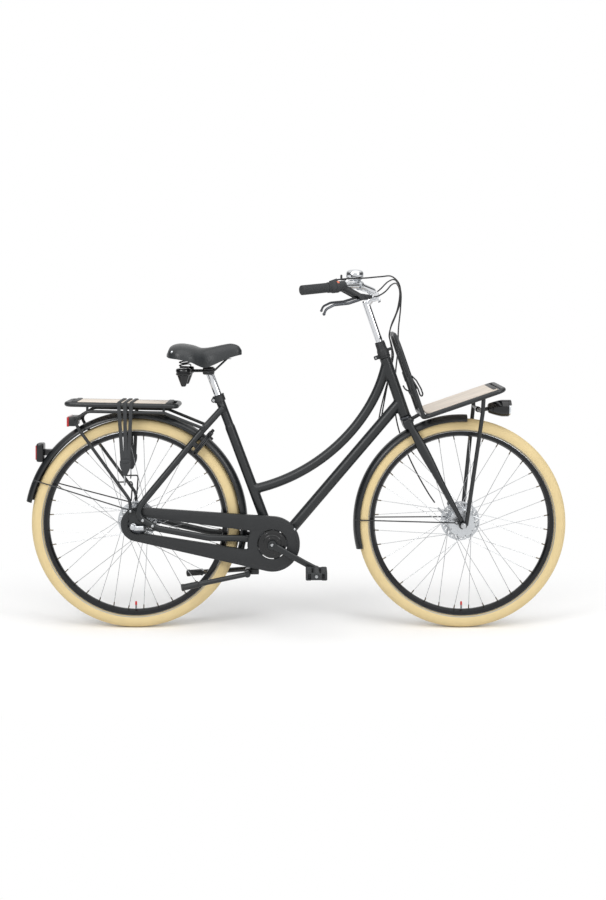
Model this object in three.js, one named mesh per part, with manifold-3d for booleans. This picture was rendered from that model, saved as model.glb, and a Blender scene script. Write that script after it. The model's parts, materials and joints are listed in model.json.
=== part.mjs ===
import * as THREE from "three";
import { mergeVertices } from "three/addons/utils/BufferGeometryUtils.js";
import Module from "manifold-3d";

// A step-through city bicycle with front and rear carriers, mudguards and an enclosed chain.
// Millimetres. X points forward, Y to the rider's left and Z up. The tyres stand on Z = 0.

// Clearances
const gap = 0.3;
const runGap = 1.2;
const overrun = 6;
const weld = 1;

// Facet counts
const facets = {
  wheel: 26, boss: 14, hub: 12, pivot: 10, round: 8, tube: 6, wire: 5, bar: 4, spoke: 3,
  bend: THREE.MathUtils.degToRad(30),
};

// Wheels: 50-622 tyres on 32 mm rims, laced with 36 crossed spokes
const tyre = {
  radius: 361, height: 42, width: 50, crown: 17, treadHalf: 22, beadWidth: 21.6, beadDepth: 10, shoulder: 12,
};
const rim = { bedDepth: 11, flankDepth: 13, wallDepth: 19.4, width: 32, floorWidth: 14 };
const rimRadius = tyre.radius - tyre.height;
const spokeEnd = rimRadius - rim.wallDepth;
const spoke = { count: 36, across: 2.2, headShift: 2.2, endShift: 3, crossings: 3 };
const valve = { across: 6, length: 34 };
const rearAxle = { x: -554, radius: 5, overLocknuts: 120, overall: 152 };
const wheelbase = 1127;
const frontAxle = { x: rearAxle.x + wheelbase, radius: 4.8, overLocknuts: 100, overall: 142 };
const rearHub = { shell: 31, flange: 46, flangeThick: 3, right: -23, left: 27 };
const frontHub = { shell: 40, flange: 46, flangeThick: 3, right: -24, left: 22 };
const holeRingInset = 4;
const disc = { radius: 68, rootRadius: 46, thick: 3, fins: 9, finHeight: 5, slotWidth: 8, slotLength: 15 };

// Frame
const bottomBracket = { x: -80, z: 297, radius: 22, width: 68, bore: 17, proud: 1 };
const seatTube = {
  lean: THREE.MathUtils.degToRad(20.6), length: 537, radius: 17.5, neckRadius: 15.6, neckLength: 112,
  boreDepth: 200,
};
const headAngle = THREE.MathUtils.degToRad(19);
const fork = { rake: 64, crownHeight: 404, steererRadius: 12.7 };
const headTube = { bottom: 412, top: 626, radius: 19.5, bore: 14.2 };
const topTube = { radius: 17, headDrop: 16, steps: 7 };
const topTubeCurve = { headLead: [279.9, 732.4], seatLead: [105.3, 531.1], seatHeight: 191 };
const downTube = { radius: 19, headRise: 53, footAhead: 18, footBelow: 12 };
const stay = {
  dropoutY: 69, bend: 36, flatHalf: 9, tallHalf: 11.5, slimHalf: 7.5, slimTall: 12.5, ringSides: 8,
};
const stayRoute = {
  seatEnd: [-252, 760, 14], crossing: [-323, 682, 44], elbow: [-556, 400.6, 69], knee: [-472, 353, 68],
  inner: [-300, 318, 51], tyreSide: [-205, 313, 36], wheelFront: [-160, 311, 35], bracketEnd: [-94, 301, 24],
};
const dropout = { thick: 5, slot: 22, boltRadius: 4, rim: 15 };
const dropoutBolts = [[-521.7, 381.4], [-488.3, 362.6]];
const stayEye = { x: -563, z: 414, radius: 7, thick: 2 };
const caseBoss = { radius: 5, rear: [-533, 408], frontReach: 91 };
const standPlate = { back: -158, front: -128, half: 17, top: 306, bottom: 199, thick: 5 };

// Seat; the saddle and its rails are measured from the top of the seat post
const seatPost = { radius: 13.6, insertion: 120, exposed: 84 };
const seatClamp = { radius: 20, height: 24, ear: 8.5, boltLength: 26, over: 3.6 };
const saddle = { rearX: -144.5, length: 255, half: 103, top: 102.7, height: 81, arcSteps: 10, keel: 1 };
const saddleUnderShares = [0.6, 0.12];
const saddlePowers = { across: 0.75, up: 0.7 };
// Along the saddle from its rear: place, half width, top and lower edge,
// as shares of its length, half width and height
const saddleShares = [
  [0, 0.5, 0.62, 0.47], [0.06, 0.83, 0.93, 0.42], [0.18, 1, 1, 0.38], [0.33, 0.93, 0.93, 0.27],
  [0.44, 0.74, 0.82, 0.09], [0.52, 0.55, 0.82, 0], [0.62, 0.4, 0.87, 0.1], [0.74, 0.31, 0.95, 0.27],
  [0.86, 0.26, 1, 0.42], [0.95, 0.21, 0.92, 0.5], [1, 0.1, 0.72, 0.53],
];
const rail = {
  radius: 3.5, frontY: 9, rearY: 26, low: 8.7, noseX: 62.5, noseZ: 52.7, bendX: 15.5, rearX: -67.5, bend: 21,
  noseBack: 8, noseAhead: 12,
};
const saddleClamp = { length: 40, width: 46, height: 26 };
const spring = { x: -85.5, y: 60, low: 20.7, coil: 14, wire: 2.2, turns: 2, stepsPerTurn: 8 };
const springCup = { radius: 26, height: 24, coneRadius: 21, coneTip: 8, coneLength: 38, rim: 2 };

// Chain drive
const chain = {
  pitch: 12.7, line: -48, roller: 2.9, gullet: 4.7, plateHalf: 3.2, plateThick: 1.1, innerHalf: 2.6,
  rollerEvery: 12,
};
const ring = { teeth: 38, thick: 2, toothRise: 2.4, spiderInner: 24, rimWall: 7, arms: 5, armWidth: 14 };
const sprocket = { teeth: 18, thick: 2.2, bore: 16 };
const crank = {
  length: 170, angle: THREE.MathUtils.degToRad(-28.5), inner: 61.5, bossRadius: 17, bossDepth: 22, endHalf: 12,
  endInner: 72, endThick: 13, taper: 9.5, coverRadius: 48, coverThick: 2, coverHub: 22, sleeve: 18.7,
};
// The arm of a crank between its boss and its end, at two shares of its length
const crankWaist = { shift: 5, extra: 2, half: 10.2, rootHalf: 11.7 };
const crankShares = [0.25, 0.8];
const crankAxle = { radius: 8.2, overall: 150, boltHead: 6.8, shoulder: 10 };
const pedal = {
  width: 92, length: 72, height: 28, barrel: 12, spindle: 5, inset: 9, treadLength: 20, cheek: 6,
};
const chainCase = {
  frontRadius: 94, rearRadius: 58, rearAhead: 13, rearAbove: 3.5, openRadius: 33, wall: 2, outerFace: 58.5,
  backFace: 43.5, slotFront: 86, upperFront: 34.5, lowerFront: 32, sprocketRoom: 52,
};

const shiftUnit = { radius: 11, depth: 18, reach: 38, armInset: 3, armThick: 11, armHeight: 16, armTop: 4 };

// Mudguards
const guard = {
  thick: 1.6, depth: 22, sections: 4, room: 0.9, step: THREE.MathUtils.degToRad(12), stayRadius: 2.2,
  rearAbove: 26, frontAbove: 14,
};
const rearGuard = {
  radius: tyre.radius + guard.rearAbove, half: 29,
  from: THREE.MathUtils.degToRad(-16), to: THREE.MathUtils.degToRad(168.6),
};
const frontGuard = {
  radius: tyre.radius + guard.frontAbove, half: 28,
  from: THREE.MathUtils.degToRad(87), to: THREE.MathUtils.degToRad(194),
};
const guardStay = {
  rearAngle: THREE.MathUtils.degToRad(156.6), frontAngle: THREE.MathUtils.degToRad(178),
  eye: 6, frontEye: [-23, 9],
};

// Rear carrier and lamp
const carrier = {
  tube: 8.5, half: 66, rear: -794, front: -400, rearZ: 777, frontZ: 769, corner: 22, crossTube: 6.8,
  railDrop: 23, railRear: -712, railFront: -451, railTube: 5.5, postTube: 4.4,
};
const carrierLeg = {
  top: [-712, 754], elbow: [-757, 722], shoulder: [-740, 690], foot: [-566, 452],
  catch: [[-606, 512], [-560, 513], [-557, 505], [-561, 448]], catchTube: 2.5,
};
const catchShare = 0.7;
const carrierArm = { end: [-331, 699], bend: 40 };
const carrierDeck = { rear: -748, front: -446, thick: 7, rise: 5.5 };
const strap = {
  width: 12.5, thick: 3, spacing: 21, x: -582, foot: [-580, 572], spread: 9.5, clear: 1.1,
  buckleInner: 3.5, buckleOuter: 4.5,
  buckle: [[-19, 14], [-19, 0], [-12, -22], [-3, -38], [3, -38], [12, -22], [19, 0], [19, 14]],
  hook: [[1, 536], [2, 512], [-1, 504], [-6, 502], [-8, 507]], hookRadius: 2.6,
};
const rearLamp = {
  angle: THREE.MathUtils.degToRad(141), height: 65, depth: 28, width: 44, standoff: 17, footWidth: 15,
  footHeight: 22,
};
const reflector = { x: -783, z: 714, height: 34, width: 84, depth: 9, bar: 4 };

// Stand and lock
const stand = {
  pivot: [-166, 191], foot: [-386, 160], tube: 8.5, pivotRadius: 7, pivotHalf: 40, footHalf: 108, padLength: 60,
  pad: 12,
};
const ringLock = {
  angle: THREE.MathUtils.degToRad(50), centre: 345, inner: 44, outer: 63, thick: 16, bow: 53, shackle: 4,
  openHalf: THREE.MathUtils.degToRad(60), travel: THREE.MathUtils.degToRad(132),
  bowSpan: THREE.MathUtils.degToRad(144),
  endInset: THREE.MathUtils.degToRad(3), knob: 2.4, head: 5.8, knobReach: 76,
  knobSlack: THREE.MathUtils.degToRad(5),
  lugInner: 40, lugOuter: 56, lugDepth: 30, lugHeight: 16, step: THREE.MathUtils.degToRad(20),
};

// Steering parts, measured from the foot of the fork's rake along and across the steering axis
const blade = {
  topY: 44, footY: 56, topHalf: 12, footHalf: 7.5, widestHalf: 17, widestShare: 0.3, slimShare: 0.75,
  across: 9.5, footAcross: 6.6, topX: 1,
};
const crown = { half: 52, length: 36, height: 32 };
const forkEnd = { thick: 5, radius: 15, inner: 50, ear: 7 };
const headset = {
  cup: 20.5, cupHeight: 28, collar: 17.5, collarHeight: 30, bevel: 3, lug: 16, lugWidth: 14, lugRise: 2,
  lugHeight: 14, guideHeight: 10,
};
const stem = {
  radius: 12.7, quill: 11, top: 836, clampX: 32, clampZ: 841, clampRadius: 19, clampHalf: 22, neck: 13,
};
const bar = { radius: 11.1, centreRadius: 12.7, bend: 40 };
const barRoute = [
  [32, 0, 841], [32, 27, 841], [37, 50, 847], [30, 92, 862], [-7, 160, 893], [-53, 212, 908],
  [-195.5, 300, 941.8],
];
const grip = { radius: 16, right: 97, left: 137, endWall: 3 };
const shifter = {
  radius: 20, from: 97.8, to: 138, outlet: 4, outletFrom: 109.8, outletFoot: 17, outletHeight: 23,
  up: [0.17, -0.1],
};
const leverMount = { radius: 17.5, from: 139, to: 164, arm: 11, snout: [16, 190, 846], snoutRadius: 6 };
const lever = {
  pivot: [-19, 206, 856], half: 6, thick: 3.5, barrel: 8, barrelHalf: 6.5, pin: 2.5, axis: [0.49, 0.87],
  bend: 30,
  travel: THREE.MathUtils.degToRad(20), slack: THREE.MathUtils.degToRad(2), sweep: 36,
};
const leverRoute = [[-30, 212, 850], [-66, 232, 851], [-112, 258, 862], [-142, 272, 858], [-153, 276, 845]];
const bell = {
  x: -12, y: 150, z: 931, radius: 30, height: 36, base: 3, baseRadius: 18, clampRadius: 15.5, clampLength: 16,
  foot: 9,
};
const bellShares = [[0, -1], [0.55, -1], [0.92, -0.55], [1, 0.1], [0.86, 0.8], [0.5, 1.05], [0, 1.1]];
const bellTrigger = {
  pinAt: 33, pin: 2, hub: 4.5, reach: 14, width: 6, padHalf: 7, thick: 4, rise: 20,
  turn: THREE.MathUtils.degToRad(170),
};
const frontCarrier = {
  z: 402, rear: 54, front: 348, half: 127, tube: 8, corner: 26, hoopTop: 694, hoopHalf: 118, hoopTube: 7,
  hoopBend: 60,
  crossTube: 6, plateHalf: 12, plateThick: 4, plateHeight: 18, neckTube: 6.4,
};
const frontLeg = { top: [264, 395, 119], knee: [247, 352, 116], tube: 7, eye: 10, eyeThick: 8, drop: 2 };
const frontDeck = { rear: 68, front: 322, thick: 7, half: 118.5, corner: 12, rise: 2.5, bar: 4.5 };
const frontLamp = {
  x: 705, z: 757, length: 80, radius: 29, rearRadius: 17, capRadius: 13.6, rimLength: 24, visor: 4,
  clipHalf: 8.5,
};
const brake = {
  plate: 34, thick: 7, armWidth: 18, armThick: 4, bolt: 5, frontBoss: [48, 69], rearBoss: [-474, 355],
};
const frontBrake = { arm: [-40, 62], camPivot: [-24, -8], camTip: [-74, 40] };
const rearBrake = { arm: [84, -6], camPivot: [10, 26], camTip: [66, 38] };
const cam = { width: 12, thick: 3, hub: 8 };
const camTipShare = 0.6;
const cable = { radius: 2.5, rings: [20, 18, 18] };
const rearBrakeCableRoute = [
  [17, -189.6, 845.8], [34, -181, 841], [66, -150, 846], [98, -100, 860], [120, -40, 854], [122, 4, 820],
  [94, 14, 766], [58, 13, 724], [40, 11, 692], [36, 10, 668], [33, 11, 648], [26, 22, 622], [6, 24.5, 580],
  [-34, 24, 510], [-62, 15, 462], [-78, 8, 434],
];
const shiftCableRoute = [
  [-74.3, -225.2, 936.6], [-34, -199, 927], [14, -170, 912], [70, -120, 898], [112, -50, 884], [130, 0, 846],
  [114, 18, 790], [82, 20, 748], [52, 18, 714], [39, 16.5, 690], [38, 16, 668], [36, 17.5, 648], [32, 28, 622],
  [8, 30.5, 580], [-38, 30, 510], [-72, 20, 458], [-92, 12, 424],
];
const frontBrakeCableRoute = [
  [17, 189.6, 845.8], [34, 181, 841], [66, 150, 850], [104, 96, 870], [126, 44, 866], [130, 34, 828],
  [110, 36, 770], [78, 38, 700], [56, 38, 640], [20, 44, 560], [-14, 58, 470], [-30, 66, 400], [-34, 70, 320],
  [-26, 68, 220], [-8, 58, 120], [2, 50, 84],
];

// Colours
const finishes = {
  frame: [0x2d3033, 0.45, 0.1], rubber: [0x26282a, 0.8, 0], plastic: [0x202224, 0.55, 0],
  chrome: [0xd6d9dc, 0.12, 1],
  steel: [0xa9adb0, 0.35, 1], alloy: [0xb9bcbe, 0.4, 0.9], tyre: [0xe6d2a0, 0.85, 0], rim: [0x17191b, 0.4, 0.3],
  wood: [0xe3d3c0, 0.6, 0], saddle: [0x3c4043, 0.7, 0], lamp: [0x1a1b1d, 0.3, 0], red: [0xb01c20, 0.25, 0],
};
const materials = Object.fromEntries(Object.entries(finishes).map(([name, [color, roughness, metalness]]) => (
  [name, new THREE.MeshStandardMaterial({ color, roughness, metalness })]
)));

const wasm = await Module();
wasm.setup();

// Turns a closed three.js geometry into a solid whose faces point out.
function solidOf(geometry) {
  const bare = geometry.clone();
  bare.deleteAttribute("normal");
  bare.deleteAttribute("uv");
  const merged = mergeVertices(bare);
  const place = merged.attributes.position;
  const triangles = [];
  let volume = 0;
  const corners = [new THREE.Vector3(), new THREE.Vector3(), new THREE.Vector3()];
  for (let i = 0; i < merged.index.count; i += 3) {
    const [a, b, c] = [merged.index.getX(i), merged.index.getX(i + 1), merged.index.getX(i + 2)];
    if (a === b || b === c || c === a) continue;
    [a, b, c].forEach((vertex, k) => corners[k].fromBufferAttribute(place, vertex));
    volume += corners[0].dot(corners[1].clone().cross(corners[2]));
    triangles.push(a, b, c);
  }
  if (volume < 0) triangles.reverse();
  return new wasm.Manifold(new wasm.Mesh({
    numProp: 3,
    vertProperties: new Float32Array(place.array),
    triVerts: new Uint32Array(triangles),
  }));
}

// Gives a solid back as a three.js geometry.
function geometryOf(solid) {
  const mesh = solid.getMesh();
  const geometry = new THREE.BufferGeometry();
  geometry.setAttribute("position", new THREE.BufferAttribute(new Float32Array(mesh.vertProperties), 3));
  geometry.setIndex(new THREE.BufferAttribute(new Uint32Array(mesh.triVerts), 1));
  geometry.computeVertexNormals();
  return geometry;
}

const join = (...solids) => solids.flat().reduce((whole, piece) => whole.add(piece));
const cut = (solid, ...tools) => tools.flat().reduce((rest, tool) => rest.subtract(tool), solid);
const vector = (x, y, z) => new THREE.Vector3(x, y, z);
const bothSides = (make) => [-1, 1].map(make);

// The radius of a faceted bore whose flats clear a round piece by the gap
const boreRadius = (radius, sides = facets.round) => (radius + gap) / Math.cos(Math.PI / sides);
const lowFirst = (a, b) => [Math.min(a, b), Math.max(a, b)];

// A path through given points, with one ring of the tube at each of them.
class PointPath extends THREE.Curve {
  constructor(points) {
    super();
    this.points = points;
  }

  getPoint(share, target = new THREE.Vector3()) {
    const last = this.points.length - 1;
    const start = Math.min(Math.floor(share * last), last - 1);
    return target.lerpVectors(this.points[start], this.points[start + 1], share * last - start);
  }

  getPointAt(share, target) {
    return this.getPoint(share, target);
  }

  getTangentAt(share, target = new THREE.Vector3()) {
    return target.copy(tangentAt(this.points, Math.round(share * (this.points.length - 1))));
  }
}

// The mean direction of a path at one of its points.
function tangentAt(points, i) {
  const tangent = new THREE.Vector3();
  if (i > 0) tangent.add(points[i].clone().sub(points[i - 1]).normalize());
  if (i < points.length - 1) tangent.add(points[i + 1].clone().sub(points[i]).normalize());
  return tangent.normalize();
}

function ringShape(halfX, halfY, sides) {
  const outline = [];
  for (let i = 0; i < sides; i += 1) {
    const angle = (i + 0.5) * 2 * Math.PI / sides;
    outline.push(new THREE.Vector2(halfX * Math.cos(angle), halfY * Math.sin(angle)));
  }
  return outline;
}

// A round tube or rod along the given points.
function tube(points, radius, sides = facets.tube) {
  const shape = new THREE.Shape(ringShape(radius, radius, sides));
  const extrudePath = new PointPath(points);
  const steps = points.length - 1;
  return solidOf(new THREE.ExtrudeGeometry(shape, { steps, extrudePath, bevelEnabled: false }));
}

// Rounds each corner of a path; every point keeps the number of its corner.
function rounded(corners, radius) {
  const path = [{ at: corners[0], corner: 0 }];
  for (let i = 1; i < corners.length - 1; i += 1) {
    const back = corners[i - 1].clone().sub(corners[i]);
    const ahead = corners[i + 1].clone().sub(corners[i]);
    const room = Math.min(back.length(), ahead.length()) * 0.49;
    back.normalize();
    ahead.normalize();
    const half = back.angleTo(ahead) / 2;
    const turn = Math.PI - 2 * half;
    if (turn < facets.bend / 2) {
      path.push({ at: corners[i], corner: i });
      continue;
    }
    const reach = Math.min(radius / Math.tan(half), room);
    const arcRadius = reach * Math.tan(half);
    const inward = back.clone().add(ahead).normalize();
    const centre = corners[i].clone().addScaledVector(inward, arcRadius / Math.sin(half));
    const start = corners[i].clone().addScaledVector(back, reach).sub(centre);
    const end = corners[i].clone().addScaledVector(ahead, reach).sub(centre);
    const steps = Math.max(1, Math.ceil(turn / facets.bend));
    for (let k = 0; k <= steps; k += 1) {
      const angle = turn * k / steps;
      const at = start.clone().multiplyScalar(Math.sin(turn - angle)).addScaledVector(end, Math.sin(angle));
      path.push({ at: at.divideScalar(Math.sin(turn)).add(centre), corner: i });
    }
  }
  path.push({ at: corners.at(-1), corner: corners.length - 1 });
  return path;
}

const bentTube = (corners, radius, bend, sides = facets.tube) => (
  tube(rounded(corners, bend).map((stop) => stop.at), radius, sides)
);

// The triangles of an end cap, wound the same way as the section's outline.
function capTriangles(section) {
  const wayRound = Math.sign(THREE.ShapeUtils.area(section));
  return THREE.ShapeUtils.triangulateShape(section, []).map(([a, b, c]) => {
    const sameWay = Math.sign(THREE.ShapeUtils.area([section[a], section[b], section[c]])) === wayRound;
    return sameWay ? [a, b, c] : [a, c, b];
  });
}

// Joins equal rings of points into one closed skin.
function loft(rings, { closed = false, section = null } = {}) {
  const count = rings[0].length;
  const index = [];
  for (let r = 0; r < rings.length - (closed ? 0 : 1); r += 1) {
    const next = (r + 1) % rings.length;
    for (let i = 0; i < count; i += 1) {
      const j = (i + 1) % count;
      index.push(r * count + i, r * count + j, next * count + j);
      index.push(r * count + i, next * count + j, next * count + i);
    }
  }
  if (!closed) {
    const fan = [];
    for (let i = 1; i < count - 1; i += 1) fan.push([0, i, i + 1]);
    const caps = section ? capTriangles(section) : fan;
    const last = (rings.length - 1) * count;
    caps.forEach(([a, b, c]) => index.push(a, c, b, last + a, last + b, last + c));
  }
  const geometry = new THREE.BufferGeometry();
  const positions = rings.flat().flatMap((p) => [p.x, p.y, p.z]);
  geometry.setAttribute("position", new THREE.BufferAttribute(new Float32Array(positions), 3));
  geometry.setIndex(index);
  return solidOf(geometry);
}

// A tube whose half width along Y and half height change from corner to corner.
function ovalTube(corners, halves, bend, sides) {
  const path = rounded(corners, bend);
  const points = path.map((stop) => stop.at);
  const rings = path.map((stop, i) => {
    const tangent = tangentAt(points, i);
    const right = vector(0, 1, 0).addScaledVector(tangent, -tangent.y).normalize();
    const up = tangent.clone().cross(right);
    const [halfWidth, halfHeight] = halves[stop.corner];
    return ringShape(halfWidth, halfHeight, sides).map((p) => (
      stop.at.clone().addScaledVector(right, p.x).addScaledVector(up, p.y)
    ));
  });
  return loft(rings);
}

// A solid of revolution about the Y axis, from pairs of radius and place along the axis.
function turned(profile, segments = facets.round, phase = 0) {
  const points = profile.map(([radius, along]) => new THREE.Vector2(radius, along));
  if (profile[0][0] > 0) points.push(points[0].clone());
  return new THREE.LatheGeometry(points, segments, phase);
}

const turnedY = (profile, segments, phase) => solidOf(turned(profile, segments, phase));
const turnedZ = (profile, segments) => solidOf(turned(profile, segments).rotateX(Math.PI / 2));
const turnedX = (profile, segments) => solidOf(turned(profile, segments).rotateZ(-Math.PI / 2));

const drum = (radius, from, to) => [[0, from], [radius, from], [radius, to], [0, to]];
const washer = (inner, outer, from, to) => [[inner, from], [outer, from], [outer, to], [inner, to]];

// A box from its lowest to its highest corner.
function box(low, high) {
  const size = high.clone().sub(low);
  const middle = low.clone().add(high).multiplyScalar(0.5);
  return solidOf(new THREE.BoxGeometry(size.x, size.y, size.z).translate(middle.x, middle.y, middle.z));
}

// A plate with its outline in X and Z, between two places along Y.
function plate(outline, holes, fromY, toY) {
  const shape = new THREE.Shape(outline);
  shape.holes = holes.map((hole) => new THREE.Path(hole));
  const low = Math.min(fromY, toY);
  const depth = Math.abs(toY - fromY);
  const geometry = new THREE.ExtrudeGeometry(shape, { depth, bevelEnabled: false });
  return solidOf(geometry.rotateX(Math.PI / 2).translate(0, low + depth, 0));
}

function arc(x, z, radius, from, to, steps) {
  const points = [];
  for (let i = 0; i <= steps; i += 1) {
    const angle = from + (to - from) * i / steps;
    points.push(new THREE.Vector2(x + radius * Math.cos(angle), z + radius * Math.sin(angle)));
  }
  return points;
}

const circle = (x, z, radius, steps) => arc(x, z, radius, 0, 2 * Math.PI * (steps - 1) / steps, steps - 1);

// The outline of a belt round two circles, front circle first.
function beltOutline(front, rear, steps) {
  const along = Math.atan2(front.z - rear.z, front.x - rear.x);
  const span = Math.hypot(front.x - rear.x, front.z - rear.z);
  const spread = Math.asin((front.radius - rear.radius) / span);
  const up = along + spread + Math.PI / 2;
  const down = along - spread - Math.PI / 2;
  return [
    ...arc(front.x, front.z, front.radius, down, up, steps),
    ...arc(rear.x, rear.z, rear.radius, up, down + 2 * Math.PI, steps),
  ];
}

const bicycle = new THREE.Group();

function addPart(name, solid, finish, parent = bicycle) {
  const mesh = new THREE.Mesh(geometryOf(solid), materials[finish]);
  mesh.name = name;
  parent.add(mesh);
}

// Groups at the axles and on the steering axis
function groupAt(x, z) {
  const group = new THREE.Group();
  group.position.set(x, 0, z);
  bicycle.add(group);
  return group;
}

const rearWheel = groupAt(rearAxle.x, tyre.radius);
const frontWheel = groupAt(frontAxle.x, tyre.radius);
const drive = groupAt(bottomBracket.x, bottomBracket.z);
const steeringFoot = vector(
  frontAxle.x - fork.rake * Math.cos(headAngle), 0, tyre.radius - fork.rake * Math.sin(headAngle),
);
const steering = groupAt(steeringFoot.x, steeringFoot.z);
steering.rotation.y = -headAngle;

// The place in the bicycle's frame of a point given across and along the steering axis
const fromSteering = (x, y, z) => vector(
  steeringFoot.x + x * Math.cos(headAngle) - z * Math.sin(headAngle), y,
  steeringFoot.z + x * Math.sin(headAngle) + z * Math.cos(headAngle),
);
const toSteering = (x, y, z) => vector(
  (x - steeringFoot.x) * Math.cos(headAngle) + (z - steeringFoot.z) * Math.sin(headAngle), y,
  (z - steeringFoot.z) * Math.cos(headAngle) - (x - steeringFoot.x) * Math.sin(headAngle),
);

// Wheels
const halfFacet = Math.PI / facets.wheel;

function tyreSolid() {
  const half = tyre.width / 2;
  const bead = tyre.beadWidth / 2;
  const middle = tyre.radius - half;
  const side = [
    [rimRadius - tyre.beadDepth + gap, bead - gap], [rimRadius + gap, bead + gap],
    [middle - tyre.shoulder / 2, half], [middle + tyre.shoulder, tyre.treadHalf], [tyre.radius, tyre.crown / 2],
  ];
  const outline = [...side, ...side.slice().reverse().map(([radius, y]) => [radius, -y])];
  const apothem = outline.map(([radius, y]) => [radius / Math.cos(halfFacet), y]);
  return turnedY(apothem, facets.wheel, halfFacet);
}

function rimSolid() {
  const half = rim.width / 2;
  const bead = tyre.beadWidth / 2;
  const flange = bead + gap;
  const side = [
    [spokeEnd, rim.floorWidth / 2], [rimRadius - rim.flankDepth, half], [rimRadius, half],
    [rimRadius, flange + gap], [rimRadius - rim.bedDepth, bead + gap / 2],
  ];
  const outline = [...side, ...side.slice().reverse().map(([radius, y]) => [radius, -y])];
  const band = turnedY(outline.map(([r, y]) => [r / Math.cos(halfFacet), y]), facets.wheel, halfFacet);
  const valveFoot = vector(0, 0, weld + rim.bedDepth - rimRadius);
  const valveTip = vector(0, 0, weld + rim.bedDepth - rimRadius + valve.length);
  return join(band, tube([valveFoot, valveTip], valve.across / 2, facets.bar));
}

// Spokes leave each flange in pairs, leading and trailing, and cross three times.
function spokeSolids(hub) {
  const holeRing = hub.flange - holeRingInset;
  const end = spokeEnd - gap;
  const perSide = spoke.count / 2;
  const list = [];
  bothSides((side) => {
    const flangeY = side < 0 ? hub.right : hub.left;
    for (let i = 0; i < perSide; i += 1) {
      const lead = i % 2 ? 1 : -1;
      const hubTurn = (i + (side < 0 ? 0.25 : 0.75)) * 2 * Math.PI / perSide;
      const rimTurn = hubTurn + lead * spoke.crossings * 2 * Math.PI / perSide;
      const headY = flangeY + lead * spoke.headShift;
      const from = vector(holeRing * Math.cos(hubTurn), headY, holeRing * Math.sin(hubTurn));
      const to = vector(end * Math.cos(rimTurn), side * spoke.endShift, end * Math.sin(rimTurn));
      list.push(tube([from, to], spoke.across / 2, facets.spoke));
    }
  });
  return list;
}

function hubSolid(hub, axleRadius) {
  const right = hub.right - hub.flangeThick;
  const left = hub.left + 2 * hub.flangeThick;
  const shell = turnedY([
    [axleRadius + gap, right], [hub.flange, right], [hub.flange, hub.right + hub.flangeThick],
    [hub.shell, hub.right + 2 * hub.flangeThick], [hub.flange, hub.left - hub.flangeThick], [hub.flange, left],
    [axleRadius + gap, left],
  ], facets.hub);
  return join(shell, spokeSolids(hub));
}

// A cooling disc with radial slots, carried on the left of the hub.
function discSolid(hub, axleRadius) {
  const inner = hub.left + 2 * hub.flangeThick + gap;
  const outer = inner + disc.thick;
  const body = turnedY([
    [axleRadius + runGap, inner], [disc.radius, inner], [disc.radius, outer], [disc.rootRadius, outer],
    [disc.rootRadius - disc.thick, outer + disc.finHeight], [disc.rootRadius - 2 * disc.thick, outer],
    [axleRadius + runGap, outer],
  ], 2 * disc.fins);
  const slots = [];
  for (let i = 0; i < disc.fins; i += 1) {
    const angle = (i + 0.5) * 2 * Math.PI / disc.fins;
    const from = disc.rootRadius + (disc.radius - disc.rootRadius - disc.slotLength) / 2;
    const half = disc.slotWidth / 2;
    const slot = new THREE.BoxGeometry(disc.slotLength, disc.thick + overrun, half * 2);
    slot.translate(from + disc.slotLength / 2, inner + disc.thick / 2, 0).rotateY(-angle);
    slots.push(solidOf(slot));
  }
  return cut(body, slots);
}

addPart("rear_tyre", tyreSolid(), "tyre", rearWheel);
addPart("rear_rim", rimSolid(), "rim", rearWheel);
addPart("rear_hub", hubSolid(rearHub, rearAxle.radius), "alloy", rearWheel);
addPart("rear_cooling_disc", discSolid(rearHub, rearAxle.radius), "alloy", rearWheel);
addPart("front_tyre", tyreSolid(), "tyre", frontWheel);
addPart("front_rim", rimSolid(), "rim", frontWheel);
addPart("front_hub", hubSolid(frontHub, frontAxle.radius), "alloy", frontWheel);
addPart("front_cooling_disc", discSolid(frontHub, frontAxle.radius), "alloy", frontWheel);

// Axles, each with its locknuts inside and its wheel nuts outside the dropouts
function axleSolid(axle, clamped) {
  const half = axle.overLocknuts / 2;
  const nut = axle.radius * 2;
  const face = half + clamped + gap;
  const pieces = [turnedY(drum(axle.radius, -axle.overall / 2, axle.overall / 2), facets.round)];
  bothSides((side) => {
    const inner = lowFirst(side * (half - nut / 2), side * (half - gap));
    const outer = lowFirst(side * face, side * (face + nut));
    pieces.push(turnedY(drum(nut, inner[0], inner[1]), facets.tube));
    pieces.push(turnedY(drum(nut, outer[0], outer[1]), facets.tube));
  });
  return join(pieces);
}

addPart("rear_axle", axleSolid(rearAxle, dropout.thick), "steel", rearWheel);
addPart("front_axle", axleSolid(frontAxle, forkEnd.thick + frontLeg.eyeThick + gap), "steel", frontWheel);

// Faces of the parts that stand in line beside each hub on its left
const besideHub = (hub) => hub.left + 2 * hub.flangeThick + gap + disc.thick + disc.finHeight + runGap;
const frontBrakeArmFace = besideHub(frontHub) + brake.armThick;
const rearBrakeArmFace = besideHub(rearHub) + brake.armThick;

// Frame
const seatAxis = vector(-Math.sin(seatTube.lean), 0, Math.cos(seatTube.lean));
const shellCentre = vector(bottomBracket.x, 0, bottomBracket.z);
const seatTop = shellCentre.clone().addScaledVector(seatAxis, seatTube.length);
const alongSeat = (length) => shellCentre.clone().addScaledVector(seatAxis, length);
const dropoutInner = rearAxle.overLocknuts / 2;

function stayTube(side, extra) {
  const corners = Object.values(stayRoute).map(([x, z, y]) => vector(x, side * y, z));
  const round = [stay.flatHalf + extra, stay.tallHalf + extra];
  const slim = [stay.slimHalf + extra, stay.slimTall + extra];
  const halves = [round, round, round, round, round, slim, slim, slim];
  return ovalTube(corners, halves, stay.bend, stay.ringSides);
}

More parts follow.
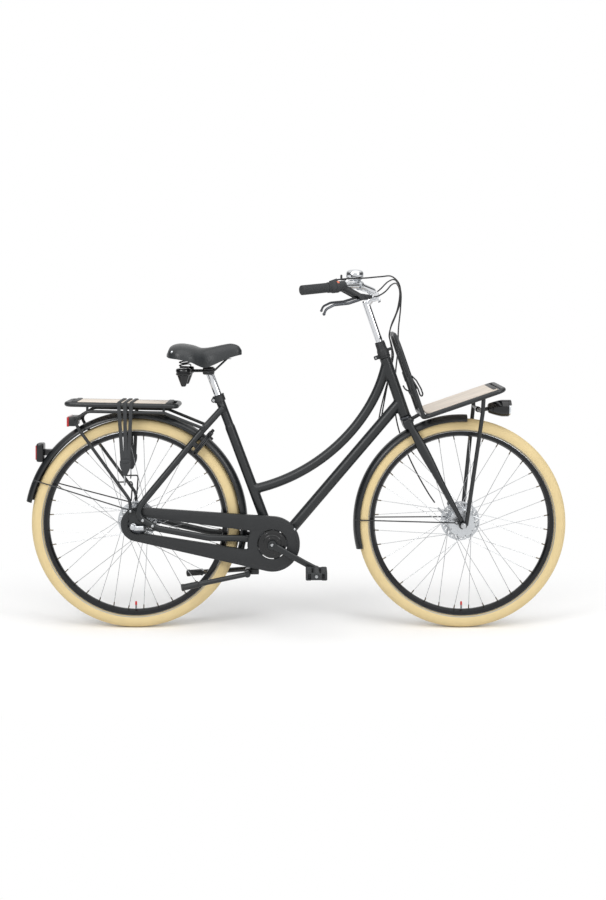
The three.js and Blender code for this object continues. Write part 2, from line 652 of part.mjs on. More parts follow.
// The plate between the two frame bolts and the axle, with its slot open to the rear.
function dropoutPlate(side) {
  const outline = [
    new THREE.Vector2(rearAxle.x - dropout.rim, tyre.radius - dropout.rim),
    new THREE.Vector2(rearAxle.x + dropout.rim, tyre.radius - dropout.rim),
    new THREE.Vector2(dropoutBolts[1][0] + dropout.boltRadius, dropoutBolts[1][1] - dropout.boltRadius),
    new THREE.Vector2(dropoutBolts[1][0], dropoutBolts[1][1] + dropout.boltRadius),
    new THREE.Vector2(dropoutBolts[0][0], dropoutBolts[0][1] + dropout.rim),
    new THREE.Vector2(stayEye.x + stayEye.radius, stayEye.z + stayEye.radius),
    new THREE.Vector2(stayEye.x - stayEye.radius, stayEye.z + stayEye.radius),
    new THREE.Vector2(rearAxle.x - dropout.rim, tyre.radius + dropout.rim),
  ];
  const slotHalf = rearAxle.radius + gap;
  const slot = box(
    vector(rearAxle.x - dropout.slot, side * dropoutInner - dropout.thick * 2, tyre.radius - slotHalf),
    vector(rearAxle.x + slotHalf, side * dropoutInner + dropout.thick * 2, tyre.radius + slotHalf),
  );
  return cut(plate(outline, [], side * dropoutInner, side * (dropoutInner + dropout.thick)), slot);
}

const headTubeTop = fromSteering(0, 0, headTube.top);
const topTubeSeatEnd = alongSeat(topTubeCurve.seatHeight);
const downTubeHead = fromSteering(0, 0, headTube.bottom + downTube.headRise);
const downTubeFoot = vector(bottomBracket.x + downTube.footAhead, 0, bottomBracket.z - downTube.footBelow);

function frameSolid() {
  const curve = new THREE.CubicBezierCurve3(
    fromSteering(0, 0, headTube.top - topTube.headDrop),
    vector(topTubeCurve.headLead[0], 0, topTubeCurve.headLead[1]),
    vector(topTubeCurve.seatLead[0], 0, topTubeCurve.seatLead[1]), topTubeSeatEnd,
  );
  const neck = alongSeat(seatTube.length - seatTube.neckLength);
  const tubes = [
    tube([shellCentre, neck], seatTube.radius, facets.round),
    tube([alongSeat(seatTube.length - 2 * seatTube.neckLength), seatTop], seatTube.neckRadius, facets.round),
    tube(curve.getSpacedPoints(topTube.steps), topTube.radius, facets.round),
    tube([downTubeHead, downTubeFoot], downTube.radius, facets.round),
    tube([fromSteering(0, 0, headTube.bottom), headTubeTop], headTube.radius, facets.round),
    turnedY(drum(bottomBracket.radius, -bottomBracket.width / 2, bottomBracket.width / 2), facets.hub)
      .translate([bottomBracket.x, 0, bottomBracket.z]),
    ...bothSides((side) => stayTube(side, 0)),
    ...bothSides((side) => dropoutPlate(side)),
  ];
  const bossFace = chainCase.outerFace + gap;
  const reach = caseBoss.frontReach / downTubeHead.distanceTo(downTubeFoot);
  const bossAt = downTubeFoot.clone().lerp(downTubeHead, reach);
  const bosses = [
    turnedY(drum(caseBoss.radius, -stay.dropoutY, -bossFace))
      .translate([caseBoss.rear[0], 0, caseBoss.rear[1]]),
    turnedY(drum(caseBoss.radius, -chainCase.backFace + gap, 0)).translate([bossAt.x, 0, bossAt.z]),
    turnedY(drum(brake.bolt, rearBrakeArmFace + gap, stay.dropoutY))
      .translate([brake.rearBoss[0], 0, brake.rearBoss[1]]),
  ];
  const standTop = box(
    vector(standPlate.back, -stayRoute.wheelFront[2], standPlate.top - standPlate.thick * 2),
    vector(standPlate.front, stayRoute.wheelFront[2], standPlate.top),
  );
  const standBody = box(
    vector(standPlate.back, -standPlate.half, standPlate.bottom),
    vector(standPlate.front, standPlate.half, standPlate.top),
  );
  const standLug = tube([
    vector(stand.pivot[0], -standPlate.half, stand.pivot[1]),
    vector(stand.pivot[0], standPlate.half, stand.pivot[1]),
  ], stand.pivotRadius + standPlate.thick, facets.pivot);
  const standNeck = box(
    vector(stand.pivot[0], -standPlate.half, stand.pivot[1] - stand.pivotRadius),
    vector(standPlate.front, standPlate.half, standPlate.bottom + standPlate.thick),
  );
  const bores = [
    tube([alongSeat(seatTube.length - seatTube.boreDepth), alongSeat(seatTube.length + overrun)],
      boreRadius(seatPost.radius), facets.round),
    tube([fromSteering(0, 0, headTube.bottom - overrun), fromSteering(0, 0, headTube.top + overrun)],
      headTube.bore, facets.round),
    turnedY(drum(bottomBracket.bore + gap, -bottomBracket.width, bottomBracket.width), facets.hub)
      .translate([bottomBracket.x, 0, bottomBracket.z]),
    tube([
      vector(stand.pivot[0], -standPlate.half - overrun, stand.pivot[1]),
      vector(stand.pivot[0], standPlate.half + overrun, stand.pivot[1]),
    ], boreRadius(stand.pivotRadius, facets.pivot), facets.pivot),
  ];
  const capTop = fromSteering(0, 0, headTube.top + headset.cupHeight);
  const headCap = tube([headTubeTop, capTop], headTube.radius * 2, facets.round);
  const cableHoles = [rearBrakeCableRoute, shiftCableRoute].map((route) => {
    const [before, last] = route.slice(-2).map(([x, y, z]) => fromSteering(x, y, z));
    const way = last.clone().sub(before).normalize();
    const end = last.clone().addScaledVector(way, gap);
    return tube([before, end], boreRadius(cable.radius, facets.tube), facets.tube);
  });
  return cut(join(tubes, bosses, standTop, standBody, standLug, standNeck), bores, headCap, cableHoles);
}

addPart("frame", frameSolid(), "frame");

// Bottom bracket cartridge: a sealed unit that the crank axle turns in
const cartridgeHalf = bottomBracket.width / 2 + bottomBracket.proud;
addPart("bottom_bracket", turnedY(washer(
  boreRadius(crankAxle.radius, facets.hub), bottomBracket.bore, -cartridgeHalf, cartridgeHalf,
), facets.hub), "steel", drive);

// Seat clamp with its bolt behind the seat tube
function seatClampSolid() {
  const low = alongSeat(seatTube.length - seatClamp.height + seatClamp.over);
  const high = alongSeat(seatTube.length + seatClamp.over);
  const ears = tube([
    vector(0, -seatClamp.boltLength / 2, 0), vector(0, seatClamp.boltLength / 2, 0),
  ], seatClamp.ear, facets.pivot);
  const middle = low.clone().lerp(high, 0.5);
  const behind = vector(-Math.cos(seatTube.lean), 0, -Math.sin(seatTube.lean));
  const place = middle.addScaledVector(behind, seatClamp.radius);
  const collar = tube([low, high], seatClamp.radius, facets.round);
  const body = join(collar, ears.translate([place.x, place.y, place.z]));
  const neck = tube([
    alongSeat(seatTube.length - seatClamp.height * 2), alongSeat(seatTube.length + gap),
  ], boreRadius(seatTube.neckRadius), facets.round);
  const mouth = tube([alongSeat(seatTube.length - weld), alongSeat(seatTube.length + seatClamp.height)],
    boreRadius(seatPost.radius), facets.round);
  return cut(body, neck, mouth);
}

addPart("seat_clamp", seatClampSolid(), "plastic");

// Mudguards: a thin crowned strip bent round the tyre
function guardSection(shape) {
  const outer = [];
  const inner = [];
  for (let i = 0; i <= guard.sections; i += 1) {
    const angle = Math.PI * i / guard.sections;
    const base = shape.radius - guard.depth;
    outer.push(new THREE.Vector2(-shape.half * Math.cos(angle), base + guard.depth * Math.sin(angle)));
    inner.push(new THREE.Vector2(
      -(shape.half - guard.thick) * Math.cos(angle), base + (guard.depth - guard.thick) * Math.sin(angle),
    ));
  }
  return [...outer, ...inner.reverse()];
}

function guardBand(shape, section) {
  const steps = Math.ceil((shape.to - shape.from) / guard.step);
  const rings = [];
  for (let i = 0; i <= steps; i += 1) {
    const angle = shape.from + (shape.to - shape.from) * i / steps;
    rings.push(section.map((p) => vector(p.y * Math.cos(angle), p.x, p.y * Math.sin(angle))));
  }
  return loft(rings, { section });
}

// A stay rod from the guard's edge to its eye, with the eye flat against the dropout
function guardRods(shape, angle, eye, faceY) {
  const edge = shape.radius - guard.depth;
  return bothSides((side) => {
    const from = vector(
      (edge + guard.depth / 2) * Math.cos(angle), side * (shape.half - guard.thick / 2),
      (edge + guard.depth / 2) * Math.sin(angle),
    );
    const to = vector(eye[0], side * (faceY + 2 * gap + guard.stayRadius), eye[1]);
    const ys = lowFirst(side * (faceY + gap), side * (faceY + gap + stayEye.thick));
    return join(
      tube([from, to], guard.stayRadius, facets.tube),
      turnedY(drum(guardStay.eye, ys[0], ys[1])).translate([to.x, 0, to.z]),
    );
  });
}

const rearEye = [stayEye.x - rearAxle.x, stayEye.z - tyre.radius];
const intoRearWheel = [-rearAxle.x, 0, -tyre.radius];
const rearGuardBand = cut(
  guardBand(rearGuard, guardSection(rearGuard)),
  bothSides((side) => stayTube(side, guard.room).translate(intoRearWheel)),
);
addPart("rear_mudguard", join(
  rearGuardBand, guardRods(rearGuard, guardStay.rearAngle, rearEye, dropoutInner + dropout.thick),
), "frame", rearWheel);

// Chain drive
const axleSpan = Math.hypot(bottomBracket.x - rearAxle.x, bottomBracket.z - tyre.radius);
const pitchRadius = (teeth, pitch) => pitch / (2 * Math.sin(Math.PI / teeth));

function loopLength(pitch) {
  const front = pitchRadius(ring.teeth, pitch);
  const rear = pitchRadius(sprocket.teeth, pitch);
  const spread = Math.asin((front - rear) / axleSpan);
  return 2 * axleSpan * Math.cos(spread) + (Math.PI + 2 * spread) * front + (Math.PI - 2 * spread) * rear;
}

// The chain has a whole number of links, so its fitted pitch takes up the slack at the axle.
const linkCount = 2 * Math.round(loopLength(chain.pitch) / chain.pitch / 2);
let fittedPitch = chain.pitch;
for (let i = 0; i < 12; i += 1) fittedPitch = loopLength(fittedPitch) / linkCount;
const frontPitch = { x: bottomBracket.x, z: bottomBracket.z, radius: pitchRadius(ring.teeth, fittedPitch) };
const rearPitch = { x: rearAxle.x, z: tyre.radius, radius: pitchRadius(sprocket.teeth, fittedPitch) };
const runAngle = Math.atan2(frontPitch.z - rearPitch.z, frontPitch.x - rearPitch.x);
const runSpread = Math.asin((frontPitch.radius - rearPitch.radius) / axleSpan);

// The place of a point on the chain's centre line, from the middle of the front wrap
function chainPoint(length) {
  const frontHalf = (Math.PI / 2 + runSpread) * frontPitch.radius;
  const rearHalf = (Math.PI / 2 - runSpread) * rearPitch.radius;
  const straight = axleSpan * Math.cos(runSpread);
  const total = 2 * (frontHalf + straight + rearHalf);
  const along = ((length % total) + total) % total;
  const mirrored = along > total / 2;
  const way = mirrored ? total - along : along;
  const sign = mirrored ? -1 : 1;
  const up = Math.PI / 2 + runSpread;
  const polar = (centre, angle) => [
    centre.x + centre.radius * Math.cos(runAngle + sign * angle),
    centre.z + centre.radius * Math.sin(runAngle + sign * angle),
  ];
  if (way <= frontHalf) return polar(frontPitch, way / frontPitch.radius);
  const past = way - frontHalf - straight;
  if (past >= 0) return polar(rearPitch, up + past / rearPitch.radius);
  const start = polar(frontPitch, up);
  const end = polar(rearPitch, up);
  const share = (way - frontHalf) / straight;
  return [start[0] + (end[0] - start[0]) * share, start[1] + (end[1] - start[1]) * share];
}

function chainSolid() {
  const grow = (circleValues, extra) => ({ ...circleValues, radius: circleValues.radius + extra });
  const steps = 6;
  const rails = bothSides((side) => {
    const inner = chain.line + side * chain.innerHalf;
    const outline = beltOutline(grow(frontPitch, chain.plateHalf), grow(rearPitch, chain.plateHalf), steps);
    const hole = beltOutline(grow(frontPitch, -chain.plateHalf), grow(rearPitch, -chain.plateHalf), steps);
    return plate(outline, [hole], inner, inner + side * chain.plateThick);
  });
  const rollers = [];
  for (let i = 0; i < linkCount; i += chain.rollerEvery) {
    const [x, z] = chainPoint(i * fittedPitch);
    const reach = chain.innerHalf + chain.plateThick / 2;
    const roller = turnedY(drum(chain.roller, chain.line - reach, chain.line + reach), facets.spoke);
    rollers.push(roller.translate([x, 0, z]));
  }
  return join(rails, rollers);
}

// A toothed wheel with a gullet at each chain roller; phase turns it until a gullet meets a roller
function toothOutline(teeth, radius, phase) {
  const points = [];
  for (let i = 0; i < teeth; i += 1) {
    const gulletAt = phase + i * 2 * Math.PI / teeth;
    const half = Math.PI / teeth;
    const stops = [[gulletAt, radius - chain.gullet], [gulletAt + half, radius + ring.toothRise]];
    stops.forEach(([angle, reach]) => {
      points.push(new THREE.Vector2(reach * Math.cos(angle), reach * Math.sin(angle)));
    });
  }
  return points;
}

function chainringSolid() {
  const teeth = toothOutline(ring.teeth, frontPitch.radius, runAngle);
  const rootRadius = frontPitch.radius - chain.gullet;
  const armTurn = 2 * Math.PI / ring.arms;
  const holes = [circle(0, 0, crank.taper + gap, 8)];
  for (let i = 0; i < ring.arms; i += 1) {
    const inner = Math.asin(ring.armWidth / 2 / ring.spiderInner);
    const outer = Math.asin(ring.armWidth / 2 / (rootRadius - ring.rimWall));
    holes.push([
      ...arc(0, 0, rootRadius - ring.rimWall, i * armTurn + outer, (i + 1) * armTurn - outer, 3),
      ...arc(0, 0, ring.spiderInner, (i + 1) * armTurn - inner, i * armTurn + inner, 1),
    ]);
  }
  return plate(teeth, holes, chain.line - ring.thick / 2, chain.line + ring.thick / 2);
}

function sprocketSolid() {
  const phase = runAngle + Math.PI + (linkCount / 2 % 1 ? Math.PI / sprocket.teeth : 0);
  const teeth = toothOutline(sprocket.teeth, rearPitch.radius, phase);
  const face = sprocket.thick / 2;
  const bore = circle(0, 0, rearAxle.radius + runGap, 8);
  const toothed = plate(teeth, [bore], chain.line - face, chain.line + face);
  const sleeve = turnedY(washer(
    rearAxle.radius + runGap, sprocket.bore, chain.line, rearHub.right - rearHub.flangeThick - runGap,
  ), facets.round, Math.PI / 2);
  return join(toothed, sleeve);
}

addPart("chain", chainSolid(), "steel");
addPart("chainring", chainringSolid(), "steel", drive);
addPart("rear_sprocket", sprocketSolid(), "steel", rearWheel);

// Cranks: tapered arms on square axle ends, with the pedal spindle at the far end
function crankSolid(side) {
  const turn = crank.angle + (side < 0 ? 0 : Math.PI);
  const direction = vector(Math.cos(turn), 0, Math.sin(turn));
  const across = vector(-direction.z, 0, direction.x);
  const ringAt = (length, inner, thick, half) => ringShape(thick / 2, half, 8).map((p) => (
    direction.clone().multiplyScalar(length).addScaledVector(across, p.y)
      .add(vector(0, side * (inner + thick / 2) + p.x, 0))
  ));
  const arm = loft([
    ringAt(0, crank.inner, crank.bossDepth, crank.bossRadius),
    ringAt(crank.length * crankShares[0], crank.inner + crankWaist.shift, crank.endThick + crankWaist.extra,
      crankWaist.rootHalf),
    ringAt(crank.length * crankShares[1], crank.endInner, crank.endThick, crankWaist.half),
    ringAt(crank.length + crank.endHalf, crank.endInner, crank.endThick, crank.endHalf),
  ]);
  const ends = lowFirst(side * crank.inner, side * (crank.inner + crank.bossDepth));
  const boss = turnedY(drum(crank.bossRadius, ends[0], ends[1]), facets.boss);
  const spindleEnds = [
    crank.endInner + crank.endThick / 2, crank.endInner + crank.endThick + pedal.inset + pedal.width,
  ];
  const spindle = tube(spindleEnds.map((y) => (
    direction.clone().multiplyScalar(crank.length).add(vector(0, side * y, 0))
  )), pedal.spindle, facets.tube);
  const taper = turnedY(drum(crank.taper + gap, -crankAxle.overall, crankAxle.overall), 4, Math.PI / 4);
  const bolt = turnedY(drum(
    crankAxle.boltHead + runGap, ...lowFirst(side * crankAxle.overall / 2, side * crankAxle.overall),
  ), facets.hub);
  const pieces = [arm, boss, spindle];
  if (side < 0) {
    const face = chainCase.outerFace - gap;
    const ringFace = chain.line - ring.thick / 2 - gap;
    pieces.push(turnedY([
      [0, -crank.inner - crank.coverThick], [crank.coverHub, -crank.inner - crank.coverThick],
      [crank.coverRadius, -face], [crank.coverRadius, -face + crank.coverThick], [crank.sleeve, ringFace],
      [0, ringFace],
    ], facets.hub));
  }
  return cut(join(pieces), taper, bolt);
}

// The axle has square ends in the cranks, each with a bolt head
function crankAxleSolid() {
  const half = crankAxle.overall / 2;
  const roundEnd = bottomBracket.width / 2 + crankAxle.shoulder;
  const round = turnedY(drum(crankAxle.radius, -roundEnd, roundEnd), facets.round);
  const ends = bothSides((side) => {
    const ys = lowFirst(side * (roundEnd - weld), side * half);
    const heads = lowFirst(side * (half - weld), side * (half + crankAxle.boltHead / 2));
    return join(
      turnedY(drum(crank.taper, ys[0], ys[1]), 4, Math.PI / 4),
      turnedY(drum(crankAxle.boltHead, heads[0], heads[1]), facets.tube),
    );
  });
  return join(round, ends);
}

addPart("crank_axle", crankAxleSolid(), "steel", drive);
addPart("right_crank", crankSolid(-1), "frame", drive);
addPart("left_crank", crankSolid(1), "frame", drive);

// Pedals: a barrel on the spindle between two treads and two cheeks
function pedalSolid(side) {
  const turn = crank.angle + (side < 0 ? 0 : Math.PI);
  const centreY = side * (crank.endInner + crank.endThick + pedal.inset + pedal.width / 2);
  const half = { x: pedal.length / 2, y: pedal.width / 2, z: pedal.height / 2 };
  const treads = bothSides((end) => {
    const xs = lowFirst(end * half.x, end * (half.x - pedal.treadLength));
    return box(vector(xs[0], -half.y, -half.z), vector(xs[1], half.y, half.z));
  });
  const cheeks = bothSides((end) => {
    const ys = lowFirst(end * half.y, end * (half.y - pedal.cheek));
    return box(
      vector(-half.x + pedal.cheek, ys[0], -pedal.barrel), vector(half.x - pedal.cheek, ys[1], pedal.barrel),
    );
  });
  const barrel = turnedY(drum(pedal.barrel, -half.y, half.y), facets.round);
  const bore = turnedY(drum(boreRadius(pedal.spindle), -half.y - overrun, half.y + overrun), facets.round);
  return cut(join(barrel, treads, cheeks), bore)
    .translate([crank.length * Math.cos(turn), centreY, crank.length * Math.sin(turn)]);
}

addPart("right_pedal", pedalSolid(-1), "rubber", drive);
addPart("left_pedal", pedalSolid(1), "rubber", drive);

// Chain case: a front plate with an outer skirt and a skirt round the long slot between the chain's runs
const caseRear = { x: rearAxle.x + chainCase.rearAhead, z: tyre.radius + chainCase.rearAbove };

function slotOutline(extra) {
  const front = { x: bottomBracket.x, z: bottomBracket.z };
  const along = Math.atan2(front.z - caseRear.z, front.x - caseRear.x);
  const rearRadius = chainCase.openRadius + extra;
  const frontRadius = chainCase.slotFront - extra;
  const flare = extra * Math.SQRT2;
  const upper = Math.asin((chainCase.upperFront + flare) / frontRadius);
  const lower = Math.asin((chainCase.lowerFront + flare) / frontRadius);
  return [
    ...arc(front.x, front.z, frontRadius, along + Math.PI + lower, along + Math.PI - upper, 4),
    ...arc(caseRear.x, caseRear.z, rearRadius, along + Math.PI / 3, along + 2 * Math.PI - Math.PI / 3, 10),
  ];
}

function chainCaseSolid() {
  const front = { x: bottomBracket.x, z: bottomBracket.z, radius: chainCase.frontRadius };
  const rear = { ...caseRear, radius: chainCase.rearRadius };
  const shrink = (c) => ({ ...c, radius: c.radius - chainCase.wall });
  const steps = 8;
  const faceY = -chainCase.outerFace;
  const body = plate(beltOutline(front, rear, steps), [slotOutline(0)], faceY, -chainCase.backFace);
  const hollow = plate(
    beltOutline(shrink(front), shrink(rear), steps), [slotOutline(chainCase.wall)], faceY + chainCase.wall,
    -chainCase.backFace + overrun,
  );
  const sprocketRoom = turnedY(
    drum(chainCase.sprocketRoom, faceY + chainCase.wall, -chainCase.backFace + overrun), facets.hub,
  ).translate([rearAxle.x, 0, tyre.radius]);
  const mouthRadius = boreRadius(crank.coverRadius + runGap, facets.hub);
  const mouth = turnedY(drum(mouthRadius, faceY - overrun, faceY + overrun), facets.hub)
    .translate([bottomBracket.x, 0, bottomBracket.z]);
  return cut(body, hollow, sprocketRoom, mouth);
}

addPart("chain_case", chainCaseSolid(), "plastic");

// Gear changer on the right end of the rear axle
function shiftUnitSolid() {
  const face = -(dropoutInner + dropout.thick + rearAxle.radius * 2 + 2 * gap);
  const cap = turnedY(drum(shiftUnit.radius, face - shiftUnit.depth, face));
  const armInner = face - shiftUnit.armInset;
  const arm = box(
    vector(0, armInner - shiftUnit.armThick, shiftUnit.armTop - shiftUnit.armHeight),
    vector(shiftUnit.reach, armInner, shiftUnit.armTop),
  );
  const bore = turnedY(drum(rearAxle.radius + gap, -rearAxle.overall / 2 - gap, 0), facets.round);
  return cut(join(cap, arm), bore);
}

addPart("shift_unit", shiftUnitSolid(), "alloy", rearWheel);

// Rear carrier: a loop round the wooden deck, a lower rail, legs to the axle and arms to the seat stays
const deckAngle = Math.atan2(carrier.frontZ - carrier.rearZ, carrier.front - carrier.rear);
const onCarrier = (x, y, rise = 0) => (
  vector(x, y, carrier.rearZ + (x - carrier.rear) * Math.tan(deckAngle) + rise)
);

function closedLoop(corners, radius, bend, sides) {
  const stops = rounded([...corners, corners[0], corners[1]], bend);
  const firstBend = stops.filter((stop) => stop.corner > 0 && stop.corner <= corners.length);
  const points = firstBend.map((stop) => stop.at);
  const outline = ringShape(radius, radius, sides);
  const rings = points.map((at, i) => {
    const before = points[(i + points.length - 1) % points.length];
    const after = points[(i + 1) % points.length];
    const tangent = at.clone().sub(before).normalize().add(after.clone().sub(at).normalize()).normalize();
    const flat = vector(0, 0, 1).addScaledVector(tangent, -tangent.z).normalize();
    const sideways = tangent.clone().cross(flat);
    return outline.map((p) => at.clone().addScaledVector(sideways, p.x).addScaledVector(flat, p.y));
  });
  return loft(rings, { closed: true });
}

function rearCarrierSolid() {
  const inset = carrier.tube;
  const loop = closedLoop([
    onCarrier(carrier.rear + inset, -carrier.half), onCarrier(carrier.front - inset, -carrier.half),
    onCarrier(carrier.front - inset, carrier.half), onCarrier(carrier.rear + inset, carrier.half),
  ], carrier.tube, carrier.corner, facets.tube);
  const crossbars = [carrierDeck.rear - inset, carrierDeck.front + inset].map((x) => (
    tube([onCarrier(x, -carrier.half), onCarrier(x, carrier.half)], carrier.crossTube, facets.tube)
  ));
  const sides = bothSides((side) => {
    const y = side * carrier.half;
    const footY = side * (dropoutInner + dropout.thick + 4 * gap + 2 * guard.stayRadius + carrier.railTube);
    const leg = [
      onCarrier(carrier.railFront, y, -carrier.railDrop), onCarrier(carrierLeg.top[0], y, -carrier.railDrop),
      vector(carrierLeg.elbow[0], y, carrierLeg.elbow[1]),
      vector(carrierLeg.shoulder[0], y, carrierLeg.shoulder[1]),
      vector(carrierLeg.foot[0], footY, carrierLeg.foot[1]),
      vector(stayEye.x, footY, stayEye.z),
    ];
    const armStart = onCarrier(carrier.railFront, y, -carrier.railDrop);
    const armEnd = vector(carrierArm.end[0], side * (stayRoute.crossing[2] + stay.flatHalf + carrier.railTube
      + gap), carrierArm.end[1]);
    const joints = [carrier.railRear, carrier.railFront].map((x) => tube(
      [onCarrier(x, y, -carrier.railDrop), onCarrier(x, y)], carrier.postTube, facets.bar,
    ));
    const catchY = y + (footY - y) * catchShare;
    const catchPoints = carrierLeg.catch.map(([x, z]) => vector(x, catchY, z));
    const hookCatch = tube(catchPoints, carrierLeg.catchTube, facets.bar);
    return join(
      bentTube(leg, carrier.railTube, carrierArm.bend, facets.wire),
      tube([armStart, armEnd], carrier.railTube, facets.wire), joints, hookCatch,
    );
  });
  const reflectorBar = tube([
    vector(carrierLeg.elbow[0], -carrier.half, reflector.z),
    vector(carrierLeg.elbow[0], carrier.half, reflector.z),
  ], reflector.bar, facets.bar);
  const reflectorBox = box(
    vector(reflector.x - reflector.depth / 2, -reflector.width / 2, reflector.z - reflector.height / 2),
    vector(carrierLeg.elbow[0], reflector.width / 2, reflector.z + reflector.height / 2),
  );
  return join(loop, crossbars, sides, reflectorBar, reflectorBox);
}

addPart("rear_carrier", rearCarrierSolid(), "frame");

// The distance from the middle of a faceted tube to its flats
const flatOf = (radius, sides) => radius * Math.cos(Math.PI / sides);

function rearDeckSolid() {
  const half = carrier.half - flatOf(carrier.tube, facets.tube) - gap;
  const board = box(vector(0, -half, 0), vector(carrierDeck.front - carrierDeck.rear, half, carrierDeck.thick));
  const place = onCarrier(carrierDeck.rear, 0, carrierDeck.rise - carrierDeck.thick / 2);
  return board.rotate([0, -THREE.MathUtils.radToDeg(deckAngle), 0]).translate([place.x, place.y, place.z]);
}

addPart("rear_deck", rearDeckSolid(), "wood");

// Rubber straps over the rear carrier, gathered on each side in a buckle with a hook below
function strapsSolid() {
  const lift = carrier.tube + strap.thick / 2 + strap.clear;
  const edge = carrier.half + lift;
  const corners = [[-1, -1], [1, -1], [1, 1], [-1, 1]];
  const pieces = [];
  for (let i = -1; i <= 1; i += 1) {
    const topX = strap.x + i * strap.spacing;
    const footX = strap.foot[0] + i * strap.spread;
    const ringAt = (x, y, z, angle) => corners.map(([across, out]) => {
      const lifted = out * strap.thick / 2;
      return vector(x + across * strap.width / 2, y + lifted * Math.cos(angle), z + lifted * Math.sin(angle));
    });
    const rail = onCarrier(topX, 0).z;
    const rings = [ringAt(footX, -edge, strap.foot[1], Math.PI)];
    [[-1, 4], [-1, 3], [-1, 2], [1, 2], [1, 1], [1, 0]].forEach(([side, eighth]) => {
      const angle = eighth * Math.PI / 4;
      const y = side * carrier.half + lift * Math.cos(angle);
      rings.push(ringAt(topX, y, rail + lift * Math.sin(angle), angle));
    });
    rings.push(ringAt(footX, edge, strap.foot[1], 0));
    pieces.push(loft(rings));
  }
  const buckleOutline = strap.buckle.map(([x, z]) => new THREE.Vector2(strap.foot[0] + x, strap.foot[1] + z));
  const ends = bothSides((side) => {
    const ys = [side * (edge - strap.buckleInner), side * (edge + strap.buckleOuter)];
    const buckle = plate(buckleOutline, [], ys[0], ys[1]);
    const hook = tube(strap.hook.map(([out, z]) => (
      vector(strap.foot[0] - strap.thick, side * (edge + out), z)
    )), strap.hookRadius, facets.tube);
    return join(buckle, hook);
  });
  return join(pieces, ends);
}

// Rear lamp on a foot that is shaped to the mudguard
function rearLampSolid() {
  const radius = rearGuard.radius;
  const at = vector(radius * Math.cos(rearLamp.angle), 0, radius * Math.sin(rearLamp.angle));
  const body = box(
    vector(at.x - rearLamp.standoff - rearLamp.depth, -rearLamp.width / 2, at.z - rearLamp.height / 2),
    vector(at.x - rearLamp.standoff, rearLamp.width / 2, at.z + rearLamp.height / 2),
  );
  const foot = box(
    vector(
      at.x - rearLamp.standoff - rearLamp.depth / 2, -rearLamp.footWidth / 2, at.z - rearLamp.footHeight / 2,
    ),
    vector(at.x + rearLamp.standoff, rearLamp.footWidth / 2, at.z + rearLamp.footHeight / 2),
  );
  const grown = { ...rearGuard, radius: radius + 2 * gap, half: rearGuard.half + gap };
  const outline = guardSection(grown).slice(0, guard.sections + 1);
  const floor = radius - 3 * guard.depth;
  const section = [...outline, new THREE.Vector2(grown.half, floor), new THREE.Vector2(-grown.half, floor)];
  return cut(join(body, foot), guardBand(rearGuard, section));
}

addPart("rear_lamp", rearLampSolid(), "lamp", rearWheel);

// Stand: two legs on one pivot, folded back beside the rear wheel
function standSolid() {
  const pivot = vector(stand.pivot[0], 0, stand.pivot[1]);
  const axle = tube([
    vector(pivot.x, -stand.pivotHalf, pivot.z), vector(pivot.x, stand.pivotHalf, pivot.z),
  ], stand.pivotRadius, facets.pivot);
  const legs = bothSides((side) => {
    const start = vector(pivot.x, side * stand.pivotHalf, pivot.z);
    const end = vector(stand.foot[0], side * stand.footHalf, stand.foot[1]);
    const length = start.distanceTo(end);
    const padStart = start.clone().lerp(end, 1 - stand.padLength / length);
    const legEnd = start.clone().lerp(end, 1 - stand.tube / length);
    const leg = tube([start, legEnd], stand.tube, facets.round);
    return join(leg, tube([padStart, end], stand.pad, facets.round));
  });
  return join(axle, legs);
}

addPart("stand", standSolid(), "frame");

// Ring lock: a horseshoe housing in front of the seat stays, and a bow that slides round inside it.
// In its own plane X lies across the bicycle and Z points away from the wheel's axle.
const lockOut = vector(Math.cos(ringLock.angle), 0, Math.sin(ringLock.angle));
const lockBack = vector(-lockOut.z, 0, lockOut.x);
const inLockPlane = (solid) => solid.transform([
  0, 1, 0, 0, lockBack.x, lockBack.y, lockBack.z, 0, lockOut.x, lockOut.y, lockOut.z, 0,
  lockOut.x * ringLock.centre, 0, lockOut.z * ringLock.centre, 1,
]);

function ringSector(inner, outer, from, to, halfThick) {
  const steps = Math.ceil((to - from) / ringLock.step);
  const outline = [...arc(0, 0, outer, from, to, steps), ...arc(0, 0, inner, to, from, steps)];
  return plate(outline, [], -halfThick, halfThick);
}

const lockArms = { from: ringLock.openHalf - Math.PI / 2, to: 3 * Math.PI / 2 - ringLock.openHalf };
const knobAngle = lockArms.to - ringLock.bowSpan;

function ringLockSolid() {
  const housing = ringSector(ringLock.inner, ringLock.outer, lockArms.from, lockArms.to, ringLock.thick / 2);
  const room = ringLock.shackle + runGap;
  const channel = ringSector(
    ringLock.bow - room, ringLock.bow + room,
    lockArms.from - ringLock.knobSlack, lockArms.to + ringLock.knobSlack, room,
  );
  const slot = ringSector(
    ringLock.bow, ringLock.outer + overrun, knobAngle - ringLock.knobSlack,
    knobAngle + ringLock.travel + ringLock.knobSlack, ringLock.knob + 2 * gap,
  );
  const lugs = bothSides((side) => {
    const xs = lowFirst(side * ringLock.lugInner, side * ringLock.lugOuter);
    return box(
      vector(xs[0], ringLock.thick / 2 - 2 * weld, -ringLock.lugHeight / 2),
      vector(xs[1], ringLock.lugDepth, ringLock.lugHeight / 2),
    );
  });
  const stays = bothSides((side) => stayTube(side, gap).translate(intoRearWheel));
  return cut(inLockPlane(join(cut(housing, channel, slot), lugs)), stays);
}

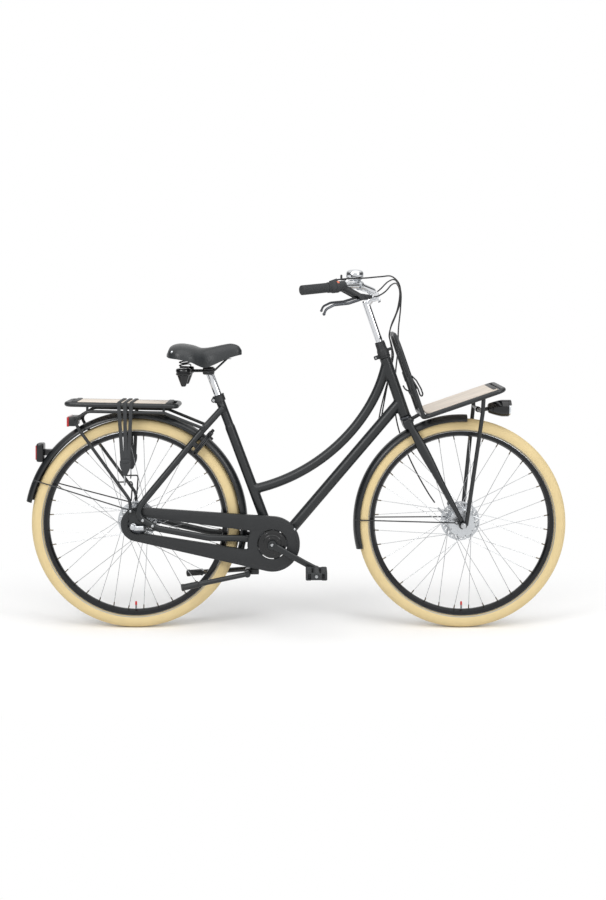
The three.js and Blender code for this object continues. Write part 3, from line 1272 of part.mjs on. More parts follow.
function lockBowSolid() {
  const steps = Math.ceil(ringLock.bowSpan / ringLock.step);
  const end = lockArms.to - ringLock.endInset;
  const points = arc(0, 0, ringLock.bow, end - ringLock.bowSpan, end, steps).map((p) => vector(p.x, 0, p.y));
  const knobWay = vector(Math.cos(knobAngle), 0, Math.sin(knobAngle));
  const knob = tube([
    knobWay.clone().multiplyScalar(ringLock.bow), knobWay.clone().multiplyScalar(ringLock.knobReach),
  ], ringLock.knob, facets.tube);
  const head = tube([
    knobWay.clone().multiplyScalar(ringLock.outer + runGap), knobWay.clone().multiplyScalar(ringLock.knobReach),
  ], ringLock.head, facets.round);
  return inLockPlane(join(tube(points, ringLock.shackle, facets.tube), knob, head));
}

addPart("ring_lock", ringLockSolid(), "plastic", rearWheel);
addPart("lock_bow", lockBowSolid(), "steel", rearWheel);

// The room that the front mudguard takes up between the fork's blades
function frontGuardRoom() {
  const half = frontGuard.half + gap;
  return turnedY(drum(frontGuard.radius + gap, -half, half), facets.wheel).translate([fork.rake, 0, 0]);
}

// Steering parts
function forkSolid() {
  const blades = bothSides((side) => {
    const rings = [];
    const shares = [0, blade.widestShare, blade.slimShare, 1];
    const halves = [blade.topHalf, blade.widestHalf, (blade.topHalf + blade.footHalf) / 2, blade.footHalf];
    shares.forEach((share, i) => {
      const at = vector(
        blade.topX + (fork.rake - blade.topX) * share, side * (blade.topY + (blade.footY - blade.topY) * share),
        fork.crownHeight * (1 - share) + forkEnd.radius * share,
      );
      const across = blade.across + (blade.footAcross - blade.across) * share;
      rings.push(ringShape(halves[i], across, facets.round).map((p) => vector(at.x + p.x, at.y + p.y, at.z)));
    });
    return loft(rings);
  });
  const ends = bothSides((side) => {
    const ys = lowFirst(side * forkEnd.inner, side * (forkEnd.inner + forkEnd.thick));
    const eye = turnedY(drum(forkEnd.radius, ys[0], ys[1]), facets.pivot).translate([fork.rake, 0, 0]);
    const neck = box(
      vector(fork.rake - blade.footHalf, ys[0], 0),
      vector(fork.rake + blade.footHalf, ys[1], forkEnd.radius * 2),
    );
    return join(eye, neck);
  });
  const eye = toSteering(frontAxle.x + guardStay.frontEye[0], 0, tyre.radius + guardStay.frontEye[1]);
  const ears = bothSides((side) => {
    const ys = lowFirst(side * forkEnd.inner, side * (forkEnd.inner + forkEnd.thick));
    return join(
      turnedY(drum(forkEnd.ear, ys[0], ys[1])).translate([eye.x, 0, eye.z]),
      box(vector(eye.x, ys[0], eye.z - forkEnd.ear), vector(fork.rake, ys[1], eye.z + forkEnd.ear / 2)),
    );
  });
  const brakeBoss = turnedY(drum(brake.bolt, frontBrakeArmFace + gap, blade.footY))
    .translate([brake.frontBoss[0], 0, brake.frontBoss[1]]);
  const top = box(
    vector(-crown.length / 2, -crown.half, fork.crownHeight - crown.height),
    vector(crown.length / 2, crown.half, fork.crownHeight),
  );
  const race = tube([
    vector(0, 0, fork.crownHeight - gap), vector(0, 0, headTube.bottom - gap),
  ], headTube.radius, facets.round);
  const steerer = tube([
    vector(0, 0, fork.crownHeight), vector(0, 0, headTube.top + headset.cupHeight + headset.collarHeight),
  ], fork.steererRadius, facets.round);
  const slotHalf = frontAxle.radius + gap;
  const axleHole = turnedY(drum(boreRadius(frontAxle.radius), -forkEnd.inner * 2, forkEnd.inner * 2))
    .translate([fork.rake, 0, 0]);
  const mouth = box(
    vector(fork.rake - slotHalf, -forkEnd.inner * 2, -forkEnd.radius * 2),
    vector(fork.rake + slotHalf, forkEnd.inner * 2, 0),
  );
  const guardRoom = frontGuardRoom();
  const quillBore = tube([
    vector(0, 0, headTube.bottom), vector(0, 0, stem.top),
  ], stem.quill + gap, facets.round);
  return cut(join(blades, ends, ears, brakeBoss, top, race, steerer), axleHole, mouth, guardRoom, quillBore);
}

addPart("fork", forkSolid(), "frame", steering);

// Headset: the turning cup and collar above the head tube, with a lug behind and a cable guide in front
function headsetSolid() {
  const low = headTube.top + gap;
  const shoulder = low + headset.cupHeight;
  const top = shoulder + headset.collarHeight;
  const inner = boreRadius(fork.steererRadius, facets.hub);
  const body = turnedZ([
    [inner, low], [headset.cup, low], [headset.cup, shoulder], [headset.collar, shoulder + headset.bevel],
    [headset.collar, top], [inner, top],
  ], facets.hub);
  const half = headset.lugWidth / 2;
  const reach = headset.cup + headset.lug;
  const lugLow = low + headset.lugRise;
  const lug = box(vector(-reach, -half, lugLow), vector(-inner - weld, half, lugLow + headset.lugHeight));
  const guide = box(vector(inner + weld, -half, shoulder - headset.guideHeight), vector(reach, half, shoulder));
  return join(body, lug, guide);
}

addPart("headset", headsetSolid(), "plastic", steering);

// Stem: a quill in the steerer and a forward clamp round the bar
function stemSolid() {
  const quill = tube([
    vector(0, 0, headTube.bottom + overrun), vector(0, 0, stem.top - stem.neck),
  ], stem.quill, facets.round);
  const post = tube([
    vector(0, 0, headTube.top + headset.cupHeight + headset.collarHeight + 2 * gap), vector(0, 0, stem.top),
  ], stem.radius, facets.hub);
  const neckFoot = vector(0, 0, stem.top - stem.neck);
  const neck = tube([neckFoot, vector(stem.clampX, 0, stem.clampZ)], stem.neck, facets.pivot);
  const clamp = turnedY(drum(stem.clampRadius, -stem.clampHalf, stem.clampHalf), facets.hub)
    .translate([stem.clampX, 0, stem.clampZ]);
  const bore = turnedY(drum(boreRadius(bar.centreRadius), -stem.clampHalf * 2, stem.clampHalf * 2))
    .translate([stem.clampX, 0, stem.clampZ]);
  return cut(join(quill, post, neck, clamp), bore);
}

addPart("stem", stemSolid(), "chrome", steering);

// Handlebar: one tube swept back to the grips
const barSide = (side) => (
  rounded(barRoute.map(([x, y, z]) => vector(x, side * y, z)), bar.bend).map((stop) => stop.at)
);

function barSolid() {
  const left = barSide(1);
  const right = barSide(-1).slice(1).reverse();
  const centre = turnedY(drum(bar.centreRadius, -stem.clampHalf - overrun / 2, stem.clampHalf + overrun / 2))
    .translate([stem.clampX, 0, stem.clampZ]);
  return join(tube([...right, ...left], bar.radius, facets.round), centre);
}

addPart("handlebar", barSolid(), "chrome", steering);

// Grips, twist shifter and lever mounts on the straight ends of the bar
const barEnd = (side) => vector(barRoute.at(-1)[0], side * barRoute.at(-1)[1], barRoute.at(-1)[2]);
const barElbow = (side) => vector(barRoute.at(-2)[0], side * barRoute.at(-2)[1], barRoute.at(-2)[2]);
const alongBar = (side, length) => barEnd(side).addScaledVector(
  barElbow(side).sub(barEnd(side)).normalize(), length,
);
const barBore = (side, from, to) => tube(
  [alongBar(side, from), alongBar(side, to)], boreRadius(bar.radius), facets.round,
);

function gripSolid(side, length) {
  const outer = tube([alongBar(side, -grip.endWall), alongBar(side, length)], grip.radius, facets.round);
  return cut(outer, barBore(side, -gap, length + overrun));
}

function shifterSolid() {
  const sleeve = tube([alongBar(-1, shifter.from), alongBar(-1, shifter.to)], shifter.radius, facets.round);
  const above = (length, rise) => (
    alongBar(-1, length).add(vector(shifter.up[0] * rise, -shifter.up[1] * rise, rise))
  );
  const outlet = tube([
    above(shifter.outletFrom, shifter.outletFoot), above(shifter.to + gap, shifter.outletHeight),
  ], shifter.outlet, facets.tube);
  return cut(join(sleeve, outlet), barBore(-1, shifter.from - overrun, shifter.to + overrun));
}

// The room that the bar takes up near a grip and in its last bends
const barRoomRings = 7;
const barRoom = (side) => tube(barSide(side).slice(-barRoomRings), boreRadius(bar.radius), facets.round);

const leverPivot = (side) => vector(lever.pivot[0], side * lever.pivot[1], lever.pivot[2]);
const leverWay = (side) => vector(side * lever.axis[0], lever.axis[1], 0).normalize();

function bladeSolid(side) {
  const points = [leverPivot(side), ...leverRoute.map(([x, y, z]) => vector(x, side * y, z))];
  return ovalTube(points, points.map(() => [lever.half, lever.thick]), lever.bend, facets.tube);
}

const alongPin = (side, half, radius) => tube([
  leverPivot(side).addScaledVector(leverWay(side), -half),
  leverPivot(side).addScaledVector(leverWay(side), half),
], radius, facets.round);

function leverSolid(side) {
  const barrel = alongPin(side, lever.barrelHalf, lever.barrel);
  return cut(join(barrel, bladeSolid(side)), alongPin(side, lever.barrelHalf * 2, lever.pin + gap));
}

// The room for the lever's root from rest to its full travel, a wedge across the pin
function leverSweep(side) {
  const pivot = leverPivot(side);
  const way = leverWay(side);
  const [x, y, z] = leverRoute[1];
  const along = vector(x, side * y, z).sub(pivot);
  along.addScaledVector(way, -along.dot(way)).normalize();
  const turned = (angle) => along.clone().applyAxisAngle(way, angle);
  const edge = (angle, rise) => {
    const start = pivot.clone().addScaledVector(way.clone().cross(turned(angle)), rise);
    return [start, start.clone().addScaledVector(turned(angle), lever.sweep)];
  };
  const [lowStart, lowEnd] = edge(-lever.slack, -lever.barrel - 2 * runGap);
  const [highStart, highEnd] = edge(lever.travel + lever.slack, lever.thick + runGap);
  const across = lever.half + runGap;
  return loft([-across, across].map((shift) => (
    [lowStart, lowEnd, highEnd, highStart].map((p) => p.clone().addScaledVector(way, shift))
  )));
}

// A clamp round the bar with a forked arm down to the lever's pin and a snout for the cable
function leverMountSolid(side) {
  const clampEnds = [alongBar(side, leverMount.from), alongBar(side, leverMount.to)];
  const clamp = tube(clampEnds, leverMount.radius, facets.round);
  const pivot = leverPivot(side);
  const snout = vector(leverMount.snout[0], side * leverMount.snout[1], leverMount.snout[2]);
  const middle = alongBar(side, (leverMount.from + leverMount.to) / 2);
  const knuckle = alongPin(side, leverMount.arm, leverMount.arm);
  const arm = join(tube([middle, pivot], leverMount.arm, facets.tube), knuckle);
  const nozzle = tube([pivot, snout], leverMount.snoutRadius, facets.tube);
  const sweep = leverSweep(side);
  const pocket = alongPin(side, lever.barrelHalf + 2 * gap, lever.barrel + runGap);
  const body = cut(join(clamp, arm, nozzle), pocket, sweep);
  const pin = alongPin(side, leverMount.arm - gap, lever.pin);
  return cut(join(body, pin), barRoom(side));
}

addPart("right_grip", gripSolid(-1, grip.right), "rubber", steering);
addPart("left_grip", gripSolid(1, grip.left), "rubber", steering);
addPart("shifter", shifterSolid(), "rubber", steering);
addPart("right_brake_mount", leverMountSolid(-1), "plastic", steering);
addPart("left_brake_mount", leverMountSolid(1), "plastic", steering);
addPart("right_brake_lever", leverSolid(-1), "plastic", steering);
addPart("left_brake_lever", leverSolid(1), "plastic", steering);

// Bell: a domed case on a foot that clamps round the bar, with a thumb trigger on its own pin
const onBell = (solid) => (
  solid.rotate([0, THREE.MathUtils.radToDeg(headAngle), 0]).translate([bell.x, -bell.y, bell.z])
);
const triggerPin = vector(
  bellTrigger.pinAt * Math.cos(bellTrigger.turn), bellTrigger.pinAt * Math.sin(bellTrigger.turn), 0,
);
const triggerDrum = (radius, from, to) => (
  turnedZ(drum(radius, from, to), facets.pivot).translate([triggerPin.x, triggerPin.y, 0])
);

function bellSolid() {
  const half = bell.height / 2;
  const dome = turnedZ(bellShares.map(([radius, z]) => [radius * bell.radius, z * half]), facets.pivot);
  const lug = tube([
    vector(0, 0, -half - bell.base / 2), triggerPin.clone().setZ(-half - bell.base / 2),
  ], bellTrigger.hub, facets.bar);
  const slab = box(
    vector(-bell.radius * 2, -bell.radius * 2, -half - bell.base),
    vector(bell.radius * 2, bell.radius * 2, -half),
  );
  const base = turnedZ(drum(bell.baseRadius, -half - bell.base, -half + gap));
  const pin = triggerDrum(bellTrigger.pin, -half - bell.base / 2, -half + bellTrigger.thick + gap);
  const seat = vector(barRoute.at(-3)[0], -barRoute.at(-3)[1], barRoute.at(-3)[2]);
  const wayAlong = barElbow(-1).sub(seat).normalize();
  const clamp = tube(bothSides((side) => (
    seat.clone().addScaledVector(wayAlong, side * bell.clampLength / 2)
  )), bell.clampRadius, facets.round);
  const foot = tube([seat, vector(bell.x, -bell.y, bell.z - half)], bell.foot, facets.tube);
  return cut(join(onBell(join(dome, base, lug.intersect(slab), pin)), clamp, foot), barRoom(-1));
}

function bellTriggerSolid() {
  const low = -bell.height / 2 + gap;
  const high = low + bellTrigger.thick;
  const arm = box(
    vector(triggerPin.x - bellTrigger.reach, triggerPin.y - bellTrigger.width / 2, low + gap),
    vector(triggerPin.x, triggerPin.y + bellTrigger.width / 2, high - gap),
  );
  const padX = triggerPin.x - bellTrigger.reach;
  const pad = box(
    vector(padX, triggerPin.y - bellTrigger.padHalf, low),
    vector(padX + bellTrigger.thick, triggerPin.y + bellTrigger.padHalf, low + bellTrigger.rise),
  );
  const whole = join(triggerDrum(bellTrigger.hub, low, high), arm, pad);
  return onBell(cut(whole, triggerDrum(bellTrigger.pin + gap, low - overrun, high + overrun)));
}

addPart("bell", bellSolid(), "chrome", steering);
addPart("bell_trigger", bellTriggerSolid(), "plastic", steering);

// Front mudguard and its stays to the fork ends
addPart("front_mudguard", join(
  guardBand(frontGuard, guardSection(frontGuard)),
  guardRods(frontGuard, guardStay.frontAngle, guardStay.frontEye, forkEnd.inner + forkEnd.thick),
), "frame", frontWheel);

// Front carrier: a loop round the deck, a hoop behind it, and two legs to the axle
function frontCarrierSolid() {
  const z = frontCarrier.z;
  const loopFront = frontCarrier.front - frontCarrier.tube;
  const loop = closedLoop([
    vector(frontCarrier.rear, -frontCarrier.half, z), vector(loopFront, -frontCarrier.half, z),
    vector(loopFront, frontCarrier.half, z), vector(frontCarrier.rear, frontCarrier.half, z),
  ], frontCarrier.tube, frontCarrier.corner, facets.tube);
  const barZ = z + frontDeck.rise - gap - flatOf(frontDeck.bar, facets.bar);
  const inset = frontCarrier.crossTube;
  const crossbars = [frontDeck.rear + inset, frontDeck.front - inset].map((x) => (
    tube([vector(x, -frontCarrier.half, barZ), vector(x, frontCarrier.half, barZ)], frontDeck.bar, facets.bar)
  ));
  const hoop = bentTube([
    vector(frontCarrier.rear, -frontCarrier.hoopHalf, z),
    vector(frontCarrier.rear, -frontCarrier.hoopHalf, frontCarrier.hoopTop),
    vector(frontCarrier.rear, frontCarrier.hoopHalf, frontCarrier.hoopTop),
    vector(frontCarrier.rear, frontCarrier.hoopHalf, z),
  ], frontCarrier.hoopTube, frontCarrier.hoopBend, facets.tube);
  const eyeY = forkEnd.inner + forkEnd.thick + gap + frontLeg.eyeThick / 2;
  const legs = bothSides((side) => {
    const ys = lowFirst(side * (eyeY - frontLeg.eyeThick / 2), side * (eyeY + frontLeg.eyeThick / 2));
    const eye = turnedY(drum(frontLeg.eye, ys[0], ys[1]), facets.hub).translate([fork.rake, 0, 0]);
    const leg = bentTube([
      vector(frontLeg.top[0], side * frontLeg.top[2], frontLeg.top[1]),
      vector(frontLeg.knee[0], side * frontLeg.knee[2], frontLeg.knee[1]),
      vector(fork.rake + frontLeg.eye, side * eyeY, -frontLeg.drop),
    ], frontLeg.tube, frontCarrier.hoopBend, facets.tube);
    return join(leg, eye);
  });
  const crossTube = tube([
    vector(frontLeg.knee[0], -frontLeg.knee[2], frontLeg.knee[1]),
    vector(frontLeg.knee[0], frontLeg.knee[2], frontLeg.knee[1]),
  ], frontCarrier.crossTube, facets.tube);
  const plateX = crown.length / 2 + gap;
  const mount = join(
    box(
      vector(plateX, -frontCarrier.plateHalf, fork.crownHeight - weld - frontCarrier.plateHeight),
      vector(plateX + frontCarrier.plateThick, frontCarrier.plateHalf, fork.crownHeight - weld),
    ),
    tube([
      vector(plateX + frontCarrier.plateThick / 2, 0, fork.crownHeight - frontCarrier.tube),
      vector(frontCarrier.rear, 0, z),
    ], frontCarrier.neckTube, facets.tube),
  );
  const bores = turnedY(drum(boreRadius(frontAxle.radius), -frontAxle.overall, frontAxle.overall), facets.round)
    .translate([fork.rake, 0, 0]);
  const endFace = forkEnd.inner + forkEnd.thick + gap;
  const nutRooms = bothSides((side) => {
    const ys = lowFirst(side * (endFace + frontLeg.eyeThick), side * frontAxle.overall);
    return turnedY(drum(boreRadius(frontAxle.radius * 2, facets.tube), ys[0], ys[1]), facets.tube)
      .translate([fork.rake, 0, 0]);
  });
  const endRoom = turnedY(drum(forkEnd.radius + overrun, -endFace, endFace)).translate([fork.rake, 0, 0]);
  const crownRoom = box(
    vector(-crown.length, -crown.half, fork.crownHeight - 2 * crown.height),
    vector(plateX, crown.half, fork.crownHeight + crown.height),
  );
  const guardRoom = frontGuardRoom();
  const whole = join(loop, crossbars, hoop, legs, crossTube, cut(mount, crownRoom));
  return cut(whole, bores, nutRooms, endRoom, guardRoom);
}

addPart("front_carrier", frontCarrierSolid(), "frame", steering);

// The board has cut corners, inside the bends of its loop.
function frontDeckSolid() {
  const { rear, front, half, corner } = frontDeck;
  const outline = [
    [rear + corner, -half], [front - corner, -half], [front, corner - half], [front, half - corner],
    [front - corner, half], [rear + corner, half], [rear, half - corner], [rear, corner - half],
  ];
  const base = frontCarrier.z + frontDeck.rise;
  return loft([base, base + frontDeck.thick].map((z) => outline.map(([x, y]) => vector(x, y, z))));
}

addPart("front_deck", frontDeckSolid(), "wood", steering);

// Front lamp, level with the road, on the carrier's cross tube
function frontLampSolid() {
  const back = -frontLamp.length / 2;
  const front = frontLamp.length / 2;
  const shell = turnedX([
    [0, back], [frontLamp.capRadius, back], [frontLamp.rearRadius, back + frontLamp.visor],
    [frontLamp.radius, front - frontLamp.rimLength], [frontLamp.radius, front], [0, front],
  ], facets.boss);
  const tubeAt = fromSteering(frontLeg.knee[0], 0, frontLeg.knee[1]);
  const place = vector(tubeAt.x - frontLamp.x, 0, tubeAt.z - frontLamp.z);
  const clip = turnedY(drum(frontCarrier.crossTube + frontLamp.visor, -frontLamp.clipHalf, frontLamp.clipHalf))
    .translate([place.x, 0, place.z]);
  const arm = tube([place, vector(back + frontLamp.visor * 2, 0, 0)], frontLamp.clipHalf, facets.tube);
  const room = turnedY(drum(boreRadius(frontCarrier.crossTube), -frontCarrier.half, frontCarrier.half))
    .translate([place.x, 0, place.z]);
  return cut(join(shell, clip, arm), room).translate([frontLamp.x, 0, frontLamp.z]);
}

addPart("front_lamp", frontLampSolid(), "lamp");

// Roller brakes: a fixed plate with its arm to the frame, and the cam lever that the cable pulls
function brakeSolid(hub, axleRadius, values, limitY) {
  const inner = besideHub(hub);
  const outer = Math.min(inner + brake.thick, limitY);
  const body = turnedY(drum(brake.plate, inner, outer), facets.hub);
  const way = vector(values.arm[0], 0, values.arm[1]).normalize();
  const sideways = vector(-way.z, 0, way.x).multiplyScalar(brake.armWidth / 2);
  const far = vector(values.arm[0], 0, values.arm[1]);
  const outline = [
    sideways, far.clone().add(sideways), far.clone().sub(sideways), sideways.clone().negate(),
  ].map((p) => new THREE.Vector2(p.x, p.z));
  const arm = plate(outline, [], inner, inner + brake.armThick);
  const bore = turnedY(drum(axleRadius + gap, 0, rearAxle.overall));
  const nut = turnedY(drum(axleRadius * 2 + 2 * gap, limitY, rearAxle.overall));
  return cut(join(body, arm), bore, nut);
}

function camSolid(hub, values, limitY) {
  const inner = besideHub(hub);
  const face = Math.min(inner + brake.thick, limitY) + gap;
  const pivot = vector(values.camPivot[0], 0, values.camPivot[1]);
  const tip = vector(values.camTip[0], 0, values.camTip[1]);
  const way = tip.clone().sub(pivot).normalize();
  const sideways = vector(-way.z, 0, way.x).multiplyScalar(cam.width / 2);
  const outline = [
    pivot.clone().add(sideways), tip.clone().addScaledVector(sideways, camTipShare),
    tip.clone().addScaledVector(sideways, -camTipShare), pivot.clone().sub(sideways),
  ].map((p) => new THREE.Vector2(p.x, p.z));
  const hubDrum = turnedY(drum(cam.hub, face, face + cam.thick)).translate([pivot.x, 0, pivot.z]);
  return join(plate(outline, [], face + gap, face + cam.thick - gap), hubDrum);
}

const frontBrakeLimit = frontAxle.overLocknuts / 2 - frontAxle.radius;
const rearBrakeLimit = rearAxle.overLocknuts / 2 - rearAxle.radius;
[
  ["front", frontHub, frontAxle, frontBrake, frontBrakeLimit, frontWheel],
  ["rear", rearHub, rearAxle, rearBrake, rearBrakeLimit, rearWheel],
].forEach(([end, hub, axle, values, limit, wheel]) => {
  addPart(`${end}_brake`, brakeSolid(hub, axle.radius, values, limit - gap), "steel", wheel);
  addPart(`${end}_brake_cam`, camSolid(hub, values, limit), "steel", wheel);
});

addPart("carrier_straps", strapsSolid(), "rubber");

// Seat post and saddle
const postTop = alongSeat(seatTube.length + seatPost.exposed);
const postFoot = alongSeat(seatTube.length - seatPost.insertion);
const postSolid = tube([postFoot, postTop], seatPost.radius, facets.boss);
addPart("seat_post", postSolid, "chrome");
const seat = groupAt(postTop.x, postTop.z);

const saddleBase = saddle.top - saddle.height;

function saddleSolid() {
  const rings = saddleShares.map(([along, half, top, low]) => {
    const x = saddle.rearX + along * saddle.length;
    const width = half * saddle.half;
    const lowZ = saddleBase + low * saddle.height;
    const topZ = saddleBase + top * saddle.height;
    const ring = [];
    for (let i = 0; i <= saddle.arcSteps; i += 1) {
      const angle = Math.PI * i / saddle.arcSteps;
      const across = Math.sign(Math.cos(angle)) * Math.abs(Math.cos(angle)) ** saddlePowers.across;
      ring.push(vector(x, width * across, lowZ + (topZ - lowZ) * Math.sin(angle) ** saddlePowers.up));
    }
    const [underWidth, underRise] = saddleUnderShares;
    const under = lowZ + (topZ - lowZ) * underRise;
    ring.push(
      vector(x, -width * underWidth, under), vector(x, 0, under + saddle.keel),
      vector(x, width * underWidth, under),
    );
    return ring;
  });
  return loft(rings);
}

const saddleBody = saddleSolid();
addPart("saddle", saddleBody, "saddle", seat);

// Height of the saddle's underside above a spring, found on the solid itself
function undersideAt(x, y) {
  const probe = tube([
    vector(x, y, saddleBase - saddle.height), vector(x, y, saddle.top + saddle.height),
  ], spring.wire + runGap, facets.tube);
  return probe.intersect(saddleBody).boundingBox().min[2];
}

// Saddle frame: two rails, the clamp on the post, and a cup with a cone below each spring
function railsSolid() {
  const clampMiddle = vector(-rail.radius, 0, rail.low);
  const half = { x: saddleClamp.length / 2, y: saddleClamp.width / 2, z: saddleClamp.height / 2 };
  const clamp = box(
    vector(clampMiddle.x - half.x, -half.y, clampMiddle.z - half.z),
    vector(clampMiddle.x + half.x, half.y, clampMiddle.z + half.z),
  );
  const rails = bothSides((side) => bentTube([
    vector(rail.noseX, side * rail.frontY, rail.noseZ), vector(rail.bendX, side * rail.rearY, rail.low),
    vector(rail.rearX, side * rail.rearY, rail.low), vector(spring.x, side * spring.y, rail.low),
  ], rail.radius, rail.bend, facets.wire));
  const bridge = tube([
    vector(rail.noseX, -rail.frontY, rail.noseZ), vector(rail.noseX, rail.frontY, rail.noseZ),
  ], rail.radius, facets.wire);
  const cups = bothSides((side) => {
    const top = spring.low - gap;
    const low = top - springCup.height;
    const profile = [
      [0, low - springCup.coneLength], [springCup.coneTip, low - springCup.coneLength],
      [springCup.coneRadius, low], [springCup.radius, low + springCup.rim], [springCup.radius, top], [0, top],
    ];
    return turnedZ(profile, facets.pivot).translate([spring.x, side * spring.y, 0]);
  });
  const nose = join(bridge, box(
    vector(rail.noseX - rail.noseBack, -rail.frontY, rail.noseZ - rail.radius),
    vector(rail.noseX + rail.noseAhead, rail.frontY, saddle.top - 2 * saddleClamp.height),
  ));
  const postRoom = tube([alongSeat(seatTube.length), postTop.clone().addScaledVector(seatAxis, gap)],
    boreRadius(seatPost.radius, facets.boss), facets.boss).translate([-postTop.x, 0, -postTop.z]);
  const seatedNose = cut(nose, saddleBody, saddleBody.translate([0, 0, -gap]));
  return cut(join(clamp, rails, seatedNose, cups), postRoom);
}

// The least gap between stretches of a round wire that lie at least half a turn apart along it
function leastSelfGap(points, radius, apart) {
  let least = Infinity;
  for (let i = 0; i < points.length; i += 1) {
    for (let j = i + apart; j < points.length - 1; j += 1) {
      const line = new THREE.Line3(points[j], points[j + 1]);
      const nearest = line.closestPointToPoint(points[i], true, vector(0, 0, 0));
      least = Math.min(least, nearest.distanceTo(points[i]) - 2 * radius);
    }
  }
  return least;
}

// One unbroken spring wire: a straight foot, the coil and a straight head
function springSolid(side) {
  const high = undersideAt(spring.x + spring.coil, side * spring.y) - gap;
  const run = spring.wire * 2;
  const rise = high - spring.low - 2 * run;
  const points = [vector(spring.x + spring.coil, side * spring.y, spring.low)];
  const steps = spring.turns * spring.stepsPerTurn;
  for (let i = 0; i <= steps; i += 1) {
    const angle = 2 * Math.PI * i / spring.stepsPerTurn;
    points.push(vector(
      spring.x + spring.coil * Math.cos(angle), side * (spring.y + spring.coil * Math.sin(angle)),
      spring.low + run + rise * i / steps,
    ));
  }
  points.push(vector(spring.x + spring.coil, side * spring.y, high));
  const least = leastSelfGap(points, spring.wire, spring.stepsPerTurn / 2);
  console.log(`saddle spring's least gap to itself: ${least.toFixed(2)} mm`);
  return tube(points, spring.wire, facets.wire);
}

addPart("saddle_rails", railsSolid(), "plastic", seat);
addPart("right_saddle_spring", springSolid(-1), "steel", seat);
addPart("left_saddle_spring", springSolid(1), "steel", seat);

// Cables from the levers and the shifter
function smoothRoute(route, steps) {
  const points = route.map(([x, y, z]) => vector(x, y, z));
  return new THREE.CatmullRomCurve3(points, false, "centripetal").getSpacedPoints(steps);
}
[
  ["front_brake_cable", frontBrakeCableRoute], ["rear_brake_cable", rearBrakeCableRoute],
  ["shift_cable", shiftCableRoute],
].forEach(([name, route], i) => {
  addPart(name, tube(smoothRoute(route, cable.rings[i]), cable.radius, facets.wire), "rubber", steering);
});

export default bicycle;
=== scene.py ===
import json
from math import asin, atan2, ceil, copysign, cos, hypot, pi, radians, sin, sqrt, tan
from types import SimpleNamespace

import bpy
from mathutils import Matrix, Vector


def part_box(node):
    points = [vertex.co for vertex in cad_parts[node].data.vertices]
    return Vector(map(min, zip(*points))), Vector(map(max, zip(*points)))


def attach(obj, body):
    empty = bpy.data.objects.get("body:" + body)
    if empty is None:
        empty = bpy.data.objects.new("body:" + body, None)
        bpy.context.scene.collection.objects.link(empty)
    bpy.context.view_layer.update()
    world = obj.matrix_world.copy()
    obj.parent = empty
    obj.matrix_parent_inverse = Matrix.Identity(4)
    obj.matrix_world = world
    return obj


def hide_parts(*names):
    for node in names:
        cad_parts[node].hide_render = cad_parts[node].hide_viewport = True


# A step-through city bicycle with two carriers, dressed over its CAD model.
# Metres: X points forward, Y to the rider's left and Z up.
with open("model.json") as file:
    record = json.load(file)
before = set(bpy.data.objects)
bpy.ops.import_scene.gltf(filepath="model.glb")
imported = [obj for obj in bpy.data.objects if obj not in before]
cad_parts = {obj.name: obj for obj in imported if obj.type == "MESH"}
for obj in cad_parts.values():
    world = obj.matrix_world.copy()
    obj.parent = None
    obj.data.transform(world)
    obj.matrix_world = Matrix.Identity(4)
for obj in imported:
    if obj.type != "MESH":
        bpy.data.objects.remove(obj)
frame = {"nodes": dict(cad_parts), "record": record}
bpy.context.tool_settings.mesh_select_mode = (False, True, False)
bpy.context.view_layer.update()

MM = 0.001
TURN = 2 * pi
UP = (0, 0, 1)


def sizes(**values):
    """Sizes typed in millimetres, given in metres."""
    return SimpleNamespace(**{name: MM * value for name, value in values.items()})


def spot(x, y, z):
    """A place typed in millimetres, given in metres."""
    return MM * Vector((x, y, z))


def places(points):
    return [MM * Vector(point) for point in points]


def mm(*values):
    """Lengths typed in millimetres, given in metres."""
    return [MM * value for value in values]


def heading(angle):
    """A way in the bicycle's middle plane, turned up from its front."""
    return Vector((cos(angle), 0, sin(angle)))


def pairs(points):
    """Pairs typed in millimetres, given in metres."""
    return [(MM * first, MM * second) for first, second in points]


# The clearance between pieces, and the angle from which an edge is rounded
gap = 0.3 * MM
sharp_angle = radians(35)

# Wheels
tyre = sizes(radius=361, height=42, width=50, bead=10.8, bead_depth=10, shoulder=0.7)
tyre_line = sizes(inner=323.2, outer=325.8)
edge_line = sizes(inner=317.8, across=13.3)
rim = sizes(bed=11, wall=19.4)
rim_radius = tyre.radius - tyre.height
spoke_end = rim_radius - rim.wall
spoke = sizes(
    radius=1, head=1.9, head_shift=2.2, head_reach=0.8, end_shift=3, nipple=2, nipple_length=13,
    nipple_inset=0.6,
)
spoke_count = 36
spoke_crossings = 3
spoke_phase = {-1: 0.25, 1: 0.75}
valve = sizes(radius=3, length=34, cap=3.6, cap_length=12)
rear_axle = Vector((-0.554, 0, tyre.radius))
front_axle = Vector((0.573, 0, tyre.radius))
rear_shaft = sizes(radius=5, locknuts=60, half=76)
front_shaft = sizes(radius=4.8, locknuts=50, half=71)
rear_hub = sizes(shell=31, flange=46, thick=3, right=-23, left=27)
front_hub = sizes(shell=40, flange=46, thick=3, right=-24, left=22)
hole_inset = 4 * MM
disc = sizes(
    radius=68, root=46, hole=37, knurl=1.4, thick=3, fin=5, slot_width=3.6, slot_length=13, bore_room=1.2,
)
disc_slant = 0.5
disc_slots = 24
knurl_count = 40

# Steering axis
HEAD = radians(19)
fork = sizes(
    rake=64, crown=404, top=684, steerer=12.7, bore=11.3, seat=19.5, slot=5.1, tip=15, tip_inner=50,
    tip_outer=55, eye=7,
)
steering_foot = front_axle - fork.rake * heading(HEAD)
STEER = Matrix.Translation(steering_foot) @ Matrix.Rotation(-HEAD, 4, "Y")


def steered(points):
    return [STEER @ point for point in places(points)]


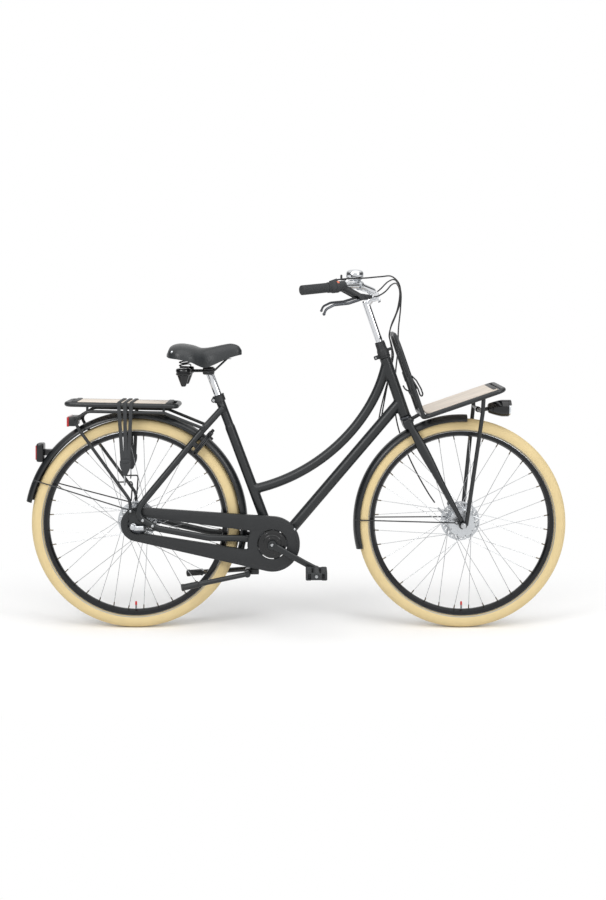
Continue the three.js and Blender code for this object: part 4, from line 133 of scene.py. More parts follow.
def on_steering(x, y, z):
    """A world place from metres across and along the steering axis."""
    return STEER @ Vector((x, y, z))


# Frame
shell = SimpleNamespace(centre=Vector((-0.080, 0, 0.297)), radius=0.022, half=0.034, bore=0.0173)
LEAN = radians(20.6)
seat_axis = Vector((-sin(LEAN), 0, cos(LEAN)))
seat_tube = sizes(length=537, radius=17.5, neck=15.6, neck_length=112, bore=13.9, depth=200)
head_tube = sizes(bottom=412, top=626, radius=19.5, bore=14.2)
top_tube = sizes(radius=17, drop=16, seat=191)
top_tube_leads = places([(279.9, 0, 732.4), (105.3, 0, 531.1)])
down_tube = sizes(radius=19, rise=53, ahead=18, below=12)
stay_route = places([
    (-252, 14, 760), (-323, 44, 682), (-556, 69, 400.6), (-472, 68, 353), (-300, 51, 318),
    (-205, 36, 313), (-160, 35, 311), (-94, 24, 301),
])
stay_halves = [(9, 11.5)] * 5 + [(7.5, 12.5)] * 3
stay_bend = 36 * MM
dropout = sizes(inner=60, thick=5, rim=15, slot=22)
dropout_bolts = places([(-521.7, 0, 381.4), (-488.3, 0, 362.6)])
stay_eye = SimpleNamespace(at=Vector((-0.563, 0, 0.414)), radius=0.007)
stand_plate = sizes(back=-158, front=-128, half=17, top=306, bottom=199, thick=5, bolt=15, bridge=10)
stand = SimpleNamespace(
    pivot=spot(-166, 0, 191), foot=spot(-386, 108, 160), tube=8.5 * MM, pin=7 * MM, half=40 * MM,
    pad_length=60 * MM,
)

# Seat
seat_post = sizes(radius=13.6, insertion=120, exposed=84)
seat_clamp = sizes(
    radius=20, height=24, over=3.6, ear=8.5, edge=1, lip=3, bore=15.9, mouth=14, bolt_half=12.5,
)
rail = sizes(radius=3.5)

# Chain drive
chain = sizes(line=-48, roller=2.9, plate=3.6, thick=1.1, inner=2.6, pin=1.6, pitch=12.7)
ring_teeth = 38
sprocket_teeth = 18
CRANK = radians(-28.5)
crank = sizes(length=170, end_half=12, end_inner=72, end_thick=13)
chain_case = sizes(
    front=94, rear=58, ahead=13, above=3.5, open=33, wall=2, face=58.5, back=43.5, slot=86, upper=34.5,
    lower=32, border=11, mouth=50.6, mouth_rim=52.4, back_room=52,
)
pedal = sizes(width=92, length=72, height=28, barrel=12, spindle=5, inset=9, tread=20, cheek=6)


def settle():
    """Leaves edit mode with nothing selected."""
    if bpy.context.object and bpy.context.object.mode != "OBJECT":
        bpy.ops.object.mode_set(mode="OBJECT")
    bpy.ops.object.select_all(action="DESELECT")


def take(*pieces):
    settle()
    for piece in pieces:
        piece.select_set(True)
    bpy.context.view_layer.objects.active = pieces[0]


def use(piece, kind, **settings):
    """Adds a modifier and applies it."""
    take(piece)
    modifier = piece.modifiers.new(kind.title(), kind)
    for name, value in settings.items():
        setattr(modifier, name, value)
    bpy.ops.object.modifier_apply(modifier=modifier.name)
    return piece


def cleaned(piece):
    """Merges doubles and turns all faces outwards."""
    take(piece)
    bpy.ops.object.mode_set(mode="EDIT")
    bpy.ops.mesh.select_all(action="SELECT")
    bpy.ops.mesh.remove_doubles(threshold=1e-6)
    bpy.ops.mesh.normals_make_consistent(inside=False)
    bpy.ops.object.mode_set(mode="OBJECT")
    return piece


def joined(*pieces):
    take(*pieces)
    if len(pieces) > 1:
        bpy.ops.object.join()
    return pieces[0]


def placed(piece, matrix):
    piece.data.transform(matrix)
    if matrix.determinant() < 0:
        piece.data.flip_normals()
    piece.data.update()
    return piece


def softened(piece, width, segments=2):
    """Rounds the edges whose faces turn by more than the sharp angle."""
    return use(piece, "BEVEL", width=width, segments=segments, limit_method="ANGLE", angle_limit=sharp_angle,
               use_clamp_overlap=True)


def made(points, faces):
    """A piece from its own points and faces."""
    mesh = bpy.data.meshes.new("piece")
    mesh.from_pydata([tuple(point) for point in points], [], faces)
    piece = bpy.data.objects.new("piece", mesh)
    bpy.context.collection.objects.link(piece)
    return piece


def skin(rings):
    """One closed skin over equal rings of points."""
    count = len(rings[0])
    last = (len(rings) - 1) * count
    faces = []
    for here in range(0, last, count):
        there = here + count
        for i in range(count):
            after = (i + 1) % count
            faces.append((here + i, here + after, there + after, there + i))
    faces += [tuple(range(count))[::-1], tuple(range(last, last + count))]
    return cleaned(made([point for ring in rings for point in ring], faces))


def rods(paths, radius, sides=12, cyclic=False):
    """Round rods along point paths."""
    settle()
    bpy.ops.object.add(type="CURVE")
    curve = bpy.context.object.data
    curve.dimensions = "3D"
    curve.bevel_depth = radius
    curve.bevel_resolution = (sides - 4) // 2
    curve.use_fill_caps = not cyclic
    for path in paths:
        spline = curve.splines.new("POLY")
        spline.points.add(len(path) - 1)
        for i, place in enumerate(path):
            spline.points[i].co = (*place, 1)
        spline.use_cyclic_u = cyclic
    bpy.ops.object.convert(target="MESH")
    return cleaned(bpy.context.object)


def rod(path, radius, sides=20, **settings):
    return rods([path], radius, sides, **settings)


def filleted(corners, radius, step=radians(8), cyclic=False):
    """A path whose corners are rounded to a radius, as a bent tube's are."""
    if cyclic:
        corners = [*corners, corners[0], corners[1]]
    path = [corners[0]]
    for before, at, after in zip(corners, corners[1:], corners[2:]):
        back, ahead = (before - at), (after - at)
        room = min(back.length, ahead.length) * 0.49
        back.normalize()
        ahead.normalize()
        half = back.angle(ahead) / 2
        turn = pi - 2 * half
        if turn < step / 2:
            path.append(at)
            continue
        reach = min(radius / tan(half), room)
        centre = at + (back + ahead).normalized() * (reach / cos(half))
        start, end = at + back * reach - centre, at + ahead * reach - centre
        steps = max(2, ceil(turn / step))
        for k in range(steps + 1):
            angle = turn * k / steps
            path.append(centre + (start * sin(turn - angle) + end * sin(angle)) / sin(turn))
    if cyclic:
        return path[1:]
    path.append(corners[-1])
    return path


def flowing(points, steps):
    """A smooth line through the points: a centripetal Catmull-Rom curve."""
    ends = [2 * points[0] - points[1], *points, 2 * points[-1] - points[-2]]
    line = []
    for before, start, end, after in zip(ends, ends[1:], ends[2:], ends[3:]):
        first, middle, last = (sqrt((b - a).length) for a, b in (
            (before, start), (start, end), (end, after)))
        leave = (start - before) / first - (end - before) / (first + middle) + (end - start) / middle
        arrive = (end - start) / middle - (after - start) / (middle + last) + (after - end) / last
        for i in range(steps):
            t = i / steps
            line.append(
                (2 * t**3 - 3 * t**2 + 1) * start + (t**3 - 2 * t**2 + t) * middle * leave
                + (3 * t**2 - 2 * t**3) * end + (t**3 - t**2) * middle * arrive
            )
    return [*line, points[-1]]


def turned_to(way):
    return Vector((0, 0, 1)).rotation_difference(Vector(way)).to_matrix().to_4x4()


def spun(profile, centre=(0, 0, 0), way=(0, 1, 0), steps=64):
    """A turned piece from pairs of radius and place along its axis."""
    settle()
    bpy.ops.mesh.primitive_circle_add(vertices=len(profile), radius=1)
    piece = bpy.context.object
    for vertex, (radius, along) in zip(piece.data.vertices, profile):
        vertex.co = (radius, 0, along)
    if profile[0][0] == 0:
        last = len(profile) - 1
        for edge in piece.data.edges:
            edge.select = set(edge.vertices) == {0, last}
        bpy.ops.object.mode_set(mode="EDIT")
        bpy.ops.mesh.select_mode(type="EDGE")
        bpy.ops.mesh.delete(type="EDGE")
    else:
        bpy.ops.object.mode_set(mode="EDIT")
    bpy.ops.mesh.select_all(action="SELECT")
    bpy.ops.mesh.spin(steps=steps, angle=TURN, center=(0, 0, 0), axis=(0, 0, 1))
    placed(cleaned(piece), Matrix.Translation(centre) @ turned_to(way))
    return piece


def arc(x, z, radius, start, end, steps):
    return [
        (x + radius * cos(start + (end - start) * i / steps),
         z + radius * sin(start + (end - start) * i / steps))
        for i in range(steps + 1)
    ]


def circle(x, z, radius, steps=48):
    return arc(x, z, radius, 0, TURN * (steps - 1) / steps, steps - 1)


def belt(front, rear, steps=40):
    """The outline of a belt round two circles, each given as x, z and radius."""
    along = atan2(front[1] - rear[1], front[0] - rear[0])
    spread = asin((front[2] - rear[2]) / hypot(front[0] - rear[0], front[1] - rear[1]))
    up, down = along + spread + pi / 2, along - spread - pi / 2
    return arc(*front, down, up, steps) + arc(*rear, up, down + TURN, steps)


def plate(outlines, low, high, edge=0.0):
    """A flat plate from outlines in X and Z, holes after the first, between two places along Y."""
    settle()
    bpy.ops.object.add(type="CURVE")
    curve = bpy.context.object.data
    curve.dimensions = "2D"
    curve.fill_mode = "BOTH"
    curve.extrude = abs(high - low) / 2
    for outline in outlines:
        spline = curve.splines.new("POLY")
        spline.points.add(len(outline) - 1)
        for i, (x, z) in enumerate(outline):
            spline.points[i].co = (x, z, 0, 1)
        spline.use_cyclic_u = True
    bpy.ops.object.convert(target="MESH")
    piece = bpy.context.object
    placed(piece, Matrix.Translation((0, (low + high) / 2, 0)) @ Matrix.Rotation(pi / 2, 4, "X"))
    cleaned(piece)
    return softened(piece, edge) if edge else piece


def block(low, high, edge=0.0, segments=2):
    low, high = Vector(low), Vector(high)
    settle()
    bpy.ops.mesh.primitive_cube_add(size=1)
    piece = bpy.context.object
    size = [abs(b - a) for a, b in zip(low, high)]
    placed(piece, Matrix.Translation((low + high) / 2) @ Matrix.Diagonal((*size, 1)))
    return softened(piece, edge, segments) if edge else piece


def hexagon(centre, radius, low, high, way=(0, 1, 0)):
    """A nut or bolt head with chamfered ends; low and high lie along its axis."""
    settle()
    bpy.ops.mesh.primitive_cylinder_add(vertices=6, radius=radius, depth=high - low)
    piece = bpy.context.object
    middle = Matrix.Translation((0, 0, (low + high) / 2))
    placed(piece, Matrix.Translation(centre) @ turned_to(way) @ middle)
    return softened(piece, radius * 0.09)


def drum(radius, low, high, edge=0.0):
    """The profile of a round bar, with its edges cut back."""
    if not edge:
        return [(0, low), (radius, low), (radius, high), (0, high)]
    return [(0, low), *washer(radius, radius, low, high, edge)[1:-1], (0, high)]


def washer(inner, outer, low, high, edge=0.0002):
    """The profile of a ring with cut edges on its outside."""
    return [(inner, low), (outer - edge, low), (outer, low + edge), (outer, high - edge),
            (outer - edge, high), (inner, high)]


def ring_points(centre, right, up, half_right, half_up, sides=20, power=1.0):
    """An oval ring of points; a power under 1 squares it."""
    points = []
    for i in range(sides):
        c, s = cos(TURN * i / sides), sin(TURN * i / sides)
        across = copysign(abs(c) ** power, c) * half_right
        rise = copysign(abs(s) ** power, s) * half_up
        points.append(centre + right * across + up * rise)
    return points


def headings(path):
    """The mean direction of a path at each of its points."""
    ways = []
    for i in range(len(path)):
        way = Vector()
        if i > 0:
            way += (path[i] - path[i - 1]).normalized()
        if i < len(path) - 1:
            way += (path[i + 1] - path[i]).normalized()
        ways.append(way.normalized())
    return ways


def oval_tube(path, halves, sides=20, flat=(0, 1, 0), power=1.0):
    """A tube with its own half width and half height at each point."""
    rings = []
    for at, way, (half_width, half_height) in zip(path, headings(path), halves):
        right = (Vector(flat) - way * way.dot(Vector(flat))).normalized()
        rings.append(ring_points(at, right, way.cross(right), half_width, half_height, sides, power))
    return skin(rings)


def hollowed(piece, *cutters, solver="EXACT"):
    for cutter in cutters:
        use(piece, "BOOLEAN", operation="DIFFERENCE", object=cutter, solver=solver)
        bpy.data.objects.remove(cutter)
    return piece


def blended(piece, voxel, rounds):
    """Melts overlapping tubes into one skin with soft welds between them."""
    use(piece, "REMESH", mode="VOXEL", voxel_size=voxel, adaptivity=0)
    return use(piece, "SMOOTH", factor=0.5, iterations=rounds)


def copies(piece, matrices):
    """One mesh with the piece repeated at each place; the piece itself is used up."""
    points, faces = [], []
    corners = [vertex.co.copy() for vertex in piece.data.vertices]
    loops = [tuple(face.vertices) for face in piece.data.polygons]
    for matrix in matrices:
        start = len(points)
        points += [matrix @ corner for corner in corners]
        faces += [tuple(start + i for i in loop) for loop in loops]
    bpy.data.objects.remove(piece)
    return made(points, faces)


def painted(piece, material):
    piece.data.materials.append(material)
    return piece


def finished(piece, name, body, material, slot, *nodes, angle=35):
    """Names a piece, gives it its finish and its body, and hides the CAD nodes that it stands for."""
    piece.name = name
    piece.data.name = name
    if not piece.data.materials:
        painted(piece, material)
    take(piece)
    bpy.ops.object.shade_smooth_by_angle(angle=radians(angle))
    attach(piece, body)
    if nodes:
        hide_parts(*nodes)
    return piece


# Finishes
def linear_light(colour):
    """A colour as it is seen, 0 to 255, in linear light."""
    seen = [value / 255 for value in colour]
    return [value / 12.92 if value <= 0.04045 else ((value + 0.055) / 1.055) ** 2.4 for value in seen]


def scaled_colour(colour, share):
    return (*(min(1, value * share) for value in colour), 1)


def new_material(name):
    material = bpy.data.materials.new(name)
    material.use_nodes = True
    return material, material.node_tree, material.node_tree.nodes["Principled BSDF"]


def feed(tree, node, inputs):
    """Gives a node's inputs their values, or links them to other nodes' outputs."""
    for key, value in inputs.items():
        if isinstance(value, bpy.types.NodeSocket):
            tree.links.new(value, node.inputs[key])
        else:
            node.inputs[key].default_value = value


def add(tree, kind, inputs=None, **settings):
    """A new node with its settings and inputs."""
    node = tree.nodes.new(f"ShaderNode{kind}")
    for name, value in settings.items():
        setattr(node, name, value)
    feed(tree, node, inputs or {})
    return node


def calculated(tree, operation, *values):
    return add(tree, "Math", dict(enumerate(values)), operation=operation).outputs[0]


def faded(tree, low, high, value):
    """A smooth 0 to 1 while a value goes from low to high."""
    inputs = {"From Min": low, "From Max": high, "Value": value}
    return add(tree, "MapRange", inputs, interpolation_type="SMOOTHSTEP").outputs["Result"]


# The cloudy pattern in each colour, and the least roughness of a finish
cloud = SimpleNamespace(scale=23, detail=5, stops=(0.3, 0.7))
least_rough = 0.02


def finish(name, colour, rough, metallic=0.0, grain=1400, bump=0.06, tint=0.08, spread=0.06, coat=0.0,
           stretch=(1, 1, 1)):
    """A painted, moulded or bare surface: cloudy colour, uneven gloss and a fine grain in its relief."""
    material, tree, shader = new_material(name)
    colour = linear_light(colour)
    where = add(tree, "TexCoord").outputs["Object"]
    mapped = add(tree, "Mapping", {"Vector": where, "Scale": stretch}).outputs["Vector"]

    def noise(scale, detail):
        return add(tree, "TexNoise", {"Scale": scale, "Detail": detail, "Vector": mapped}).outputs["Fac"]

    ramp = add(tree, "ValToRGB", {"Fac": noise(cloud.scale, cloud.detail)})
    for stop, position, share in zip(ramp.color_ramp.elements, cloud.stops, (1 - tint, 1 + tint)):
        stop.position = position
        stop.color = scaled_colour(colour, share)
    gloss = add(tree, "MapRange", {
        "To Min": max(least_rough, rough - spread), "To Max": min(1, rough + spread), "Value": noise(90, 3),
    })
    relief = add(tree, "Bump", {"Strength": bump, "Distance": 0.4 * MM, "Height": noise(grain, 2)})
    feed(tree, shader, {
        "Metallic": metallic, "Coat Weight": coat, "Base Color": ramp.outputs["Color"],
        "Roughness": gloss.outputs["Result"], "Normal": relief.outputs["Normal"],
    })
    return material


satin = finish("satin_paint", (24, 27, 29), 0.36, grain=2600, bump=0.05, tint=0.06)
guard_paint = finish("guard_paint", (20, 23, 25), 0.3, grain=2600, bump=0.04, tint=0.06)
moulded = finish("moulded_black", (26, 28, 30), 0.48, grain=1800, bump=0.16, tint=0.08)
glossy = finish("glossy_black", (14, 15, 17), 0.16, grain=900, bump=0.02, tint=0.05, spread=0.03)
soft_rubber = finish("soft_rubber", (44, 46, 48), 0.72, grain=2200, bump=0.22, tint=0.1)
hose_black = finish("cable_housing", (30, 31, 33), 0.4, grain=1600, bump=0.08)
chromed = finish("chrome", (214, 216, 219), 0.1, metallic=1.0, grain=500, bump=0.01, tint=0.02, spread=0.03)
zinc = finish("bright_zinc", (188, 190, 192), 0.3, metallic=1.0, grain=1500, bump=0.08, tint=0.06)
dark_steel = finish("dark_steel", (84, 86, 90), 0.36, metallic=1.0, grain=1500, bump=0.1, tint=0.1)
spoke_steel = finish("drawn_steel", (176, 178, 180), 0.28, metallic=1.0, grain=900, bump=0.05)
brass = finish("dark_brass", (96, 88, 74), 0.35, metallic=1.0, grain=900, bump=0.05)
bare_alloy = finish("bare_alloy", (200, 203, 206), 0.32, metallic=1.0, grain=1700, bump=0.08, tint=0.05)
cream = finish("cream_tyre", (211, 190, 142), 0.78, grain=700, bump=0.12, tint=0.035)
reflective = finish("reflective_line", (172, 170, 160), 0.45, grain=900, bump=0.05, tint=0.05)
black_rim = finish("black_rim", (24, 25, 27), 0.25, metallic=0.4, grain=1500, bump=0.03, tint=0.06)
rim_edge = finish("machined_edge", (160, 162, 165), 0.3, metallic=1.0, grain=1500, bump=0.04)
valve_grey = finish("valve_rubber", (120, 120, 122), 0.6)
valve_red = finish("valve_cap", (196, 40, 40), 0.4)
red_lens = finish("red_lens", (176, 24, 30), 0.14, grain=420, bump=0.3, coat=0.5)
orange_lens = finish("orange_lens", (214, 92, 44), 0.16, grain=420, bump=0.3, coat=0.5)

# Cables from the levers and the shifter
cable_radius = 2.5 * MM
cable_routes = {
    "rear_brake_cable": [
        (17, -189.6, 845.8), (34, -181, 841), (66, -150, 846), (98, -100, 860), (120, -40, 854),
        (122, 4, 820), (94, 14, 766), (58, 13, 724), (40, 11, 692), (36, 10, 668), (33, 11, 648),
        (26, 22, 622), (6, 24.5, 580), (-34, 24, 510), (-62, 15, 462), (-78, 8, 434),
    ],
    "shift_cable": [
        (-74.3, -225.2, 936.6), (-34, -199, 927), (14, -170, 912), (70, -120, 898), (112, -50, 884),
        (130, 0, 846), (114, 18, 790), (82, 20, 748), (52, 18, 714), (39, 16.5, 690), (38, 16, 668),
        (36, 17.5, 648), (32, 28, 622), (8, 30.5, 580), (-38, 30, 510), (-72, 20, 458), (-92, 12, 424),
    ],
    "front_brake_cable": [
        (17, 189.6, 845.8), (34, 181, 841), (66, 150, 850), (104, 96, 870), (126, 44, 866), (130, 34, 828),
        (110, 36, 770), (78, 38, 700), (56, 38, 640), (20, 44, 560), (-14, 58, 470), (-30, 66, 400),
        (-34, 70, 320), (-26, 68, 220), (-8, 58, 120), (2, 50, 84),
    ],
}
for name, route in cable_routes.items():
    line = flowing(steered(route), 6)
    piece = rod(line, cable_radius, 12)
    finished(piece, f"{name}_housing", "steering_body", hose_black, "rubber", name)

# Camera at the photograph's place, level, with the photograph's framing as shift
photo = SimpleNamespace(width=606, height=900, eye_x=302, eye_y=285, metres_per_pixel=0.003468)
camera_place = Vector((0.0212, -4.3, 1.184))
camera_data = bpy.data.cameras.new("camera")
camera = bpy.data.objects.new("camera", camera_data)
bpy.context.scene.collection.objects.link(camera)
camera.location = camera_place
camera.rotation_euler = (pi / 2, 0, 0)
camera_data.sensor_width = 36
camera_data.lens = camera_data.sensor_width * -camera_place.y / (photo.height * photo.metres_per_pixel)
camera_data.shift_x = (photo.width / 2 - photo.eye_x) / photo.height
camera_data.shift_y = -(photo.height / 2 - photo.eye_y) / photo.height
bpy.context.scene.camera = camera
bpy.context.scene.view_settings.view_transform = "Standard"


# World, floor and lamps
def seen_directly(tree):
    """1 for what the camera, a reflection or a clear lens sees, and 0 for light on the object."""
    path = add(tree, "LightPath").outputs
    seen = calculated(tree, "MAXIMUM", path["Is Camera Ray"], path["Is Glossy Ray"])
    return calculated(tree, "MAXIMUM", seen, path["Is Transmission Ray"])


# Where each wall fades out, as shares of the way to the front, the back and the top
wall_edges = (("Y", 0.5, 0.88), ("Z", 0.3, 0.7))


def dress_world(ambient, wall):
    """Plain white where it is seen, with a grey wall at each end of the studio for the metal to show."""
    world = bpy.data.worlds.new("studio")
    world.use_nodes = True
    bpy.context.scene.world = world
    tree = world.node_tree
    level = add(tree, "MapRange", {"To Min": ambient, "To Max": 1.0, "Value": seen_directly(tree)})
    split = add(tree, "SeparateXYZ", {"Vector": add(tree, "TexCoord").outputs["Generated"]})
    open_share = add(tree, "LightPath").outputs["Is Camera Ray"]
    for axis, low, high in wall_edges:
        size = calculated(tree, "ABSOLUTE", split.outputs[axis])
        open_share = calculated(tree, "MAXIMUM", open_share, faded(tree, low, high, size))
    walls = add(tree, "MapRange", {"To Min": wall, "To Max": 1.0, "Value": open_share})
    strength = calculated(tree, "MULTIPLY", level.outputs["Result"], walls.outputs["Result"])
    feed(tree, tree.nodes["Background"], {"Color": (1, 1, 1, 1), "Strength": strength})


def studio_floor(half, near, far):
    """White paper that keeps the shadows near the wheels and fades to plain white away from them."""
    settle()
    bpy.ops.mesh.primitive_plane_add(size=2 * half, location=(0, 0, -0.5 * MM))
    floor = bpy.context.object
    floor.name = "floor"
    material, tree, shader = new_material("white_paper")
    feed(tree, shader, {"Base Color": (0.96, 0.96, 0.96, 1), "Roughness": 0.9, "Specular IOR Level": 0.0})
    split = add(tree, "SeparateXYZ", {"Vector": add(tree, "TexCoord").outputs["Object"]})
    away = calculated(tree, "ABSOLUTE", split.outputs["Y"])
    share = calculated(tree, "MULTIPLY", faded(tree, near, far, away), seen_directly(tree))
    white = add(tree, "Emission", {"Strength": 1.0})
    mix = add(tree, "MixShader", {"Fac": share, 1: shader.outputs["BSDF"], 2: white.outputs["Emission"]})
    feed(tree, tree.nodes["Material Output"], {"Surface": mix.outputs["Shader"]})
    painted(floor, material)


def lamp(name, kind, place, target, energy, **settings):
    data = bpy.data.lights.new(name, kind)
    data.energy = energy
    for key, value in settings.items():
        setattr(data, key, value)
    light = bpy.data.objects.new(name, data)
    bpy.context.scene.collection.objects.link(light)
    light.location = place
    light.rotation_euler = (Vector(target) - Vector(place)).to_track_quat("-Z", "Y").to_euler()


dress_world(ambient=0.62, wall=0.12)
studio_floor(half=14, near=0.35, far=0.9)
lamp("sky_panel", "SUN", (0.6, -1.6, 4.0), (0, 0, 0.4), 1.25, angle=radians(70))
lamp("side_panel", "AREA", (-1.9, -2.6, 2.3), (-0.1, 0, 0.6), 38, shape="RECTANGLE", size=1.6, size_y=1.0)
lamp("front_panel", "AREA", (2.2, -2.4, 1.9), (0.3, 0, 0.6), 26, shape="RECTANGLE", size=1.2, size_y=1.2)


# Wheels
def at_axle(axle, piece):
    return placed(piece, Matrix.Translation(axle))


wheel_steps = 144
# The tyre's wall, out from the rim's edge and across from the bead; its grooves, under the tread and across
tyre_wall = pairs([(3, 5.2), (6.2, 9)])
tyre_grooves = pairs([(0.5, 5.6), (1.3, 5.2), (1.2, 4.2), (0.2, 3.8)])
tread_angles = [radians(-28 + i * 8.6) for i in range(13)]


def two_sided(side):
    """Half a profile with its mirror image across the middle."""
    return side + [(radius, -along) for radius, along in reversed(side)]


def marked(piece, axle, main, second, chosen):
    """Paints a turned piece, with a second finish where its faces' reach and place across are chosen."""
    painted(painted(piece, main), second)
    for face in piece.data.polygons:
        away = hypot(face.center.x - axle.x, face.center.z - axle.z)
        if chosen(away, abs(face.center.y)):
            face.material_index = 1


def tyre_profile():
    """Half an outline from bead to tread, mirrored across the middle."""
    half, centre = tyre.width / 2, tyre.radius - tyre.width / 2
    side = [(rim_radius - tyre.bead_depth + gap, tyre.bead - gap), (rim_radius + gap, tyre.bead + gap)]
    side += [(rim_radius + rise, tyre.bead + across) for rise, across in tyre_wall]
    side += [(centre + half * sin(angle), half * cos(angle)) for angle in tread_angles]
    side = [point for point in side if point[0] < tyre.radius - tyre.shoulder]
    side += [(tyre.radius - depth, across) for depth, across in tyre_grooves]
    return two_sided(side)


# The rim from its inside to its bed, as radius and place across
rim_profile = two_sided(pairs([
    (299.6, 2.5), (300, 5.5), (301.6, 8.5), (304.8, 15.2), (307.2, 16), (317.4, 16), (318.7, 15.5),
    (319, 14.4), (319, 11.4), (309.6, 11.1), (308, 9.2),
]))


def spoke_lines(hub):
    """The foot and the rim end of each spoke, laced in crossing pairs."""
    ring, per_side = hub.flange - hole_inset, spoke_count // 2
    reach = spoke_end + spoke.nipple_inset
    lines = []
    for side in (-1, 1):
        flange = hub.right if side < 0 else hub.left
        for i in range(per_side):
            lead = 1 if i % 2 else -1
            foot = (i + spoke_phase[side]) * TURN / per_side
            end = foot + lead * spoke_crossings * TURN / per_side
            start = Vector((ring * cos(foot), flange + lead * spoke.head_shift, ring * sin(foot)))
            stop = Vector((reach * cos(end), side * spoke.end_shift, reach * sin(end)))
            lines.append((start, stop, lead))
    return lines


def hub_profile(hub, bore):
    """The shell between its flanges, from the right face to the left one."""
    edge, fillet, thick = 0.8 * MM, 3 * MM, hub.thick
    right, left = hub.right - thick, hub.left + 2 * thick
    return [
        (bore, right), (hub.flange - edge, right), (hub.flange, right + edge),
        (hub.flange, hub.right + thick - edge), (hub.flange - edge, hub.right + thick),
        (hub.shell + fillet, hub.right + thick + edge / 2), (hub.shell, hub.right + 2 * thick),
        (hub.shell, hub.left - 3 * thick), (hub.shell + fillet, hub.left - thick - edge / 2),
        (hub.flange - edge, hub.left - thick), (hub.flange, hub.left - thick + edge),
        (hub.flange, left - edge), (hub.flange - edge, left), (bore, left),
    ]


def on_tyre_line(away, across):
    return tyre_line.inner < away < tyre_line.outer


def on_rim_edge(away, across):
    return away > edge_line.inner and across > edge_line.across


def dress_wheel(end, axle, hub, shaft, hub_finish):
    body = f"{end}_wheel"
    rubber = spun(tyre_profile(), axle, steps=wheel_steps)
    marked(rubber, axle, cream, reflective, on_tyre_line)
    finished(rubber, f"{end}_tyre_cover", body, cream, "tyre", f"{end}_tyre", angle=50)
    band = spun(rim_profile, axle, steps=wheel_steps)
    marked(band, axle, black_rim, rim_edge, on_rim_edge)
    finished(band, f"{end}_rim_band", body, black_rim, "rim", f"{end}_rim", angle=40)
    foot = rim.bed - rim_radius
    stem_top, top = foot + valve.length - valve.cap_length, foot + valve.length
    stem = spun(drum(valve.radius, foot, stem_top), axle, UP, 20)
    finished(stem, f"{end}_valve_stem", body, valve_grey, "rubber")
    cap = spun(drum(valve.cap, stem_top, top, 0.9 * MM), axle, UP, 20)
    finished(cap, f"{end}_valve_cap", body, valve_red, "plastic")
    shell_piece = spun(hub_profile(hub, shaft.radius + gap), axle, steps=72)
    finished(shell_piece, f"{end}_hub_shell", body, hub_finish, "alloy", f"{end}_hub", angle=30)
    wires, heads, nipples = [], [], []
    for foot, stop, lead in spoke_lines(hub):
        foot, stop, reach = axle + foot, axle + stop, Vector((0, spoke.head_reach * lead, 0))
        wires.append((foot, stop))
        heads.append((foot - reach, foot + reach))
        nipples.append((stop + (foot - stop).normalized() * spoke.nipple_length, stop))
    for kind, lines, radius, material in (
            ("spokes", wires, spoke.radius, spoke_steel), ("spoke_heads", heads, spoke.head, spoke_steel),
            ("spoke_nipples", nipples, spoke.nipple, brass)):
        finished(rods(lines, radius, 8), f"{end}_{kind}", body, material, "steel")


def dress_disc(end, axle, hub, shaft):
    """A cooling disc with slanted slots round a knurled ring, on the left of the hub."""
    inner = hub.left + 2 * hub.thick + gap
    outer = inner + disc.thick
    slots, knurls = [], []
    for i in range(disc_slots):
        angle = TURN * i / disc_slots
        centre = Vector((cos(angle), sin(angle))) * (disc.radius + disc.root) / 2
        along = Vector((cos(angle + disc_slant), sin(angle + disc_slant)))
        across = Vector((-along.y, along.x)) * disc.slot_width / 2
        reach = along * disc.slot_length / 2
        bend = reach * 0.8
        corners = (bend + across, reach, bend - across, -bend - across, -reach, across - bend)
        slots.append([tuple(centre + corner) for corner in corners])
    for i in range(2 * knurl_count):
        radius, angle = disc.root - (0 if i % 2 else disc.knurl), pi * i / knurl_count
        knurls.append((radius * cos(angle), radius * sin(angle)))
    outlines = [circle(0, 0, disc.radius, 96), circle(0, 0, disc.hole, 64), *slots]
    wheel = at_axle(axle, plate(outlines, inner, outer, 0.4 * MM))
    finished(wheel, f"{end}_cooling_wheel", f"{end}_wheel", bare_alloy, "alloy", f"{end}_cooling_disc")
    bore = circle(0, 0, shaft.radius + disc.bore_room, 32)
    collar = plate([knurls, bore], outer - gap, outer + disc.fin - 0.2 * MM, 0.3 * MM)
    finished(at_axle(axle, collar), f"{end}_cooling_collar", f"{end}_wheel", bare_alloy, "alloy")


dress_wheel("rear", rear_axle, rear_hub, rear_shaft, bare_alloy)
dress_wheel("front", front_axle, front_hub, front_shaft, bare_alloy)
dress_disc("rear", rear_axle, rear_hub, rear_shaft)
dress_disc("front", front_axle, front_hub, front_shaft)


def dress_axle(end, axle, shaft, clamped, body):
    """A threaded axle with locknuts inside the dropouts, and washers and domed nuts outside."""
    thread = []
    start, stop, rise = shaft.locknuts + clamped, shaft.half - 1 * MM, 1.1 * MM
    count = int((stop - start) / rise)
    for i in range(count):
        thread += [(shaft.radius, start + i * rise), (shaft.radius - 0.35 * MM, start + (i + 0.5) * rise)]
    half = [(0, 0), (shaft.radius, 0), *thread, (shaft.radius - 0.6 * MM, shaft.half), (0, shaft.half)]
    parts = [spun(half, axle, (0, side, 0), 24) for side in (-1, 1)]
    nut = shaft.radius * 2
    face = shaft.locknuts + clamped + gap
    for side in (-1, 1):
        way = (0, side, 0)
        parts.append(hexagon(axle, nut, shaft.locknuts - nut / 2, shaft.locknuts - gap, way))
        parts.append(spun(washer(shaft.radius + gap, nut, face, face + 1.4 * MM), axle, way, 40))
        parts.append(hexagon(axle, nut * 0.94, face + 1.4 * MM, face + nut, way))
    return finished(joined(*parts), f"{end}_axle_and_nuts", body, zinc, "steel", f"{end}_axle")


